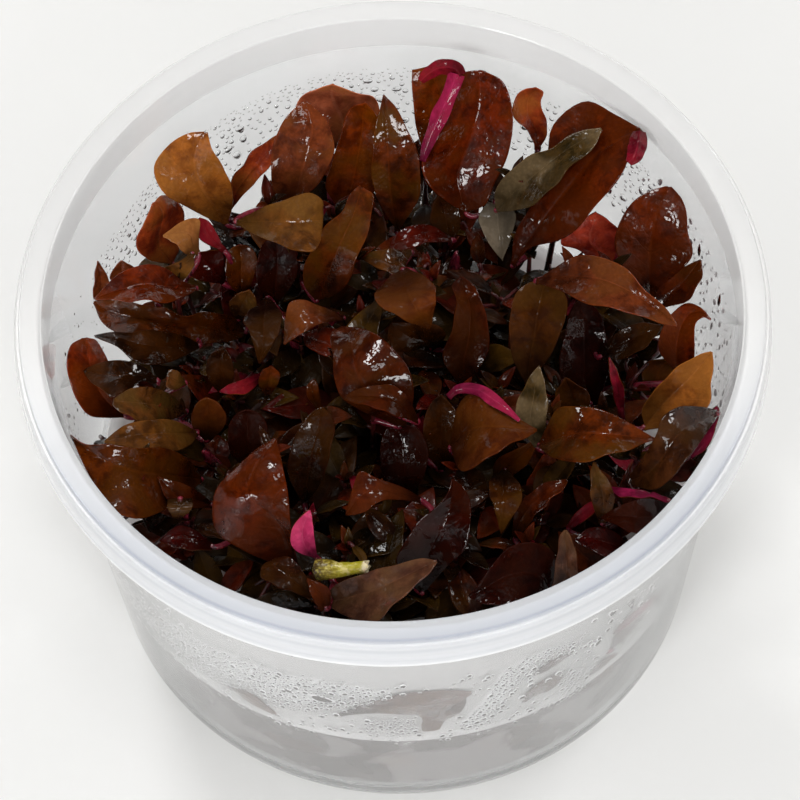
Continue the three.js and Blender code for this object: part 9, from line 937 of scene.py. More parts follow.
    [8.53, -33.1, 38.63, -0.28, 0.87, 0.41, 0.2, -0.36, 0.91, 8.2, 3.9, 0.23],
    [-23, -27.93, 38.23, 0.6, 0.7, 0.39, -0.43, -0.14, 0.89, 6.86, 3.02, 0.1],
    [15.63, 9.7, 32.54, -0.79, 0.62, -0.02, 0.21, 0.3, 0.93, 7.46, 3.81, 0.17],
    [-5.97, 34.82, 38.48, -0.67, -0.72, 0.17, 0.27, -0.02, 0.96, 9.81, 4.83, 0.1],
    [-32.94, -23.87, 41.58, 0.88, 0.45, 0.14, -0.12, -0.07, 0.99, 6.58, 2.91, 0.18],
    [-27.15, -21.45, 37.33, -0.55, 0.07, 0.83, 0.83, -0.03, 0.55, 5.55, 2.95, 0.1],
    [-30.22, -23.28, 30.23, 0.64, 0.41, 0.65, -0.48, -0.45, 0.75, 8.67, 3.97, 0.1],
    [38.53, -13.2, 39.12, -0.77, -0.26, 0.59, 0.61, -0.03, 0.79, 8.5, 3.58, 0.23],
    [10.33, 26.54, 36.46, 0.61, -0.79, 0.02, 0, 0.03, 1, 6.42, 2.89, 0.23],
    [18.05, 25.61, 34.24, -0.61, -0.79, -0.01, -0.03, 0.01, 1, 8.52, 3.92, 0.29],
    [-23.59, 17.13, 38.82, -0.71, 0.18, 0.68, 0.62, -0.31, 0.72, 4.19, 2.15, 0.23],
    [33.14, 7.07, 38.43, -0.78, 0.63, 0.04, 0.29, 0.3, 0.91, 8.83, 4.63, 0.07],
    [-24.11, -25.92, 33.87, -0.19, 0.51, 0.84, 0.36, -0.76, 0.54, 7.37, 3.66, 0.22],
    [-23.59, 12.79, 29.07, 0.44, -0.28, 0.86, -0.74, 0.42, 0.52, 6.62, 3.13, 0.07],
    [-19.96, -32.15, 39.87, 0.4, 0.92, -0.02, -0.14, 0.08, 0.99, 10.14, 4.72, 0.17],
    [37.4, -7.12, 34.42, 0, -0.68, 0.73, -0.48, 0.64, 0.6, 10.33, 4.94, 0.09],
    [2.36, -33.05, 36.41, 0.71, 0.7, 0.05, 0.28, -0.35, 0.9, 8.55, 4.66, 0.14],
    [21.97, 19.82, 34.2, -0.49, -0.52, 0.7, 0.28, 0.67, 0.69, 9.5, 4.72, 0.28],
    [-13.97, 31.25, 39.03, 0.95, -0.3, 0.1, -0.22, -0.4, 0.89, 10.88, 5.58, 0.24],
    [-19.84, 7.55, 35.41, -0.64, 0.76, 0.09, 0.37, 0.21, 0.91, 4.32, 1.97, 0.14],
    [24.64, -23.65, 33.94, -0.45, -0.42, 0.79, 0.23, 0.8, 0.56, 7.48, 3.39, 0.18],
    [-35.3, -17.53, 37.43, 0.88, -0.44, 0.21, -0.37, -0.32, 0.87, 10.1, 4.42, 0.14],
    [26.97, -28.81, 36.75, -0.67, 0.56, 0.49, 0.32, -0.39, 0.87, 10.8, 5.11, 0.04],
    [-30.48, 19.79, 36.87, 0.63, 0.74, 0.23, -0.35, 0, 0.94, 8.38, 3.68, 0.05],
    [-27.82, 22.84, 35.97, -0.54, -0.35, 0.77, 0.36, 0.73, 0.58, 8.76, 4.39, 0.21],
    [-15.8, 25.69, 42.36, -0.19, 0.98, -0.02, -0.46, -0.07, 0.88, 4.28, 1.99, 0.23],
    [-15.27, 28.52, 39.65, 0.03, 0.56, 0.83, 0.29, -0.8, 0.52, 4.23, 1.8, 0.1],
    [-37.55, -7.29, 43.31, 0.01, -0.59, 0.81, -0.17, 0.8, 0.58, 4.13, 2.12, 0.27],
]
# Leaf stalks: four control points each.
STALKS = [
    [[-4.48, 36.53, 40.15], [-4.32, 36.47, 38.71], [-3.55, 33.36, 39.95], [-3.47, 33.08, 38.7]],
    [[-5.07, 28.48, 38.01], [-5.07, 28.27, 36.93], [-6.94, 29.08, 37.06], [-7.1, 29.13, 36.09]],
    [[1.16, 25.32, 38.29], [1.45, 24.4, 36.24], [-0.39, 25.65, 34.54], [-0.53, 25.68, 32.2]],
    [[-12.82, 26.98, 42.24], [-13.16, 26.62, 41.25], [-15.28, 26.41, 42.12], [-15.49, 26.37, 41.2]],
    [[-21.1, 28.04, 40.05], [-21.73, 27.39, 38.01], [-15.89, 26.33, 40.63], [-15.43, 26.19, 38.7]],
    [[-21.35, 26.57, 40.14], [-20.56, 26.32, 38.1], [-15.9, 26.22, 40.61], [-15.43, 26.19, 38.7]],
    [[8.89, 29.24, 38.14], [9.04, 28.52, 36.48], [5.41, 30.42, 36.89], [5.11, 30.53, 35.2]],
    [[10.19, 25.85, 41.61], [10.74, 24.44, 39.97], [15.67, 26.6, 42.14], [16.15, 26.67, 40.2]],
    [[20.04, 32.14, 46.07], [19.98, 30.89, 44.13], [16.73, 27.42, 46.7], [16.44, 27.01, 44.7]],
    [[16.06, 17.46, 41.35], [15.31, 16.92, 40.27], [18.26, 19.56, 40.95], [18.46, 19.75, 39.7]],
    [[14.32, 24.22, 44.21], [13.59, 24.11, 43.08], [16.17, 26.68, 44.33], [16.34, 26.9, 43.2]],
    [[28.22, 18.67, 38.12], [28.83, 17.97, 36.73], [24.42, 17.64, 38.16], [24.08, 17.55, 36.7]],
    [[33.69, 12.27, 40.07], [33.75, 11.26, 38.15], [28.34, 11.99, 40.58], [27.87, 11.97, 38.7]],
    [[14.11, 26.13, 42.65], [13.93, 26.72, 43.43], [16.07, 26.74, 42.53], [16.24, 26.78, 41.7]],
    [[8.12, 24.3, 36.83], [8.33, 23.23, 34.49], [5.35, 30.03, 37.46], [5.11, 30.53, 35.2]],
    [[18.87, 11.4, 46.78], [17.46, 11.84, 45.67], [23.16, 12.45, 47.28], [23.54, 12.53, 45.7]],
    [[34.8, 8.33, 44.19], [33.36, 6.89, 42.36], [28.81, 11.91, 45.55], [28.3, 12.23, 43.2]],
    [[36.78, 0.95, 39.24], [37.32, -0.02, 36.92], [30.84, 0.82, 38.57], [30.32, 0.82, 36.2]],
    [[31.63, -7.41, 40.8], [30.45, -8.24, 39.19], [26.65, -5.25, 41.56], [26.23, -5.06, 39.7]],
    [[40.34, -9.12, 46.03], [42.7, -6.8, 43.39], [30.7, -13.91, 47.49], [29.86, -14.33, 43.7]],
    [[37.03, -12.86, 42.27], [34.9, -14.42, 41.73], [30.17, -14.05, 43.53], [29.59, -14.14, 41.2]],
    [[17.86, -13.01, 47.16], [17.12, -12.7, 46.06], [20.53, -12.47, 46.41], [20.77, -12.43, 45.2]],
    [[17.54, -11.48, 44.06], [17.74, -11.68, 42.78], [20.38, -12.29, 43.82], [20.63, -12.36, 42.7]],
    [[17.19, 1.12, 37.68], [17.15, -0.2, 36.2], [17.79, 4.85, 36.09], [17.85, 5.19, 34.2]],
    [[28.89, -4.84, 38.13], [28.99, -5.42, 37.01], [26.12, -5.04, 37.79], [25.88, -5.05, 36.7]],
    [[26.87, 4.42, 38.71], [24.92, 4.4, 36.68], [27.57, 11.24, 38.74], [27.64, 11.83, 36.2]],
    [[25.31, 1.63, 32.13], [25.64, 1.04, 30.61], [21.49, 0.91, 32.14], [21.15, 0.85, 30.7]],
    [[33.75, 0.44, 35.79], [33.95, -0.5, 34.42], [30.36, 0.82, 34.74], [30.06, 0.87, 33.2]],
    [[8.95, 2.45, 36.13], [8.97, 1.85, 34.99], [8.22, -0.36, 35.81], [8.16, -0.6, 34.7]],
    [[6.7, -9.87, 42.14], [6.32, -9.65, 40.97], [8.04, -11.22, 40.73], [8.16, -11.34, 39.57]],
    [[1.59, 13.98, 46.7], [1.55, 15.24, 45.42], [5.11, 13.73, 45.37], [5.42, 13.7, 43.7]],
    [[0.24, -7.72, 44.38], [0.71, -7.58, 43.02], [-2.79, -6.35, 44.43], [-3.06, -6.23, 43.2]],
    [[2.52, -9.75, 49.01], [3.45, -9.68, 46.72], [-2.55, -6.73, 48.92], [-2.99, -6.47, 46.7]],
    [[-6.38, 9.67, 42.62], [-5.41, 10.83, 40.49], [-12.69, 8.03, 43.75], [-13.24, 7.88, 41.5]],
    [[-16.04, 12.35, 43.96], [-15.94, 13.98, 42.41], [-13.38, 8.2, 43.03], [-13.15, 7.83, 40.94]],
    [[-19.58, 22.17, 47.23], [-21.04, 23.43, 45.4], [-15.86, 26.14, 45.27], [-15.53, 26.48, 42.7]],
    [[-9.6, 14.28, 40.02], [-10.07, 13.99, 38.57], [-11.37, 17.43, 40.03], [-11.52, 17.71, 38.7]],
    [[2.82, 19.27, 42.52], [3.68, 20.8, 41.01], [-0.56, 15.09, 42.29], [-0.86, 14.72, 40.2]],
    [[8.16, 23.68, 38.14], [10.18, 24.44, 35.54], [5.29, 29.49, 35.05], [5.03, 29.99, 31.7]],
    [[-19.65, 17.47, 36.4], [-19.65, 17.4, 35.53], [-20.72, 18.56, 35.67], [-20.81, 18.65, 34.93]],
    [[-15.21, 14.93, 38.15], [-15.23, 14.87, 37.07], [-15.99, 12.85, 37.62], [-16.06, 12.67, 36.7]],
    [[-20.24, 15.24, 34.49], [-20.39, 15.39, 33.28], [-20.41, 18.06, 34.47], [-20.42, 18.3, 33.45]],
    [[-22.23, 1.39, 38.15], [-22.07, 0.89, 36.04], [-18.26, 4.94, 38.59], [-17.92, 5.25, 36.7]],
    [[-17.28, 3.09, 39.89], [-16.8, 4.04, 38.93], [-17.86, 5.09, 38.08], [-17.92, 5.25, 36.7]],
    [[-16.57, 1.07, 38.35], [-16.65, 1.29, 36.64], [-17.81, 4.92, 38.21], [-17.92, 5.25, 36.7]],
    [[-9.65, -1.71, 38.15], [-9.32, -1.62, 36.51], [-10.96, -5.42, 38.15], [-11.08, -5.74, 36.7]],
    [[-12.18, -15.86, 40.14], [-12.36, -16.22, 38.95], [-11.53, -18.57, 39.78], [-11.47, -18.8, 38.7]],
    [[-13.41, -26.41, 42.86], [-13.24, -26.7, 42.02], [-15.11, -25.9, 42.45], [-15.26, -25.86, 41.7]],
    [[-10.92, -26.44, 45.23], [-10.15, -26.38, 43.7], [-8.79, -30.03, 45.65], [-8.62, -30.34, 44.2]],
    [[-9.73, -33.13, 45.78], [-10.4, -32.93, 45.17], [-10.24, -32.13, 44.54], [-10.27, -32.04, 43.7]],
    [[2.23, -30.36, 42.14], [2.08, -31.05, 40.18], [-0.37, -26.03, 42.51], [-0.6, -25.65, 40.7]],
    [[2.42, -19.56, 46.12], [3.17, -19.21, 44.95], [4.4, -20.84, 44.55], [4.56, -20.95, 43.2]],
    [[13.27, -14.77, 44.11], [13.37, -13.82, 43.15], [13.15, -17.11, 42.94], [13.14, -17.32, 41.7]],
    [[17.98, -31.54, 42.56], [18.6, -32.25, 39.9], [15.71, -24.82, 43.66], [15.51, -24.23, 41.2]],
    [[18.89, -32.31, 43.71], [17.56, -33.56, 41.03], [15.77, -24.88, 44.12], [15.51, -24.23, 41.2]],
    [[28.27, -25.53, 41.68], [29.57, -25.71, 41.14], [26.09, -23.55, 41.21], [25.89, -23.38, 39.97]],
    [[32.68, -24.68, 49.05], [34.6, -23.16, 46.58], [27.7, -21.32, 45.21], [27.26, -21.03, 41.7]],
    [[33.06, -22.28, 48.12], [35.97, -23.13, 47.27], [27.74, -21.13, 44.85], [27.26, -21.03, 41.7]],
    [[25.09, -22.79, 44.03], [25.03, -23.07, 42.7], [27.09, -21.17, 42.94], [27.26, -21.03, 41.7]],
    [[21.11, -21.19, 40.12], [20.04, -21.53, 38.63], [25.04, -22.79, 39.84], [25.39, -22.93, 38.19]],
    [[14.24, -22.21, 40.14], [14.01, -22.36, 39.2], [15.15, -23.88, 39.54], [15.23, -24.02, 38.7]],
    [[12.2, -12.87, 37.57], [11.74, -13.22, 36.63], [13.24, -11.22, 36.68], [13.33, -11.08, 35.7]],
    [[-28.81, 22.14, 38.14], [-28.19, 22.07, 36.62], [-27.17, 18.64, 38.11], [-27.03, 18.33, 36.7]],
    [[-24.86, 18.63, 45.91], [-24.24, 18.34, 43.62], [-27.6, 13.32, 46.76], [-27.84, 12.86, 44.7]],
    [[-21.56, 19.96, 44], [-19.92, 19.11, 42.23], [-21.33, 19.17, 39.54], [-21.32, 19.11, 36.85]],
    [[-21.99, 18.19, 38.94], [-21.17, 17.99, 37.32], [-19.51, 18.9, 36.51], [-19.3, 18.97, 34.7]],
    [[-25.46, 16.54, 48.78], [-25.06, 17.96, 47.75], [-27.77, 13.34, 48.31], [-27.97, 13.05, 46.7]],
    [[-25.24, 12.46, 47.13], [-24.42, 12.98, 46.16], [-27.63, 12.83, 45.96], [-27.84, 12.86, 44.7]],
    [[-19.64, 13.61, 33.48], [-18.61, 14.13, 32.24], [-20.08, 17.69, 33.72], [-20.12, 18.04, 32.27]],
    [[-36.91, 15.5, 39.33], [-36.08, 15.77, 36.58], [-29.89, 13.13, 40.85], [-29.28, 12.92, 38.37]],
    [[-32.75, 17.36, 39.96], [-31.76, 17.22, 38.02], [-27.64, 18.29, 39.66], [-27.2, 18.37, 37.7]],
    [[-25.31, 7.48, 40.88], [-24.01, 8.66, 38.93], [-28.5, 12.29, 39.52], [-28.78, 12.7, 37.03]],
    [[-34.96, -2.8, 41.65], [-33.57, -3.56, 40.55], [-30.23, -1.87, 42.33], [-29.83, -1.79, 40.7]],
    [[-30.48, -0.49, 46.33], [-29.6, -0.33, 45.41], [-30.28, -1.75, 44.44], [-30.28, -1.86, 43.2]],
    [[-27.22, -0.25, 37.64], [-26.98, 0.2, 36.71], [-28.88, -1.53, 37.11], [-29.03, -1.65, 36.2]],
    [[-26.87, -0.39, 45.12], [-26.32, 0.3, 43.86], [-30.08, -1.75, 45.03], [-30.36, -1.88, 43.7]],
    [[-25.75, -5.63, 41.17], [-24.83, -4.6, 39.36], [-29.01, -2, 39.85], [-29.3, -1.69, 37.7]],
    [[-25.39, -12, 40.52], [-24.2, -11.18, 38.57], [-30.62, -13.1, 39.47], [-31.08, -13.2, 37.2]],
    [[-24.01, -16.39, 41.56], [-23.18, -16.07, 40.3], [-21.23, -13.99, 41.53], [-21, -13.79, 40.2]],
    [[-27.47, -19.4, 48.67], [-27.56, -17.76, 47.29], [-27.08, -19.26, 44.94], [-27.05, -19.26, 42.7]],
    [[-24.03, -23.66, 44.06], [-21.88, -24.21, 43.1], [-19.52, -19.92, 43.89], [-19.14, -19.59, 41.7]],
    [[-10.56, -32.63, 45.26], [-10.15, -32.74, 44.72], [-10.29, -32.09, 44.29], [-10.27, -32.04, 43.7]],
    [[-9.87, -34.54, 47.16], [-9.57, -35.55, 45.99], [-8.84, -31.13, 47.13], [-8.75, -30.82, 45.77]],
    [[-24.43, -4.49, 37.36], [-24.58, -4.39, 35.35], [-28.66, -1.87, 37.93], [-29.03, -1.65, 36.2]],
    [[-19.12, -7.55, 34.49], [-19.03, -7.8, 33.08], [-22.27, -7.48, 34.05], [-22.55, -7.48, 32.79]],
    [[0.32, -13.12, 34.76], [0.05, -13.81, 32.3], [2.34, -6.99, 35.91], [2.52, -6.45, 33.7]],
    [[5.43, -9.28, 35.29], [5.44, -9.55, 33.74], [2.76, -6.69, 35.53], [2.53, -6.46, 34.2]],
    [[4.9, 7.17, 38.14], [4.92, 7.77, 36.39], [9.19, 7.07, 37.84], [9.56, 7.06, 36.2]],
    [[21.46, -6.18, 36.15], [21.27, -6.33, 34.92], [18.8, -6.89, 35.77], [18.57, -6.95, 34.7]],
    [[3.89, -40.46, 33.33], [3.94, -40.86, 37.5], [-2.12, -31.41, 35.87], [-2.64, -30.62, 32.2]],
    [[25.88, -30.21, 24.5], [23.7, -31.7, 21.41], [22.11, -20.52, 25.96], [21.79, -19.67, 22.34]],
]

# ---------------------------------------------------------------------------------
# Camera
EL, DIST, FOCAL, ROLL = math.radians(59.93), 551.4, 4265.55, math.radians(-2.61)
back = np.array([0, -math.cos(EL), math.sin(EL)])
aim = np.array([0.49, 0, 37.5])
eye = aim + back * DIST
right = np.cross(-back, [0, 0, 1])
right /= np.linalg.norm(right)
up = np.cross(right, -back)
cam_x = math.cos(ROLL) * right + math.sin(ROLL) * up
cam_y = -math.sin(ROLL) * right + math.cos(ROLL) * up
cam_data = bpy.data.cameras.new("camera")
cam_data.sensor_width = 36.0
cam_data.lens = FOCAL / 800 * 36.0
cam_data.clip_start, cam_data.clip_end = 0.02, 20
cam = bpy.data.objects.new("camera", cam_data)
scene.collection.objects.link(cam)
m = np.eye(4)
m[:3, 0], m[:3, 1], m[:3, 2], m[:3, 3] = cam_x, cam_y, back, eye * MM
cam.matrix_world = Matrix(m.tolist())
scene.camera = cam

scene.view_settings.view_transform = "Standard"
scene.view_settings.look = "None"
scene.view_settings.exposure = 0.0
scene.view_settings.gamma = 1.0
scene.cycles.use_denoising = True
scene.cycles.max_bounces = 11
scene.cycles.diffuse_bounces = 4
scene.cycles.glossy_bounces = 3
scene.cycles.transmission_bounces = 10
scene.cycles.transparent_max_bounces = 14
scene.cycles.sample_clamp_indirect = 8.0
scene.cycles.caustics_reflective = False


# ---------------------------------------------------------------------------------
# Colours and node helpers
def rgb(h):
    v = [int(h[i : i + 2], 16) / 255 for i in (1, 3, 5)]
    return tuple(x / 12.92 if x <= 0.04045 else ((x + 0.055) / 1.055) ** 2.4 for x in v) + (1.0,)


class Mat:
    def __init__(self, name):
        self.m = bpy.data.materials.new(name)
        self.m.use_nodes = True
        self.t = self.m.node_tree
        self.t.nodes.clear()
        self.out = self.n("ShaderNodeOutputMaterial")
        self.p = self.n("ShaderNodeBsdfPrincipled")
        self.l(self.p.outputs[0], self.out.inputs[0])

    def n(self, kind, **props):
        node = self.t.nodes.new(kind)
        for k, v in props.items():
            setattr(node, k, v)
        return node

    def l(self, a, b):
        self.t.links.new(a, b)

    def set(self, node, key, value):
        s = node.inputs[key]
        if hasattr(value, "is_output") or isinstance(value, bpy.types.NodeSocket):
            self.l(value, s)
        else:
            s.default_value = value

    def math(self, op, a, b=0.0, c=None, clamp=False):
        node = self.n("ShaderNodeMath", operation=op, use_clamp=clamp)
        self.set(node, 0, a)
        self.set(node, 1, b)
        if c is not None:
            self.set(node, 2, c)
        return node.outputs[0]

    def mix(self, f, a, b, blend="MIX"):
        node = self.n("ShaderNodeMix", data_type="RGBA", blend_type=blend)
        node.clamp_factor = True
        self.set(node, 0, f)
        self.set(node, 6, a)
        self.set(node, 7, b)
        return node.outputs[2]

    def ramp(self, f, lo, hi, a=0.0, b=1.0):
        node = self.n("ShaderNodeMapRange", interpolation_type="SMOOTHSTEP")
        self.set(node, 0, f)
        self.set(node, 1, lo)
        self.set(node, 2, hi)
        self.set(node, 3, a)
        self.set(node, 4, b)
        return node.outputs[0]

    def noise(self, vec, scale, detail=2.0, rough=0.5, dist=0.0):
        node = self.n("ShaderNodeTexNoise")
        self.set(node, "Vector", vec)
        self.set(node, "Scale", scale)
        self.set(node, "Detail", detail)
        self.set(node, "Roughness", rough)
        self.set(node, "Distortion", dist)
        return node.outputs["Fac"]

    def voronoi(self, vec, scale, feature="F1", out="Distance"):
        node = self.n("ShaderNodeTexVoronoi", feature=feature)
        self.set(node, "Vector", vec)
        self.set(node, "Scale", scale)
        return node.outputs[out]

    def bump(self, height, strength, distance, normal=None):
        node = self.n("ShaderNodeBump")
        self.set(node, "Strength", strength)
        self.set(node, "Distance", distance)
        self.set(node, "Height", height)
        if normal is not None:
            self.set(node, "Normal", normal)
        return node.outputs[0]

    def curve(self, x, points):
        node = self.n("ShaderNodeFloatCurve")
        c = node.mapping.curves[0]
        c.points[0].location, c.points[-1].location = (0.0, points[0][1]), (1.0, points[-1][1])
        for a, b in points:
            c.points.new(a, b)
        for q in c.points:
            q.handle_type = "VECTOR"
        node.mapping.update()
        self.set(node, "Value", x)
        return node.outputs[0]

    def obj(self):
        return self.n("ShaderNodeTexCoord").outputs["Object"]


def dim(h, t):
    """A colour times a number, or times a number for each channel."""
    c, t = rgb(h), t if hasattr(t, "__len__") else (t, t, t)
    return tuple(min(0.92, c[i] * t[i]) for i in range(3)) + (1.0,)


def leaf_material(name, main, dark, alt, vein, rough=0.30, coat=0.5, sss=0.25, glow="#c0501c", tone=0.5, spec=0.07, veins=0.06, bump=1.0, stalk_shade=0.45):
    """A leaf face: mottled colour, midrib and side veins from the leaf's own u, v, fine cells, and a broken wet film."""
    k = Mat(name)
    uv = k.n("ShaderNodeUVMap", uv_map="leaf").outputs[0]
    sep = k.n("ShaderNodeSeparateXYZ")
    k.l(uv, sep.inputs[0])
    across, along = sep.outputs[0], sep.outputs[1]
    s = k.math("ABSOLUTE", k.math("SUBTRACT", k.math("MULTIPLY", across, 2.0), 1.0))
    o = k.obj()
    n_big = k.noise(o, 170.0, 2.0, 0.55)
    n_mid = k.noise(o, 520.0, 3.0, 0.6, 0.4)
    n_fine = k.noise(o, 2300.0, 2.0, 0.6)
    cells = k.voronoi(o, 2100.0)
    # side veins leave the midrib towards the tip
    q = k.math("SUBTRACT", along, k.math("MULTIPLY", s, 0.24))
    q = k.math("ADD", q, k.math("MULTIPLY", k.math("SUBTRACT", n_mid, 0.5), 0.05))
    wave = k.math("ABSOLUTE", k.math("SINE", k.math("MULTIPLY", q, 24.0)))
    lat = k.ramp(wave, 0.0, 0.24, 1.0, 0.0)
    lat = k.math("MULTIPLY", lat, k.ramp(s, 0.85, 1.0, 1.0, 0.2))
    mid = k.ramp(s, 0.015, 0.075, 1.0, 0.0)
    main, dark, alt, vein = (dim(x, tone) for x in (main, dark, alt, vein))
    c = k.mix(k.ramp(n_mid, 0.34, 0.66), dark, main)
    c = k.mix(k.ramp(n_big, 0.42, 0.62, 0.0, 0.85), c, alt)
    c = k.mix(k.math("MULTIPLY", k.ramp(cells, 0.1, 0.75), 0.25), c, dark)
    c = k.mix(k.math("MULTIPLY", lat, veins), c, vein)
    c = k.mix(k.math("MULTIPLY", mid, min(1.0, veins * 2.5)), c, vein)
    c = k.mix(k.ramp(s, 0.95, 1.0, 0.0, 0.06), c, dim(glow, tone))
    # painted shade and light over the leaf's own colour: darker towards the stalk, where the leaves crowd, in broad
    # blotches, and a little lighter towards the tip
    shade = k.ramp(k.math("ADD", along, k.math("MULTIPLY", k.math("SUBTRACT", n_big, 0.5), 0.55)), 0.02, 0.62, stalk_shade, 1.12)
    c = k.mix(1.0, c, shade, "MULTIPLY")
    k.set(k.p, "Base Color", c)
    film = k.noise(o, 165.0, 3.0, 0.55, 0.9)
    r = k.ramp(film, 0.40, 0.62, rough * 0.9, rough * 1.5)
    r = k.math("ADD", r, k.math("MULTIPLY", k.math("SUBTRACT", n_fine, 0.5), 0.10))
    k.set(k.p, "Roughness", r)
    h = k.math("MULTIPLY", n_mid, 0.9)
    h = k.math("ADD", h, k.math("MULTIPLY", k.noise(o, 1250.0, 1.0, 0.5), 1.15))
    low = h
    h = k.math("ADD", h, k.math("MULTIPLY", n_fine, 0.14))
    h = k.math("SUBTRACT", h, k.math("MULTIPLY", lat, 0.16))
    h = k.math("SUBTRACT", h, k.math("MULTIPLY", mid, 0.5))
    k.set(k.p, "Normal", k.bump(h, 0.55 * bump, 0.00016))
    k.set(k.p, "Coat Weight", k.ramp(film, 0.475, 0.515, min(1.0, coat * 2.0), coat * 0.06))
    k.p.inputs["Coat Roughness"].default_value = 0.045
    k.p.inputs["Coat IOR"].default_value = 1.45
    hc = k.math("ADD", k.noise(o, 105.0, 1.0, 0.5, 0.3), k.math("MULTIPLY", low, 0.05))
    k.set(k.p, "Coat Normal", k.bump(hc, 0.8 * bump, 0.0020))
    k.p.inputs["IOR"].default_value = 1.42
    k.p.inputs["Specular IOR Level"].default_value = spec
    k.p.inputs["Subsurface Weight"].default_value = sss
    g = rgb(glow)
    k.p.inputs["Subsurface Radius"].default_value = (1.0, 0.32 + 0.3 * g[1], 0.15)
    k.p.inputs["Subsurface Scale"].default_value = 0.0011
    return k.m


# tint: upper or seen face (main, dark, alt, vein), gloss numbers
TINTS = {
    "brown": ("#5e3219", "#33190c", "#4c3a18", "#7a4630", 0.30, 0.50, 0.22, "#a84a18"),
    "orangebrown": ("#84401a", "#4e220c", "#6c4416", "#9a5630", 0.30, 0.45, 0.35, "#d8641c"),
    "russet": ("#78381a", "#461d0c", "#5e3014", "#8c4c2c", 0.30, 0.50, 0.30, "#c8541c"),
    "wetolive": ("#46381e", "#262010", "#6a604c", "#7c7056", 0.22, 0.95, 0.10, "#8a5a20"),
    "brickred": ("#a03c28", "#6a1c14", "#8a3a22", "#c06a50", 0.30, 0.40, 0.30, "#d05030"),
    # rosebrown, for leaf A5 alone, is lighter and paler than redbrown to stand in for light on a leaf that sits in
    # shade: painted light
    "rosebrown": ("#94563c", "#6a3624", "#84522e", "#b07c64", 0.32, 0.55, 0.30, "#d07040"),
    "greybrown": ("#5e4434", "#382418", "#54462e", "#7c5c4c", 0.36, 0.45, 0.20, "#a05028"),
    "redorange": ("#a03a20", "#6c1e14", "#8c4420", "#c05a40", 0.32, 0.40, 0.35, "#e05024"),
    "amber": ("#a0601f", "#6e3c12", "#8c5a20", "#b8783c", 0.30, 0.45, 0.40, "#f0902c"),
    "amberdark": ("#6e4014", "#3c200a", "#5c4416", "#8c5a2a", 0.30, 0.50, 0.28, "#c8681c"),
    "amberbrown": ("#7c4a1a", "#4a280c", "#66481a", "#96643a", 0.30, 0.50, 0.30, "#d07420"),
    "olive": ("#40361a", "#201a0b", "#564a20", "#665432", 0.28, 0.60, 0.18, "#8c5a20"),
    "darkolive": ("#2e2812", "#151209", "#423a1c", "#524428", 0.28, 0.60, 0.14, "#70481c"),
    "oliveamber": ("#6c4c1e", "#3c280e", "#5c5020", "#8c6a38", 0.28, 0.60, 0.25, "#c07a24"),
    "greyolive": ("#5c5442", "#36301e", "#6c6448", "#7c7058", 0.30, 0.60, 0.20, "#90683c"),
    "redbrown": ("#702e1a", "#3e150b", "#5a3416", "#8c4430", 0.30, 0.50, 0.30, "#c84a1c"),
    "purple": ("#5e2c26", "#3a1613", "#522a1c", "#7a443c", 0.34, 0.50, 0.22, "#8c3428"),
    "dark": ("#261a13", "#120b08", "#2e2814", "#443226", 0.26, 0.65, 0.12, "#5a2a18"),
    "darkbrown": ("#3a2112", "#1e0f08", "#3c2e16", "#543624", 0.28, 0.60, 0.15, "#7a3818"),
    "darkred": ("#58181a", "#300a0d", "#4a2416", "#7c3034", 0.28, 0.55, 0.25, "#a02028"),
    "tan": ("#704c36", "#4c2e1e", "#665034", "#86624a", 0.42, 0.30, 0.25, "#b06030"),
    "tanred": ("#764232", "#4e261c", "#6a4230", "#8c5a48", 0.42, 0.30, 0.25, "#b85034"),
    "redtan": ("#7e4c38", "#5a2e20", "#724c38", "#946452", 0.42, 0.28, 0.25, "#b85838"),
    "tanolive": ("#684c2c", "#402c16", "#625030", "#806444", 0.40, 0.32, 0.22, "#a86428"),
    "gold": ("#ac8038", "#7c5420", "#a08038", "#c09c58", 0.36, 0.40, 0.35, "#f0a848"),
    "mauve": ("#523838", "#321e20", "#4c3a34", "#705254", 0.34, 0.55, 0.18, "#7a4040"),
    "greymauve": ("#5e4a48", "#382826", "#564a3c", "#7c6462", 0.34, 0.50, 0.18, "#805048"),
    "crimson": ("#8e1636", "#560a1e", "#7a1c24", "#b03458", 0.34, 0.35, 0.40, "#d02050"),
    "magenta": ("#b2205c", "#7c103a", "#9c1c40", "#cc4c80", 0.38, 0.30, 0.40, "#e83078"),
    "pink": ("#c83c6a", "#962048", "#b84060", "#dc7c98", 0.40, 0.30, 0.45, "#f05a88"),
    "oliveRed": ("#5e3622", "#361a10", "#503a1c", "#7c4c3c", 0.32, 0.50, 0.25, "#a84830"),
    "grey": ("#7e766a", "#5c5448", "#6e685c", "#948a7c", 0.30, 0.55, 0.30, "#a08c78"),
}
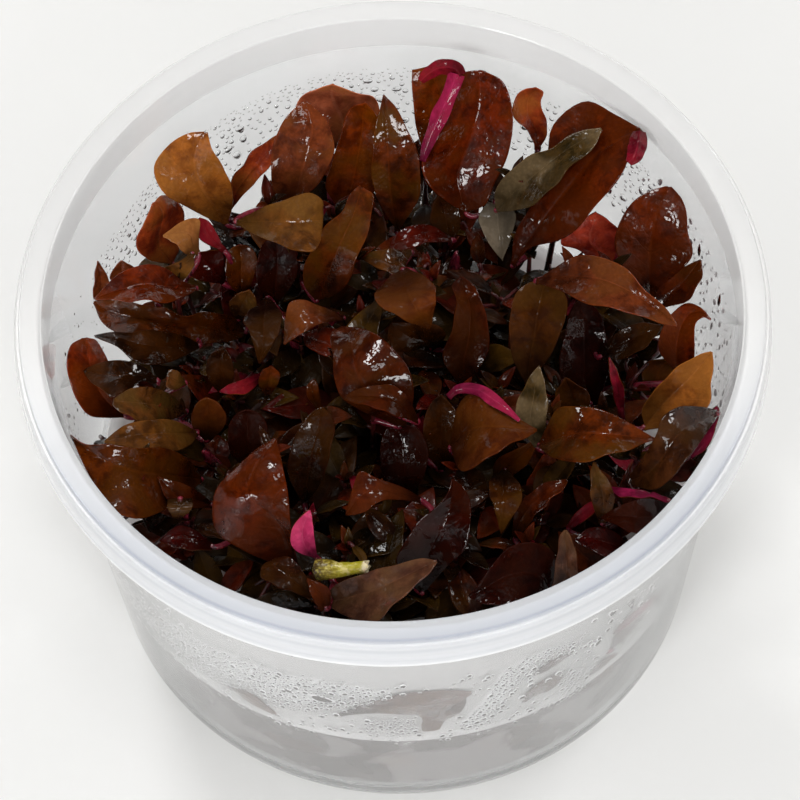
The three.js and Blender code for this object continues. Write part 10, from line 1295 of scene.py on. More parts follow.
TONE = {
    "russet": (0.50, 0.29, 0.03),
    "amber": (0.85, 0.78, 0.91), "orangebrown": (0.75, 0.45, 0.04), "gold": (0.7, 0.45, 0.61),
    "redorange": (0.84, 1.05, 0.64), "crimson": (0.85, 0.6, 0.5), "magenta": (0.68, 0.80, 0.60),
    "pink": (1.0, 1.0, 1.0), "grey": (0.9, 0.8, 0.7), "amberbrown": (0.42, 0.22, 0.021),
    "amberdark": (0.77, 0.23, 0.039), "redbrown": (0.46, 0.12, 0.023), "tan": (0.35, 0.2, 0.02),
    "redtan": (0.45, 0.28, 0.05), "tanred": (0.39, 0.18, 0.02), "tanolive": (0.95, 0.59, 0.24),
    "brown": (0.98, 0.56, 0.14), "greybrown": (1.3, 0.5, 0.2), "olive": (0.784, 0.353, 0.28),
    "darkolive": (0.72, 0.23, 0.036), "oliveamber": (0.66, 0.43, 0.44), "greyolive": (0.4, 0.18, 0.07),
    "purple": (1.07, 1.06, 0.47), "dark": (1.2, 0.48, 0.16), "darkbrown": (0.45, 0.1, 0.023),
    "darkred": (0.47, 0.12, 0.024), "mauve": (1.13, 0.89, 0.42), "greymauve": (0.52, 0.24, 0.06),
    # rosebrown's high numbers are part of the painted light on leaf A5
    "oliveRed": (0.52, 0.22, 0.03), "rosebrown": (1.5, 1.25, 1.1), "wetolive": (0.95, 0.78, 0.62),
    "brickred": (1.4, 1.2, 1.1),
}
_made = {}


def tint(name):
    if name not in _made:
        a = TINTS[name]
        _made[name] = leaf_material("leaf_" + name, *a[:4], rough=a[4], coat=a[5], sss=0.0, glow=a[7], tone=TONE.get(name, (0.72, 0.60, 0.50)))
    return _made[name]


# ---------------------------------------------------------------------------------
# Mesh helpers
def mesh_object(name, verts, faces, mats, face_mat=None, uv=None, smooth=True):
    me = bpy.data.meshes.new(name)
    me.from_pydata((np.asarray(verts, float) * MM).tolist(), [], faces)
    if uv is not None:
        layer = me.uv_layers.new(name="leaf")
        loops = np.zeros(len(me.loops), np.int32)
        me.loops.foreach_get("vertex_index", loops)
        layer.data.foreach_set("uv", np.asarray(uv, np.float32)[loops].ravel())
    for k in mats:
        me.materials.append(k)
    if face_mat is not None:
        me.polygons.foreach_set("material_index", np.asarray(face_mat, np.int32))
    if smooth:
        me.polygons.foreach_set("use_smooth", np.ones(len(me.polygons), bool))
    me.update()
    o = bpy.data.objects.new(name, me)
    scene.collection.objects.link(o)
    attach(o, "root")
    return o


US = np.array([0, 0.12, 0.27, 0.43, 0.59, 0.75, 0.89, 1.0])


def along_rows(P, u):
    d = np.zeros_like(P)
    for i in range(8):
        a, b = max(i - 1, 0), min(i + 1, 7)
        d[i] = (P[b] - P[a]) / (US[b] - US[a])
    k = np.clip(np.searchsorted(US, u, side="right") - 1, 0, 6)
    h = (US[k + 1] - US[k])[:, None, None]
    s = ((u - US[k]) / (US[k + 1] - US[k]))[:, None, None]
    return (
        (2 * s**3 - 3 * s**2 + 1) * P[k]
        + (s**3 - 2 * s**2 + s) * h * d[k]
        + (-2 * s**3 + 3 * s**2) * P[k + 1]
        + (s**3 - s**2) * h * d[k + 1]
    )


def unit(a):
    return a / np.maximum(np.linalg.norm(a, axis=-1, keepdims=True), 1e-9)


def blade(G, s, u, w, sign, rg, th, length, quilt=1.0, wave=1.0, rib=1.0):
    """Closed thin blade on the grid G (rows x columns x 3). s is -1..1 across, u 0..1 along, w the half width of each row in mm.
    sign says on which side of the grid the upper face lies. Returns vertices, faces, face materials and uv."""
    nu, nv, _ = G.shape
    du = np.gradient(G, axis=0)
    dv = np.gradient(G, axis=1)
    N = np.cross(du, dv)
    size = np.linalg.norm(N, axis=-1)
    good = size > 1e-7
    N = unit(N)
    for i in range(nu):
        if not good[i].all():
            j = i - 1 if i > nu // 2 else i + 1
            N[i] = np.where(good[i][:, None], N[i], N[j] if 0 <= j < nu else N[i])
    N = N * sign
    U, S = np.meshgrid(u, s, indexing="ij")
    A = np.abs(S)
    Wm = w[:, None]
    disp = 0.06 * Wm * np.sin(np.pi * A) * quilt
    q = (U - 0.24 * A) * 24.0 / np.pi
    tri = np.abs(q - np.round(q))
    disp = disp - 0.03 * quilt * np.exp(-((tri / 0.13) ** 2)) * np.sin(np.pi * np.clip(A, 0, 1)) * np.minimum(Wm / 2.0, 1.0)
    rough = np.zeros_like(U)
    for f in range(6):
        a, b, c = rg.uniform(0.6, 3.4), rg.uniform(-1.6, 1.6), rg.uniform(0, 6.28)
        rough += np.sin(2 * np.pi * (a * U + b * S) + c) / 6
    disp = disp + 0.011 * length * rough * quilt * np.sin(np.pi * np.clip(U, 0.02, 0.98))
    for f in range(2):
        a, c1, c2 = rg.uniform(1.6, 3.6), rg.uniform(0, 6.28), rg.uniform(0, 6.28)
        ph = np.where(S < 0, c1, c2)
        disp = disp + 0.011 * length * wave * A**3 * np.sin(2 * np.pi * a * U + ph) * np.sin(np.pi * U)
    dm = A * Wm
    t = th * (1 - 0.5 * A**4)
    ridge = 0.30 * rib * np.exp(-((dm / 0.30) ** 2)) * (1 - 0.8 * U) * np.minimum(Wm / 1.4, 1.0)
    groove = 0.10 * rib * np.exp(-((dm / 0.22) ** 2)) * (1 - 0.6 * U) * np.minimum(Wm / 1.4, 1.0)
    top = G + N * (disp + t / 2 - groove)[..., None]
    bot = G + N * (disp - t / 2 - ridge)[..., None]
    i, j = np.meshgrid(np.arange(nu - 1), np.arange(nv - 1), indexing="ij")
    a = (i * nv + j).ravel()
    quads = np.stack([a, a + nv, a + nv + 1, a + 1], 1)
    o = nu * nv
    ring = (
        [r * nv for r in range(nu)]
        + [(nu - 1) * nv + c for c in range(1, nv)]
        + [r * nv + nv - 1 for r in range(nu - 2, -1, -1)]
        + [c for c in range(nv - 2, 0, -1)]
    )
    ring = np.array(ring)
    nx = np.roll(ring, -1)
    rim = np.stack([nx, ring, ring + o, nx + o], 1)
    if sign < 0:
        faces = [quads[:, ::-1], quads + o, rim[:, ::-1]]
    else:
        faces = [quads, quads[:, ::-1] + o, rim]
    mats = [0] * len(quads) + [1] * len(quads) + [0] * len(rim)
    F = np.concatenate(faces)
    uv = np.stack([(S * 0.5 + 0.5).ravel(), U.ravel()], 1)
    return np.concatenate([top.reshape(-1, 3), bot.reshape(-1, 3)]), F, mats, np.concatenate([uv, uv])


VS = np.array([-1, -0.955, -0.86, -0.7, -0.52, -0.34, -0.19, -0.08, 0, 0.08, 0.19, 0.34, 0.52, 0.7, 0.86, 0.955, 1])


def traced_grid(P, nu, fold=0.5):
    lin = np.linspace(0, 1, nu)
    u = 0.6 * lin + 0.4 * (0.5 - 0.5 * np.cos(np.pi * lin))
    Q = along_rows(P, u)
    L, M, R = Q[:, 0], Q[:, 1], Q[:, 2]
    width = np.linalg.norm(R - L, axis=1)
    wide = np.where(width > 0.5)[0]
    for i in range(nu):
        least = 0.14 if i > nu / 2 else 0.9
        if width[i] < least:
            k = wide[np.argmin(np.abs(wide - i))]
            d = unit(R[k] - L[k])
            c = (L[i] + R[i]) / 2
            L[i], R[i], M[i] = c - d * least / 2, c + d * least / 2, c
    half = np.linalg.norm(R - L, axis=1) / 2
    G = np.zeros((nu, len(VS), 3))
    for j, v in enumerate(VS):
        smooth_part = M + (R - L) * v / 2 + ((L + R) / 2 - M) * v * v
        side = L if v < 0 else R
        sharp = M + (side - M) * abs(v)
        G[:, j] = smooth_part * (1 - fold) + sharp * fold
    length = np.linalg.norm(np.diff(M, axis=0), axis=1).sum()
    return G, u, half, length


def facing(G):
    """1 if the grid's own normal faces the camera, else -1."""
    nu, nv, _ = G.shape
    du = G[2:, 1:-1] - G[:-2, 1:-1]
    dv = G[1:-1, 2:] - G[1:-1, :-2]
    N = np.cross(du, dv)
    to = eye - G[1:-1, 1:-1]
    return 1.0 if (N * to).sum() > 0 else -1.0


# ---------------------------------------------------------------------------------
# Large leaves
UNDER_OF = {
    "default": "crimson", "amber": "redorange", "orangebrown": "redorange", "gold": "redorange", "tan": "darkred",
    "olive": "darkred", "dark": "darkred", "darkolive": "darkred", "darkbrown": "darkred", "grey": "greyolive",
}
UPPER_OF = {"default": "brown", "grey": "greyolive"}
rest_parts = []
for idx, (name, node, side, t, rows) in enumerate(LEAVES):
    P = np.array(rows, float).reshape(8, 3, 3)
    G, u, half, length = traced_grid(P, 34)
    f = facing(G)
    sign = f if side == "U" else -f
    other = (UNDER_OF.get(t) or UNDER_OF["default"]) if side == "U" else (UPPER_OF.get(t) or UPPER_OF["default"])
    mats = [tint(t), tint(other)] if side == "U" else [tint(other), tint(t)]
    rg = np.random.default_rng(1000 + idx)
    flat = name.startswith("wall_")  # pressed on the cup's wall
    V, F, fm, uv = blade(G, VS, u, half, sign, rg, 0.16 if flat else 0.26, length, 0.1 if flat else 0.45, 0.1 if flat else 1.0, 0.3 if flat else 1.0)
    if node:
        o = mesh_object(node + "_fine", V, F.tolist(), mats, fm, uv)
        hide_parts(node)
    else:
        o = mesh_object("side_leaf_" + name, V, F.tolist(), mats, fm, uv)


# ---------------------------------------------------------------------------------
# Tubes
def catmull(P, n):
    P = np.asarray(P, float)
    m = len(P)
    t = np.linspace(0, m - 1, n)
    k = np.clip(t.astype(int), 0, m - 2)
    s = (t - k)[:, None]
    a, b, c, d = P[np.maximum(k - 1, 0)], P[k], P[k + 1], P[np.minimum(k + 2, m - 1)]
    return 0.5 * (2 * b + (c - a) * s + (2 * a - 5 * b + 4 * c - d) * s**2 + (3 * b - a - 3 * c + d) * s**3)


def tube(C, r, sides=12):
    """Closed tube with domed ends along C with radii r."""
    C = np.asarray(C, float)
    r = np.asarray(r, float)
    T = unit(np.gradient(C, axis=0))
    n = len(C)
    ref = np.array([1.0, 0, 0]) if abs(T[0][2]) > 0.8 else np.array([0, 0, 1.0])
    x = unit(np.cross(T[0], ref)[None])[0]
    V, uv = [], []
    ang = np.arange(sides) * 2 * np.pi / sides
    for i in range(n):
        x = x - T[i] * (x @ T[i])
        x /= np.linalg.norm(x)
        y = np.cross(T[i], x)
        V.append(C[i] + r[i] * (np.cos(ang)[:, None] * x + np.sin(ang)[:, None] * y))
        uv += [(k / sides, i / (n - 1)) for k in range(sides)]
    V = np.concatenate(V)
    F = []
    for i in range(n - 1):
        for k in range(sides):
            a, b = i * sides + k, i * sides + (k + 1) % sides
            F.append([a, b, b + sides, a + sides])
    V = np.concatenate([V, [C[0] - T[0] * r[0] * 0.5], [C[-1] + T[-1] * r[-1] * 0.5]])
    uv += [(0.5, 0), (0.5, 1)]
    e = n * sides
    for k in range(sides):
        F.append([e, (k + 1) % sides, k])
        F.append([e + 1, (n - 1) * sides + k, (n - 1) * sides + (k + 1) % sides])
    return V, F, uv


class Join:
    def __init__(self):
        self.V, self.F, self.m, self.uv, self.n = [], [], [], [], 0

    def add(self, V, F, m, uv):
        V = np.asarray(V, float)
        self.V.append(V)
        self.F += [[int(i) + self.n for i in f] for f in F]
        self.m += list(m) if hasattr(m, "__len__") else [m] * len(F)
        self.uv.append(np.asarray(uv, float) if uv is not None else np.zeros((len(V), 2)))
        self.n += len(V)

    def make(self, name, mats):
        return mesh_object(name, np.concatenate(self.V), self.F, mats, self.m, np.concatenate(self.uv))


def stem_material(name, main, dark, alt, rough, coat, sss):
    k = Mat(name)
    o = k.obj()
    n1 = k.noise(o, 420.0, 3.0, 0.6, 0.3)
    n2 = k.noise(o, 2600.0, 2.0, 0.5)
    mp = k.n("ShaderNodeMapping")
    k.l(o, mp.inputs[0])
    mp.inputs["Scale"].default_value = (1.0, 1.0, 0.08)
    streak = k.noise(mp.outputs[0], 3200.0, 2.0, 0.6)
    c = k.mix(k.ramp(n1, 0.35, 0.65), rgb(dark), rgb(main))
    c = k.mix(k.ramp(streak, 0.45, 0.7, 0.0, 0.6), c, rgb(alt))
    k.set(k.p, "Base Color", c)
    k.set(k.p, "Roughness", k.ramp(n1, 0.3, 0.7, rough * 0.7, rough * 1.3))
    h = k.math("ADD", k.math("MULTIPLY", streak, 0.6), k.math("MULTIPLY", n2, 0.3))
    k.set(k.p, "Normal", k.bump(h, 0.4, 0.0001))
    k.p.inputs["Coat Weight"].default_value = coat
    k.p.inputs["Coat Roughness"].default_value = 0.08
    k.p.inputs["Subsurface Weight"].default_value = sss
    k.p.inputs["Subsurface Radius"].default_value = (1.0, 0.3, 0.2)
    k.p.inputs["Subsurface Scale"].default_value = 0.001
    return k.m


stem_mat = stem_material("stem_crimson", "#74162a", "#360a14", "#963444", 0.30, 0.4, 0.3)
shoot_mat = stem_material("shoot_dark", "#4a1218", "#1c0a08", "#5e2a1c", 0.36, 0.2, 0.2)


def cut_material():
    """Olive, pale and dry at the cut, and dark brown at the end that goes under the leaves, which is painted shade."""
    k = Mat("stem_cut")
    o = k.obj()
    uv = k.n("ShaderNodeSeparateXYZ")
    k.l(k.n("ShaderNodeTexCoord").outputs["UV"], uv.inputs[0])
    n1 = k.noise(o, 620.0, 3.0, 0.6, 0.3)
    n2 = k.noise(o, 2400.0, 2.0, 0.5)
    t = k.math("ADD", uv.outputs[1], k.math("MULTIPLY", k.math("SUBTRACT", n1, 0.5), 0.22))
    # painted shade: dark brown at the end that goes under the leaves
    c = k.mix(k.ramp(t, 0.0, 0.32), rgb("#2e1c0a"), rgb("#6c5a12"))
    c = k.mix(k.ramp(t, 0.28, 0.62), c, rgb("#a0951f"))
    c = k.mix(k.ramp(n2, 0.44, 0.64, 0.0, 0.45), c, rgb("#c0b04c"))
    c = k.mix(k.ramp(n1, 0.60, 0.66, 0.0, 0.75), c, rgb("#cfc07e"))
    c = k.mix(k.ramp(t, 0.86, 0.93), c, rgb("#e0d0a8"))
    k.set(k.p, "Base Color", c)
    k.set(k.p, "Roughness", k.ramp(t, 0.80, 0.95, 0.30, 0.65))
    k.set(k.p, "Normal", k.bump(k.math("ADD", n1, k.math("MULTIPLY", n2, 0.5)), 0.6, 0.0003))
    k.p.inputs["Subsurface Weight"].default_value = 0.25
    k.p.inputs["Subsurface Radius"].default_value = (1.0, 0.8, 0.3)
    k.p.inputs["Subsurface Scale"].default_value = 0.001
    return k.m


stub_mat = cut_material()

for name, pts in STEMS.items():
    P = np.array(pts, float)
    n = 40
    C = catmull(P, n)
    t = np.linspace(0, 1, n)
    rg = np.random.default_rng(abs(int(P[0, 0] * 10)) + 5)
    C[1:-1, :2] += 0.12 * np.sin(t[1:-1, None] * np.array([9.0, 11.0]) + rg.uniform(0, 6, 2))
    r = 0.86 * (1.04 - 0.24 * t)
    for z in np.arange(0.12, 1.0, 0.22):
        r = r * (1 + 0.13 * np.exp(-(((t - z) / 0.018) ** 2)))
    r = r * np.clip((1.0 - t) / 0.12, 0.12, 1.0) ** 0.6  # the growing tip narrows
    V, F, uv = tube(C, r, 14)
    o = mesh_object(name + "_fine", V, F, [stem_mat], None, uv)
    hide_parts(name)

# Cut stem end: flared foot, waist, and a pale cut face at its far end.
P = np.array(CUT_STEM, float)
C = catmull(P[:, :3], 30)
r = catmull(np.stack([P[:, 3]] * 3, 1), 30)[:, 0]
V, F, uv = tube(C, r, 18)
rg = np.random.default_rng(77)
ph = np.arctan2(V[:, 2] - V[:, 2].mean(), V[:, 1] - V[:, 1].mean())
V = V + unit(V - np.repeat(V.mean(0)[None], len(V), 0)) * (0.07 * np.sin(5 * ph + V[:, 0] * 2.0))[:, None]
ax = unit((C[-1] - C[-4])[None])[0]
V[-1] -= ax * 0.75 * r[-1]  # the cut face: flat, with a torn edge
V[29 * 18:30 * 18] += ax * rg.uniform(-0.32, 0.30, 18)[:, None]
o = mesh_object("cut_stem_end_fine", V, F, [stub_mat], None, uv)
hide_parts("cut_stem_end")

# ---------------------------------------------------------------------------------
# Small leaves and shoots under the large leaves
SMALL_TINTS = ["darkbrown", "dark", "darkolive", "redbrown", "olive", "brown", "darkred", "crimson"]
SW = [0.24, 0.16, 0.20, 0.12, 0.12, 0.08, 0.05, 0.03]
rg = np.random.default_rng(21)
groups = [Join() for _ in range(4)]
VSS = np.array([-1, -0.9, -0.6, -0.25, 0, 0.25, 0.6, 0.9, 1])
under_slots = []
for t_ in SMALL_TINTS:
    a_ = TINTS[t_]
    under_slots.append(leaf_material("small_" + t_, *a_[:4], rough=a_[4], coat=a_[5] * 0.40, sss=0.0, glow=a_[7], tone=(0.72, 0.42, 0.17) if t_ != "crimson" else (0.6, 0.4, 0.35), spec=0.12))
for i, row in enumerate(SMALL):
    b, d, nv_, l, w, k = np.array(row[:3]), np.array(row[3:6]), np.array(row[6:9]), row[9], row[10], row[11]
    nu = 11
    u = np.linspace(0, 1, nu)
    sh = np.sin(np.pi * u**0.85) ** 0.85
    sh[0], sh[-1] = 0.10, 0.02
    side = np.cross(d, nv_)
    half = sh * w / 2
    c = b + np.outer(u * l, d) - np.outer(k * l * u * u, nv_)
    G = np.zeros((nu, len(VSS), 3))
    for j, v in enumerate(VSS):
        G[:, j] = c + np.outer(half * v, side) + np.outer(half * 0.25 * (0.6 * abs(v) + 0.4 * v * v), nv_)
    N = np.cross(G[2] - G[1], G[1, 5] - G[1, 3])
    sign = 1.0 if (N[4] if N.ndim > 1 else N) @ nv_ > 0 else -1.0
    V, F, fm, uv = blade(G, VSS, u, half, sign, rg, 0.22, l, 0.6)
    a = rg.choice(len(SMALL_TINTS), p=SW)
    b_ = 6 if rg.random() < 0.5 else 7
    fm = np.where(np.array(fm) == 0, a, b_)
    groups[i % 4].add(V, F, fm, uv)
for g, J in enumerate(groups):
    o = J.make(f"small_leaves_{g + 1}", under_slots)
    if g == 0:
        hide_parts("small_leaves")

# Every shoot ends in a bud of young leaves, and each small leaf has a stalk to its shoot.
J = Join()
B = Join()
rg = np.random.default_rng(8)
axis_pts = []
VSB = np.array([-1, -0.55, 0, 0.55, 1])
for x, y, lx, ly, top in SHOOTS:
    z = np.linspace(19.7, max(top - 2.6, 22.4), 12)
    C = np.stack([x + lx * (z - 19.6), y + ly * (z - 19.6), z], 1)
    axis_pts.append(C)
    V, F, uv = tube(C, np.linspace(0.6, 0.26, 12), 8)
    J.add(V, F, 1, uv)
    az = rg.uniform(0, 6.28)
    for q in range(4):
        a, el = az + q * 2.2, math.radians(rg.uniform(48, 76))
        d = np.array([math.cos(a) * math.cos(el), math.sin(a) * math.cos(el), math.sin(el)])
        nv_ = np.array([-math.cos(a) * math.sin(el), -math.sin(a) * math.sin(el), math.cos(el)])
        l = rg.uniform(2.6, 4.2)
        u = np.linspace(0, 1, 9)
        half = np.maximum(np.sin(np.pi * u**0.85) ** 0.85, 0.05) * l * 0.19
        c = C[-1] + d * 0.1 + np.outer(u * l, d) - np.outer(0.18 * l * u * u, nv_)
        side = np.cross(d, nv_)
        G = np.stack([c + np.outer(half * v, side) + np.outer(half * 0.4 * abs(v), nv_) for v in VSB], 1)
        N = np.cross(G[2, 3] - G[1, 3], G[1, 3] - G[1, 1])
        V, F, fm, uv = blade(G, VSB, u, half, 1.0 if N @ nv_ > 0 else -1.0, rg, 0.18, l, 0.4)
        a = rg.choice(len(SMALL_TINTS), p=[0.2, 0.15, 0.15, 0.2, 0.05, 0.05, 0.15, 0.05])
        B.add(V, F, np.where(np.array(fm) == 0, a, 6), uv)
B.make("shoot_buds", under_slots)
AX = np.concatenate(axis_pts)
for row in SMALL:
    b, d = np.array(row[:3]), np.array(row[3:6])
    low = AX[AX[:, 2] < b[2] + 0.6]
    e = low[np.argmin(np.linalg.norm(low - b, axis=1))]
    gap_ = np.linalg.norm(e - b)
    if gap_ < 2.2:
        C = np.array([b + d * 0.2, (b + e) / 2 - [0, 0, 0.05], e])
    else:
        C = np.array([b + d * 0.2, b - d * gap_ * 0.3, e + [0, 0, 0.3 * gap_], e])
    C = catmull(C, 6)
    V, F, uv = tube(C, np.linspace(0.24, 0.30, 6), 6)
    J.add(V, F, 1, uv)
for pts in STALKS:
    B = np.array(pts, float)
    t = np.linspace(0, 1, 12)[:, None]
    C = (1 - t) ** 3 * B[0] + 3 * (1 - t) ** 2 * t * B[1] + 3 * (1 - t) * t**2 * B[2] + t**3 * B[3]
    V, F, uv = tube(C, np.linspace(0.36, 0.46, 12), 8)
    J.add(V, F, 0, uv)
J.make("shoots_and_stalks", [stem_mat, shoot_mat])


# ---------------------------------------------------------------------------------
# Turned pieces
def fillet(P, radii, n=5):
    """Rounds the corners of an open profile."""
    out = [P[0]]
    for a, b, c, r in zip(P[:-2], P[1:-1], P[2:], radii):
        a, b, c = map(np.array, (a, b, c))
        if r <= 0:
            out.append(tuple(b))
            continue
        u1, u2 = (a - b) / np.linalg.norm(a - b), (c - b) / np.linalg.norm(c - b)
        half_angle = math.acos(max(-1, min(1, float(u1 @ u2)))) / 2
        d = min(r / math.tan(half_angle), 0.45 * np.linalg.norm(a - b), 0.45 * np.linalg.norm(c - b))
        p, q = b + u1 * d, b + u2 * d
        for t in np.linspace(0, 1, n):
            out.append(tuple((1 - t) ** 2 * p + 2 * (1 - t) * t * b + t * t * q))
    out.append(P[-1])
    return out


def subdivide(P, step):
    out = [P[0]]
    for a, b in zip(P[:-1], P[1:]):
        n = max(1, int(math.ceil(math.dist(a, b) / step)))
        for k in range(1, n + 1):
            out.append((a[0] + (b[0] - a[0]) * k / n, a[1] + (b[1] - a[1]) * k / n))
    return out


def lathe(name, P, mats, seg=256):
    """Closed turned body. P runs from axis to axis, anticlockwise seen with r right and z up."""
    ang = np.arange(seg) * 2 * np.pi / seg
    V = [(0, 0, P[0][1])]
    for r, z in P[1:-1]:
        V += [(r * math.cos(a), r * math.sin(a), z) for a in ang]
    V.append((0, 0, P[-1][1]))
    n = len(P) - 2
    F = []
    for k in range(seg):
        F.append([0, 1 + (k + 1) % seg, 1 + k])
        e = 1 + (n - 1) * seg
        F.append([len(V) - 1, e + k, e + (k + 1) % seg])
    for i in range(n - 1):
        for k in range(seg):
            a, b = 1 + i * seg + k, 1 + i * seg + (k + 1) % seg
            F.append([a, b, b + seg, a + seg])
    o = mesh_object(name, V, F, mats)
    w = o.modifiers.new("even_normals", "WEIGHTED_NORMAL")
    w.mode, w.weight, w.keep_sharp = "FACE_AREA", 50, False
    return o


def rin(z):
    return 37.9 + (43.8 - 37.9) * z / 60.6


profile = [
    (0, 0.6), (35.3, 0.6), (36.0, 0.0), (38.0, 0.0), (38.75, 0.5), (38.98, 1.4),
    (43.95, 55.67), (44.2, 59.1), (46.4, 59.3), (46.75, 55.67), (47.5, 55.67), (47.48, 56.97),
    (47.34, 57.87), (47.26, 59.7), (46.95, 60.12), (46.66, 60.05), (46.5, 60.6), (43.92, 60.6), (43.77, 60.4),
    (rin(30), 30), (rin(3.2), 3.2), (37.3, 2.0), (35.9, 1.5), (0, 1.5),
]
radii = [0, 0, 0.15, 0.4, 0.6, 0, 0.5, 0.25, 0.15, 0.15, 0.2, 0.4, 0.4, 0.25, 0.15, 0.15, 0.12, 0.12, 0, 1.2, 1.2, 0.8]
while len(radii) < len(profile) - 2:
    radii.append(0)


def cup_material():
    k = Mat("cup_plastic")
    o = k.obj()
    n1 = k.noise(o, 60.0, 3.0, 0.55)
    n2 = k.noise(o, 900.0, 2.0, 0.5)
    p = k.p
    k.set(p, "Roughness", k.ramp(n1, 0.3, 0.7, 0.05, 0.07))
    p.inputs["IOR"].default_value = 1.49
    k.set(p, "Normal", k.bump(k.math("ADD", n1, k.math("MULTIPLY", n2, 0.02)), 0.02, 0.0002))
    # The haze is stronger on the outside and in the lip and skirt than on the wet inner face.
    sep = k.n("ShaderNodeSeparateXYZ")
    k.l(o, sep.inputs[0])
    r = k.math("SQRT", k.math("ADD", k.math("MULTIPLY", sep.outputs[0], sep.outputs[0]), k.math("MULTIPLY", sep.outputs[1], sep.outputs[1])))
    edge = k.math("SUBTRACT", r, k.math("ADD", 0.0384, k.math("MULTIPLY", sep.outputs[2], 0.0945)))
    haze = k.ramp(edge, -0.0002, 0.0002, 0.05, 0.08)
    haze = k.math("MAXIMUM", haze, k.ramp(sep.outputs[2], 0.0550, 0.0557, 0.0, 0.50))
    haze = k.math("MAXIMUM", haze, k.ramp(sep.outputs[2], 0.0028, 0.0016, 0.0, 0.30))
    # Painted light and shade in bands round the rim: the flat lip a little grey, its step darker as if shaded, the bead
    # and the skirt's lower edge white as if lit.
    lip = k.curve(k.math("DIVIDE", r, 0.05), [(0.0, 0.9), (0.872, 0.9), (0.877, 0.80), (0.890, 0.83), (0.922, 0.76), (0.931, 0.60), (0.935, 0.92), (0.94, 1.0), (1.0, 1.0)])
    fall = k.curve(k.math("DIVIDE", sep.outputs[2], 0.0625), [(0.0, 1.0), (0.889, 1.0), (0.894, 1.0), (0.901, 0.80), (0.909, 0.80), (0.918, 0.88), (0.935, 0.90), (0.944, 0.82), (0.951, 0.84), (0.957, 1.0), (1.0, 1.0)])
    tone = k.math("MULTIPLY", lip, fall)
    # painted shade: the grey and blue of these bands are full at the front of the rim and fade towards the back
    side = k.ramp(sep.outputs[1], -0.034, 0.012, 1.0, 0.28)
    tone = k.math("SUBTRACT", 1.0, k.math("MULTIPLY", k.math("SUBTRACT", 1.0, tone), side))
    # painted shade: the whole lip and skirt a little greyer and bluer
    tone = k.math("MINIMUM", tone, k.ramp(sep.outputs[2], 0.0550, 0.0557, 1.0, 0.915))
    white = k.mix(n1, (0.985, 0.985, 0.982, 1), (1.0, 1.0, 0.995, 1))
    base = k.mix(k.ramp(tone, 0.55, 0.98), (0.50, 0.53, 0.60, 1), white)
    # painted shade: the back of the lip and skirt is mixed towards a warm grey
    far = k.math("MULTIPLY", k.ramp(sep.outputs[2], 0.0550, 0.0557), k.ramp(sep.outputs[1], -0.030, 0.010, 0.0, 0.85))
    k.set(p, "Base Color", k.mix(far, base, (0.84, 0.833, 0.82, 1)))
    k.set(p, "Transmission Weight", k.math("SUBTRACT", 1.0, haze))
    tra = k.n("ShaderNodeBsdfTranslucent")
    tra.inputs["Color"].default_value = (0.955, 0.965, 0.985, 1)
    both = k.n("ShaderNodeMixShader")
    # painted light: the back half of the wall is more translucent, so the far wall shows brighter
    k.l(k.ramp(sep.outputs[1], -0.012, 0.012, 0.04, 0.24), both.inputs[0])
    k.l(p.outputs[0], both.inputs[1])
    k.l(tra.outputs[0], both.inputs[2])
    k.l(both.outputs[0], k.out.inputs[0])
    return k.m


cup_mat = cup_material()
cup = lathe("cup_fine", subdivide(fillet(profile, radii), 4.0), [cup_mat])
cup.visible_shadow = False  # light passes through the clear plastic
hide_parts("cup")


def gel_material():
    k = Mat("gel")
    o = k.obj()
    n1 = k.noise(o, 120.0, 3.0, 0.5)
    p = k.p
    k.set(p, "Base Color", k.mix(n1, (0.92, 0.91, 0.915, 1), (0.97, 0.96, 0.96, 1)))
    p.inputs["Transmission Weight"].default_value = 1.0
    p.inputs["IOR"].default_value = 1.34
    k.set(p, "Roughness", k.ramp(n1, 0.3, 0.7, 0.10, 0.20))
    k.set(p, "Normal", k.bump(n1, 0.25, 0.0008))
    tra = k.n("ShaderNodeBsdfTranslucent")
    cloud = k.n("ShaderNodeBsdfDiffuse")
    sep = k.n("ShaderNodeSeparateXYZ")
    k.l(o, sep.inputs[0])
    blot = k.noise(o, 95.0, 2.0, 0.5, 0.8)
    c = k.mix(k.ramp(blot, 0.45, 0.56), (0.26, 0.22, 0.205, 1), (0.64, 0.59, 0.585, 1))
    # painted highlight: a near-white band along the gel's top edge stands in for light caught by the meniscus
    c = k.mix(k.ramp(sep.outputs[2], 0.0194, 0.0197), c, (0.99, 0.98, 0.97, 1))
    for q in (tra, cloud):
        k.l(c, q.inputs["Color"])
    half = k.n("ShaderNodeMixShader")
    half.inputs[0].default_value = 0.5
    k.l(cloud.outputs[0], half.inputs[1])
    k.l(tra.outputs[0], half.inputs[2])
    both = k.n("ShaderNodeMixShader")
    # the same band is more diffuse, which makes the painted highlight brighter
    k.l(k.ramp(sep.outputs[2], 0.0192, 0.0197, 0.52, 0.92), both.inputs[0])
    k.l(p.outputs[0], both.inputs[1])
    k.l(half.outputs[0], both.inputs[2])
    k.l(both.outputs[0], k.out.inputs[0])
    return k.m


g0 = 0.3
gel_profile = [
    (0, 1.8), (35.5, 1.8), (36.85, 2.4), (rin(3.2) - 0.4, 3.5), (rin(19.9) - 0.36, 19.95), (rin(19.5) - 0.9, 19.62), (rin(19.5) - 2.2, 19.5), (0, 19.5),
]
gel = lathe("nutrient_gel_fine", subdivide(fillet(gel_profile, [0.8, 0.8, 0.8, 0.1, 0.5, 0.8]), 5.0), [gel_material()], 192)
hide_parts("nutrient_gel")

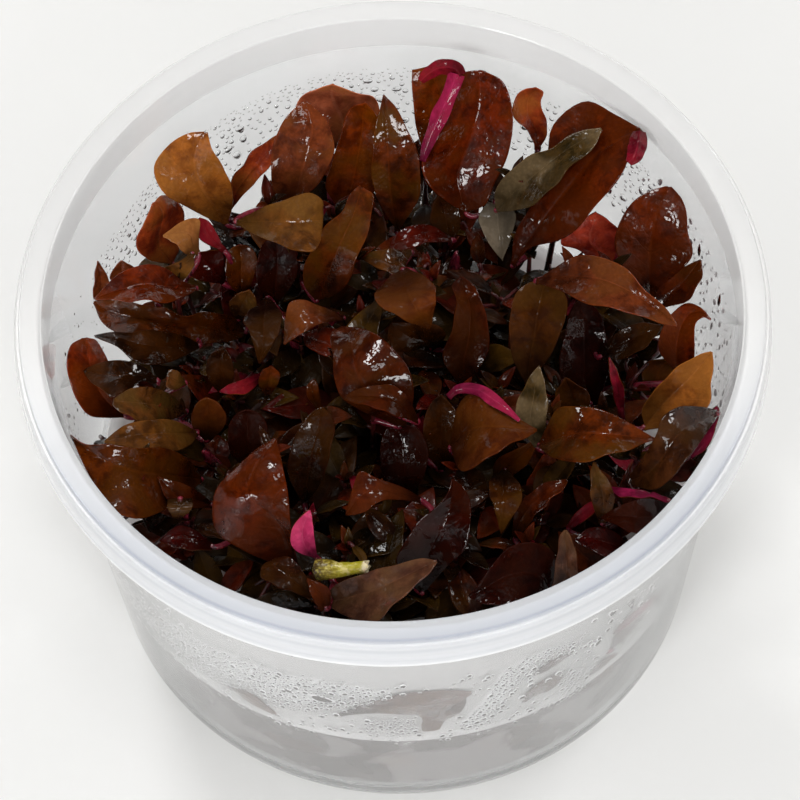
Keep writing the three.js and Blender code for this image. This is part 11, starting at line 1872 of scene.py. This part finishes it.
# ---------------------------------------------------------------------------------
# Condensed water on the inner wall
def water_material():
    k = Mat("water")
    o = k.obj()
    n = k.noise(o, 800.0, 1.0, 0.5)
    k.p.inputs["Base Color"].default_value = (1, 1, 1, 1)
    k.p.inputs["Transmission Weight"].default_value = 1.0
    k.p.inputs["IOR"].default_value = 1.33
    k.set(k.p, "Roughness", k.ramp(n, 0.3, 0.7, 0.0, 0.02))
    return k.m


water = water_material()


def bead_material(name, low, high, share):
    """Small beads on a misted wall, with their light and shade painted on. share is the part of them that is flat milky
    colour, the rest is clear water.
    """
    k = Mat(name)
    o = k.obj()
    n = k.noise(o, 1500.0, 2.0, 0.5)
    k.set(k.p, "Base Color", k.mix(n, low, high))
    k.p.inputs["Transmission Weight"].default_value = 1.0
    k.p.inputs["IOR"].default_value = 1.33
    k.set(k.p, "Roughness", k.ramp(n, 0.3, 0.7, 0.02, 0.08))
    dif = k.n("ShaderNodeBsdfDiffuse")
    k.l(k.mix(n, low, high), dif.inputs["Color"])
    both = k.n("ShaderNodeMixShader")
    both.inputs[0].default_value = share
    k.l(k.p.outputs[0], both.inputs[1])
    k.l(dif.outputs[0], both.inputs[2])
    k.l(both.outputs[0], k.out.inputs[0])
    return k.m


# painted light and shade: the white beads stand in for the light their rims catch, the dark middles for the plants seen
# through the clear drops
beads = bead_material("water_beads_painted_bright", (0.93, 0.93, 0.94, 1), (1, 1, 1, 1), 0.85)
painted_dark_middles = bead_material("bead_painted_dark_middles", (0.10, 0.095, 0.09, 1), (0.26, 0.245, 0.235, 1), 0.80)


def droplet(J, th, z, r, asp, tilt, h, rg, seg=12, rings=3, eye=0.0, low=0.0):
    """A flat water drop on the inner wall: r radius in mm, asp its length over its width up the wall, h its height over
    r.
    eye > 0 gives it a middle of that share of r in slot 1, set low by that share of r; the callers give slot 1 a dark
    colour, painted shade standing in for the plants seen through the clear drop."""
    slope = (43.8 - 37.9) / 60.6
    e_t = np.array([-math.sin(th), math.cos(th), 0])
    e_r = np.array([math.cos(th), math.sin(th), 0])
    e_z = unit((e_r * slope + np.array([0, 0, 1.0]))[None])[0]
    n = -unit((e_r - slope * np.array([0, 0, 1.0]))[None])[0]
    base = e_r * rin(z) + np.array([0, 0, z])
    ct, st = math.cos(tilt), math.sin(tilt)
    x, y = e_t * ct + e_z * st, -e_t * st + e_z * ct
    wob = 1 + 0.10 * np.sin(2 * np.arange(seg) * 2 * np.pi / seg + rg.uniform(0, 6)) + 0.05 * np.sin(3 * np.arange(seg) * 2 * np.pi / seg + rg.uniform(0, 6))
    V = [base + n * h * r]

    def loop(q, hh, drop=0.0):
        for s in range(seg):
            t = 2 * math.pi * s / seg
            dx, dy = r * q * wob[s] * math.cos(t), r * asp * (q * wob[s] * math.sin(t) - drop)
            V.append(base + x * dx + y * dy + n * (hh - dx * dx * ct * ct / (2 * rin(z))))

    for k in range(1, rings + 1):
        a = k / rings * math.pi / 2
        loop(math.sin(a), math.cos(a) * h * r - 0.02)
    if eye:
        loop(eye, -0.04, low)
    V.append(base - n * 0.05 - y * r * asp * low)
    F, S = [], []
    for s in range(seg):
        F.append([0, 1 + s, 1 + (s + 1) % seg])
    for k in range(rings - 1 + bool(eye)):
        for s in range(seg):
            a, b = 1 + k * seg + s, 1 + k * seg + (s + 1) % seg
            F.append([a, a + seg, b + seg, b])
    S = [0] * len(F)
    e = 1 + (rings - 1 + bool(eye)) * seg
    for s in range(seg):
        F.append([len(V) - 1, e + (s + 1) % seg, e + s])
        S.append(1 if eye else 0)
    J.add(np.array(V), F, S if eye else 0, None)


def scatter(J, rg, count, th0, th1, z0, z1, size, asp=(1.0, 1.15), tilt=0.0, h=0.55, keep=None, gap=1.12, seg=12, rings=3, eye=0.0, low=0.0):
    """Drops spread without touching. size(th, z) gives the radius range in mm."""
    placed, cells = 0, {}
    for _ in range(count * 30):
        if placed >= count:
            break
        th, z = rg.uniform(th0, th1), rg.uniform(z0, z1)
        if keep is not None and rg.random() > keep(th, z):
            continue
        lo, hi = size(th, z)
        r = lo + (hi - lo) * rg.random() ** 2.2
        a = rg.uniform(*asp)
        X, Y, R = th * rin(z), z, r * max(1.0, a)
        key = (int(X // 1.6), int(Y // 1.6))
        near = [q for i in (-1, 0, 1) for j in (-1, 0, 1) for q in cells.get((key[0] + i, key[1] + j), [])]
        if any((X - q[0]) ** 2 + (Y - q[1]) ** 2 < (gap * (R + q[2])) ** 2 for q in near):
            continue
        cells.setdefault(key, []).append((X, Y, R))
        droplet(J, th, z, r, a, tilt + rg.uniform(-0.15, 0.15), h, rg, seg, rings, eye, low)
        placed += 1


D = math.radians
rg = np.random.default_rng(5)
J = Join()


def mist_material():
    """Mist too fine to see as drops: white, half clear, thinning out at its ends."""
    k = Mat("mist")
    o = k.obj()
    n1 = k.noise(o, 130.0, 3.0, 0.6)
    n2 = k.noise(o, 2600.0, 2.0, 0.6)
    fine = k.mix(n2, (0.52, 0.51, 0.505, 1), (0.56, 0.55, 0.545, 1))
    k.p.inputs["Roughness"].default_value = 0.8
    k.p.inputs["Specular IOR Level"].default_value = 0.1
    tra = k.n("ShaderNodeBsdfTranslucent")
    tra.inputs["Color"].default_value = (0.94, 0.94, 0.95, 1)
    white = k.n("ShaderNodeMixShader")
    white.inputs[0].default_value = 0.12
    k.l(k.p.outputs[0], white.inputs[1])
    k.l(tra.outputs[0], white.inputs[2])
    clear = k.n("ShaderNodeBsdfTransparent")
    both = k.n("ShaderNodeMixShader")
    sep = k.n("ShaderNodeSeparateXYZ")
    k.l(o, sep.inputs[0])
    a = k.ramp(sep.outputs[1], -0.006, -0.020, 0.0, 1.0)
    a = k.math("MULTIPLY", a, k.ramp(k.math("ADD", sep.outputs[2], k.math("MULTIPLY", n1, 0.006)), 0.050, 0.058, 1.0, 0.55))
    a = k.math("MULTIPLY", a, k.ramp(n1, 0.30, 0.70, 0.86, 0.93))
    # painted light: in strips between two heights that run round the wall, where larger drops have formed, the film is
    # whiter, standing in for the light the drops catch
    turn = k.math("DIVIDE", k.math("ADD", k.math("ARCTAN2", sep.outputs[1], sep.outputs[0]), math.pi), math.pi)
    high = k.math("ADD", k.math("DIVIDE", sep.outputs[2], 0.06), k.math("MULTIPLY", k.math("SUBTRACT", n1, 0.5), 0.03))
    lo_ = k.curve(turn, [(0.12, 0.42), (0.14, 0.383), (0.178, 0.415), (0.233, 0.408), (0.289, 0.40), (0.339, 0.45), (0.383, 0.433), (0.433, 0.517), (0.483, 0.567), (0.50, 0.60), (0.54, 0.40), (0.55, 0.363), (0.572, 0.367), (0.589, 0.41), (0.611, 0.558), (0.639, 0.613), (0.675, 0.587), (0.70, 0.60)])
    hi_ = k.curve(turn, [(0.12, 0.40), (0.14, 0.417), (0.178, 0.55), (0.233, 0.567), (0.289, 0.608), (0.339, 0.625), (0.383, 0.642), (0.433, 0.658), (0.483, 0.633), (0.50, 0.58), (0.54, 0.38), (0.55, 0.40), (0.572, 0.50), (0.589, 0.633), (0.611, 0.68), (0.639, 0.68), (0.675, 0.633), (0.70, 0.58)])
    drop_strip_painted_light = k.math("MULTIPLY", k.ramp(k.math("SUBTRACT", high, lo_), -0.005, 0.04), k.ramp(k.math("SUBTRACT", hi_, high), -0.005, 0.04))
    k.set(k.p, "Base Color", k.mix(drop_strip_painted_light, fine, (0.84, 0.84, 0.835, 1)))
    k.l(a, both.inputs[0])
    k.l(clear.outputs[0], both.inputs[1])
    k.l(white.outputs[0], both.inputs[2])
    k.l(both.outputs[0], k.out.inputs[0])
    return k.m


# The mist film lies close inside the wall and meets it all round its edge.
ths, zs = np.radians(np.linspace(187, 353, 120)), np.linspace(20.2, 56.5, 26)
V, F = [], []
for side_ in (0, 1):
    for i_, z in enumerate(zs):
        for j_, th in enumerate(ths):
            e = min(i_, len(zs) - 1 - i_, j_, len(ths) - 1 - j_)
            r = rin(z) - (0.02 if e == 0 else 0.30 if e == 1 else 0.62) - 0.05 * side_ * (e > 0)
            V.append((r * math.cos(th), r * math.sin(th), z))
nj, ni = len(ths), len(zs)
for i_ in range(ni - 1):
    for j_ in range(nj - 1):
        a = i_ * nj + j_
        F.append([a, a + 1, a + nj + 1, a + nj])
        b = a + ni * nj
        F.append([b, b + nj, b + nj + 1, b + 1])
ring = list(range(nj)) + [i_ * nj + nj - 1 for i_ in range(1, ni)] + [(ni - 1) * nj + j_ for j_ in range(nj - 2, -1, -1)] + [i_ * nj for i_ in range(ni - 2, 0, -1)]
for a, b in zip(ring, ring[1:] + ring[:1]):
    F.append([b, a, a + ni * nj, b + ni * nj])
mesh_object("mist_front", V, F, [mist_material()])

top_line = lambda th: 50.8 - 6.0 * max(0.0, (th - D(100)) / D(50)) ** 1.5 - 2.5 * max(0.0, (D(70) - th) / D(60))
below = lambda th, z: min(5.0, max(0.0, top_line(th) - z))
scatter(J, rg, 900, D(36), D(154), 37, 51, lambda th, z: (0.09 + 0.02 * below(th, z), 0.16 + 0.13 * below(th, z)),
        keep=lambda th, z: 0.0 if z > top_line(th) else 1.0, h=0.6, gap=1.45)
J.make("condensation_back", [water])
J = Join()
scatter(J, rg, 360, D(-28), D(38), 27, 50, lambda th, z: (0.16, 0.60), asp=(1.3, 3.0), tilt=0.35, h=0.22, gap=1.2)
# painted light and shade: these drops get a flat greyish colour for what the drops on this wall show
J.make("condensation_right", [bead_material("water_side", (0.62, 0.57, 0.58, 1), (0.84, 0.81, 0.82, 1), 0.55)])
J = Join()
scatter(J, rg, 90, D(152), D(196), 30, 46, lambda th, z: (0.10, 0.34), h=0.5)
for th, z, r, a in [(92.5, 48.4, 0.60, 0.85), (88.1, 48.7, 0.34, 0.9), (87.4, 46.5, 0.64, 0.8), (116.7, 45.5, 0.62, 0.9), (119.5, 42.6, 0.60, 1.0), (121.4, 48.0, 0.26, 1.0),
                    (90.5, 41.2, 0.46, 0.9), (86.3, 40.0, 0.40, 1.0), (144.2, 41.5, 0.30, 1.4), (45.1, 39.4, 0.5, 1.8), (20.0, 47.5, 0.5, 2.4), (9.3, 47.4, 0.5, 2.6)]:
    droplet(J, D(th), z, r, a, 0.0, 0.5, rg, 22, 5)
J.make("condensation_left", [water])


def band(th, z, rows):
    """Whether th (degrees), z lies in the strip whose rows are (th, low z, high z)."""
    for (t0, a0, b0), (t1, a1, b1) in zip(rows[:-1], rows[1:]):
        if t0 <= th < t1:
            f = (th - t0) / (t1 - t0)
            return a0 + (a1 - a0) * f <= z <= b0 + (b1 - b0) * f
    return False


def outline(rows):
    """A pressed leaf's edge as (angle, height) points."""
    P = np.array(rows, float).reshape(8, 3, 3)
    E = np.concatenate([P[:, 0], P[::-1, 2]])
    return [(math.atan2(y, x) % (2 * math.pi), z) for x, y, z in E]


def inside(th, z, E):
    hit = False
    for (a0, z0), (a1, z1) in zip(E, E[1:] + E[:1]):
        if (z0 > z) != (z1 > z) and th < a0 + (a1 - a0) * (z - z0) / (z1 - z0):
            hit = not hit
    return hit


FOG = [
    [(205, 23, 25), (212, 25, 33), (222, 24.5, 34), (232, 24, 36.5), (241, 27, 37.5), (249, 26, 38.5), (258, 31, 39.5), (267, 34, 38)],
    [(262, 23.5, 27.5), (271, 22.8, 28.4)],
    [(279, 21.8, 24), (283, 22, 30), (286, 24.5, 38), (290, 33.5, 40.8), (295, 36.8, 40.8), (301.5, 35.2, 38)],
    [(298, 19, 30), (304, 19, 26)],
]
BEADS = [[(303, 30, 46), (309, 34, 45), (320, 31, 37)], [(325, 30, 48), (344, 30, 48)], [(196, 30, 44), (206, 28, 36)]]
J = Join()
OUT = [outline(rows) for name, node, side, t, rows in LEAVES if name.startswith("wall_")]
scatter(J, rg, 1500, D(205), D(306), 19, 41, lambda th, z: (0.21, 0.52), h=0.5, gap=1.03, seg=12, rings=2, eye=0.68, low=0.14,
        keep=lambda th, z: 0.0 if any(inside(th, z, q) for q in OUT) else 1.0 if any(band(math.degrees(th), z, f) for f in FOG) else 0.012)
J.make("condensation_front", [beads, painted_dark_middles])
J = Join()
for th, z, r, a, h in [(254.6, 33.0, 1.75, 0.62, 0.12), (248.6, 32.9, 0.62, 0.9, 0.4), (252.0, 36.3, 0.42, 1.0, 0.5), (255.2, 22.6, 0.40, 0.9, 0.5), (307.7, 39.9, 0.62, 1.2, 0.4),
                       (307.6, 37.4, 0.50, 1.1, 0.4), (307.2, 35.2, 0.48, 1.1, 0.4), (305.3, 33.0, 0.66, 1.2, 0.4), (305.4, 27.9, 0.42, 1.1, 0.4), (299.5, 38.4, 0.36, 1.1, 0.5)]:
    droplet(J, D(th), z, r, a, 0.0, h, rg, 28, 6, 0.74, 0.12)
scatter(J, rg, 160, D(196), D(344), 24, 50, lambda th, z: (0.18, 0.50), h=0.5, gap=1.3, seg=12, rings=3, eye=0.62, low=0.12,
        keep=lambda th, z: 0.0 if any(inside(th, z, q) for q in OUT) else 1.0 if any(band(math.degrees(th), z, f) for f in BEADS) else 0.03)
J.make("drops_front", [beads, painted_dark_middles])

# ---------------------------------------------------------------------------------
# Floor, light
def floor_material():
    k = Mat("floor")
    o = k.obj()
    n = k.noise(o, 6.0, 3.0, 0.5)
    f = k.noise(o, 700.0, 2.0, 0.5)
    c = k.mix(n, (0.80, 0.80, 0.785, 1), (0.86, 0.86, 0.85, 1))
    k.set(k.p, "Base Color", c)
    k.set(k.p, "Roughness", k.ramp(f, 0.3, 0.7, 0.5, 0.65))
    k.set(k.p, "Normal", k.bump(f, 0.05, 0.0002))
    return k.m


me = bpy.data.meshes.new("floor")
me.from_pydata([(-3, -3, 0), (3, -3, 0), (3, 3, 0), (-3, 3, 0)], [], [[0, 1, 2, 3]])
me.materials.append(floor_material())
floor = bpy.data.objects.new("floor", me)
scene.collection.objects.link(floor)

world = bpy.data.worlds.new("studio")
scene.world = world
world.use_nodes = True
bg = world.node_tree.nodes["Background"]
bg.inputs[0].default_value = (1.0, 0.99, 0.975, 1)
bg.inputs[1].default_value = 0.52
world.cycles_visibility.glossy = False


def area(name, at, aim_at, size, power, color=(1, 1, 1), size_y=None):
    d = bpy.data.lights.new(name, "AREA")
    d.shape = "RECTANGLE"
    d.size, d.size_y = size, size_y or size
    d.energy = power
    d.color = color
    o = bpy.data.objects.new(name, d)
    scene.collection.objects.link(o)
    z = unit((np.array(at) - np.array(aim_at))[None])[0]
    x = np.cross([0, 0, 1.0], z)
    if np.linalg.norm(x) < 1e-3:
        x = np.array([1.0, 0, 0])
    x /= np.linalg.norm(x)
    y = np.cross(z, x)
    w = np.eye(4)
    w[:3, 0], w[:3, 1], w[:3, 2], w[:3, 3] = x, y, z, at
    o.matrix_world = Matrix(w.tolist())
    return o


area("key_back", (-0.22, 0.42, 0.86), (0, 0, 0.03), 0.18, 2.2)
area("back_right", (0.42, 0.30, 0.84), (0, 0, 0.03), 0.18, 1.3)
area("front_left", (-0.535, -0.735, 0.50), (0, 0, 0.03), 0.26, 3.3)
area("front_right", (0.344, -0.772, 0.60), (0, 0, 0.03), 0.26, 2.7)
area("top", (0.05, -0.08, 1.0), (0, 0, 0.03), 0.20, 0.8)
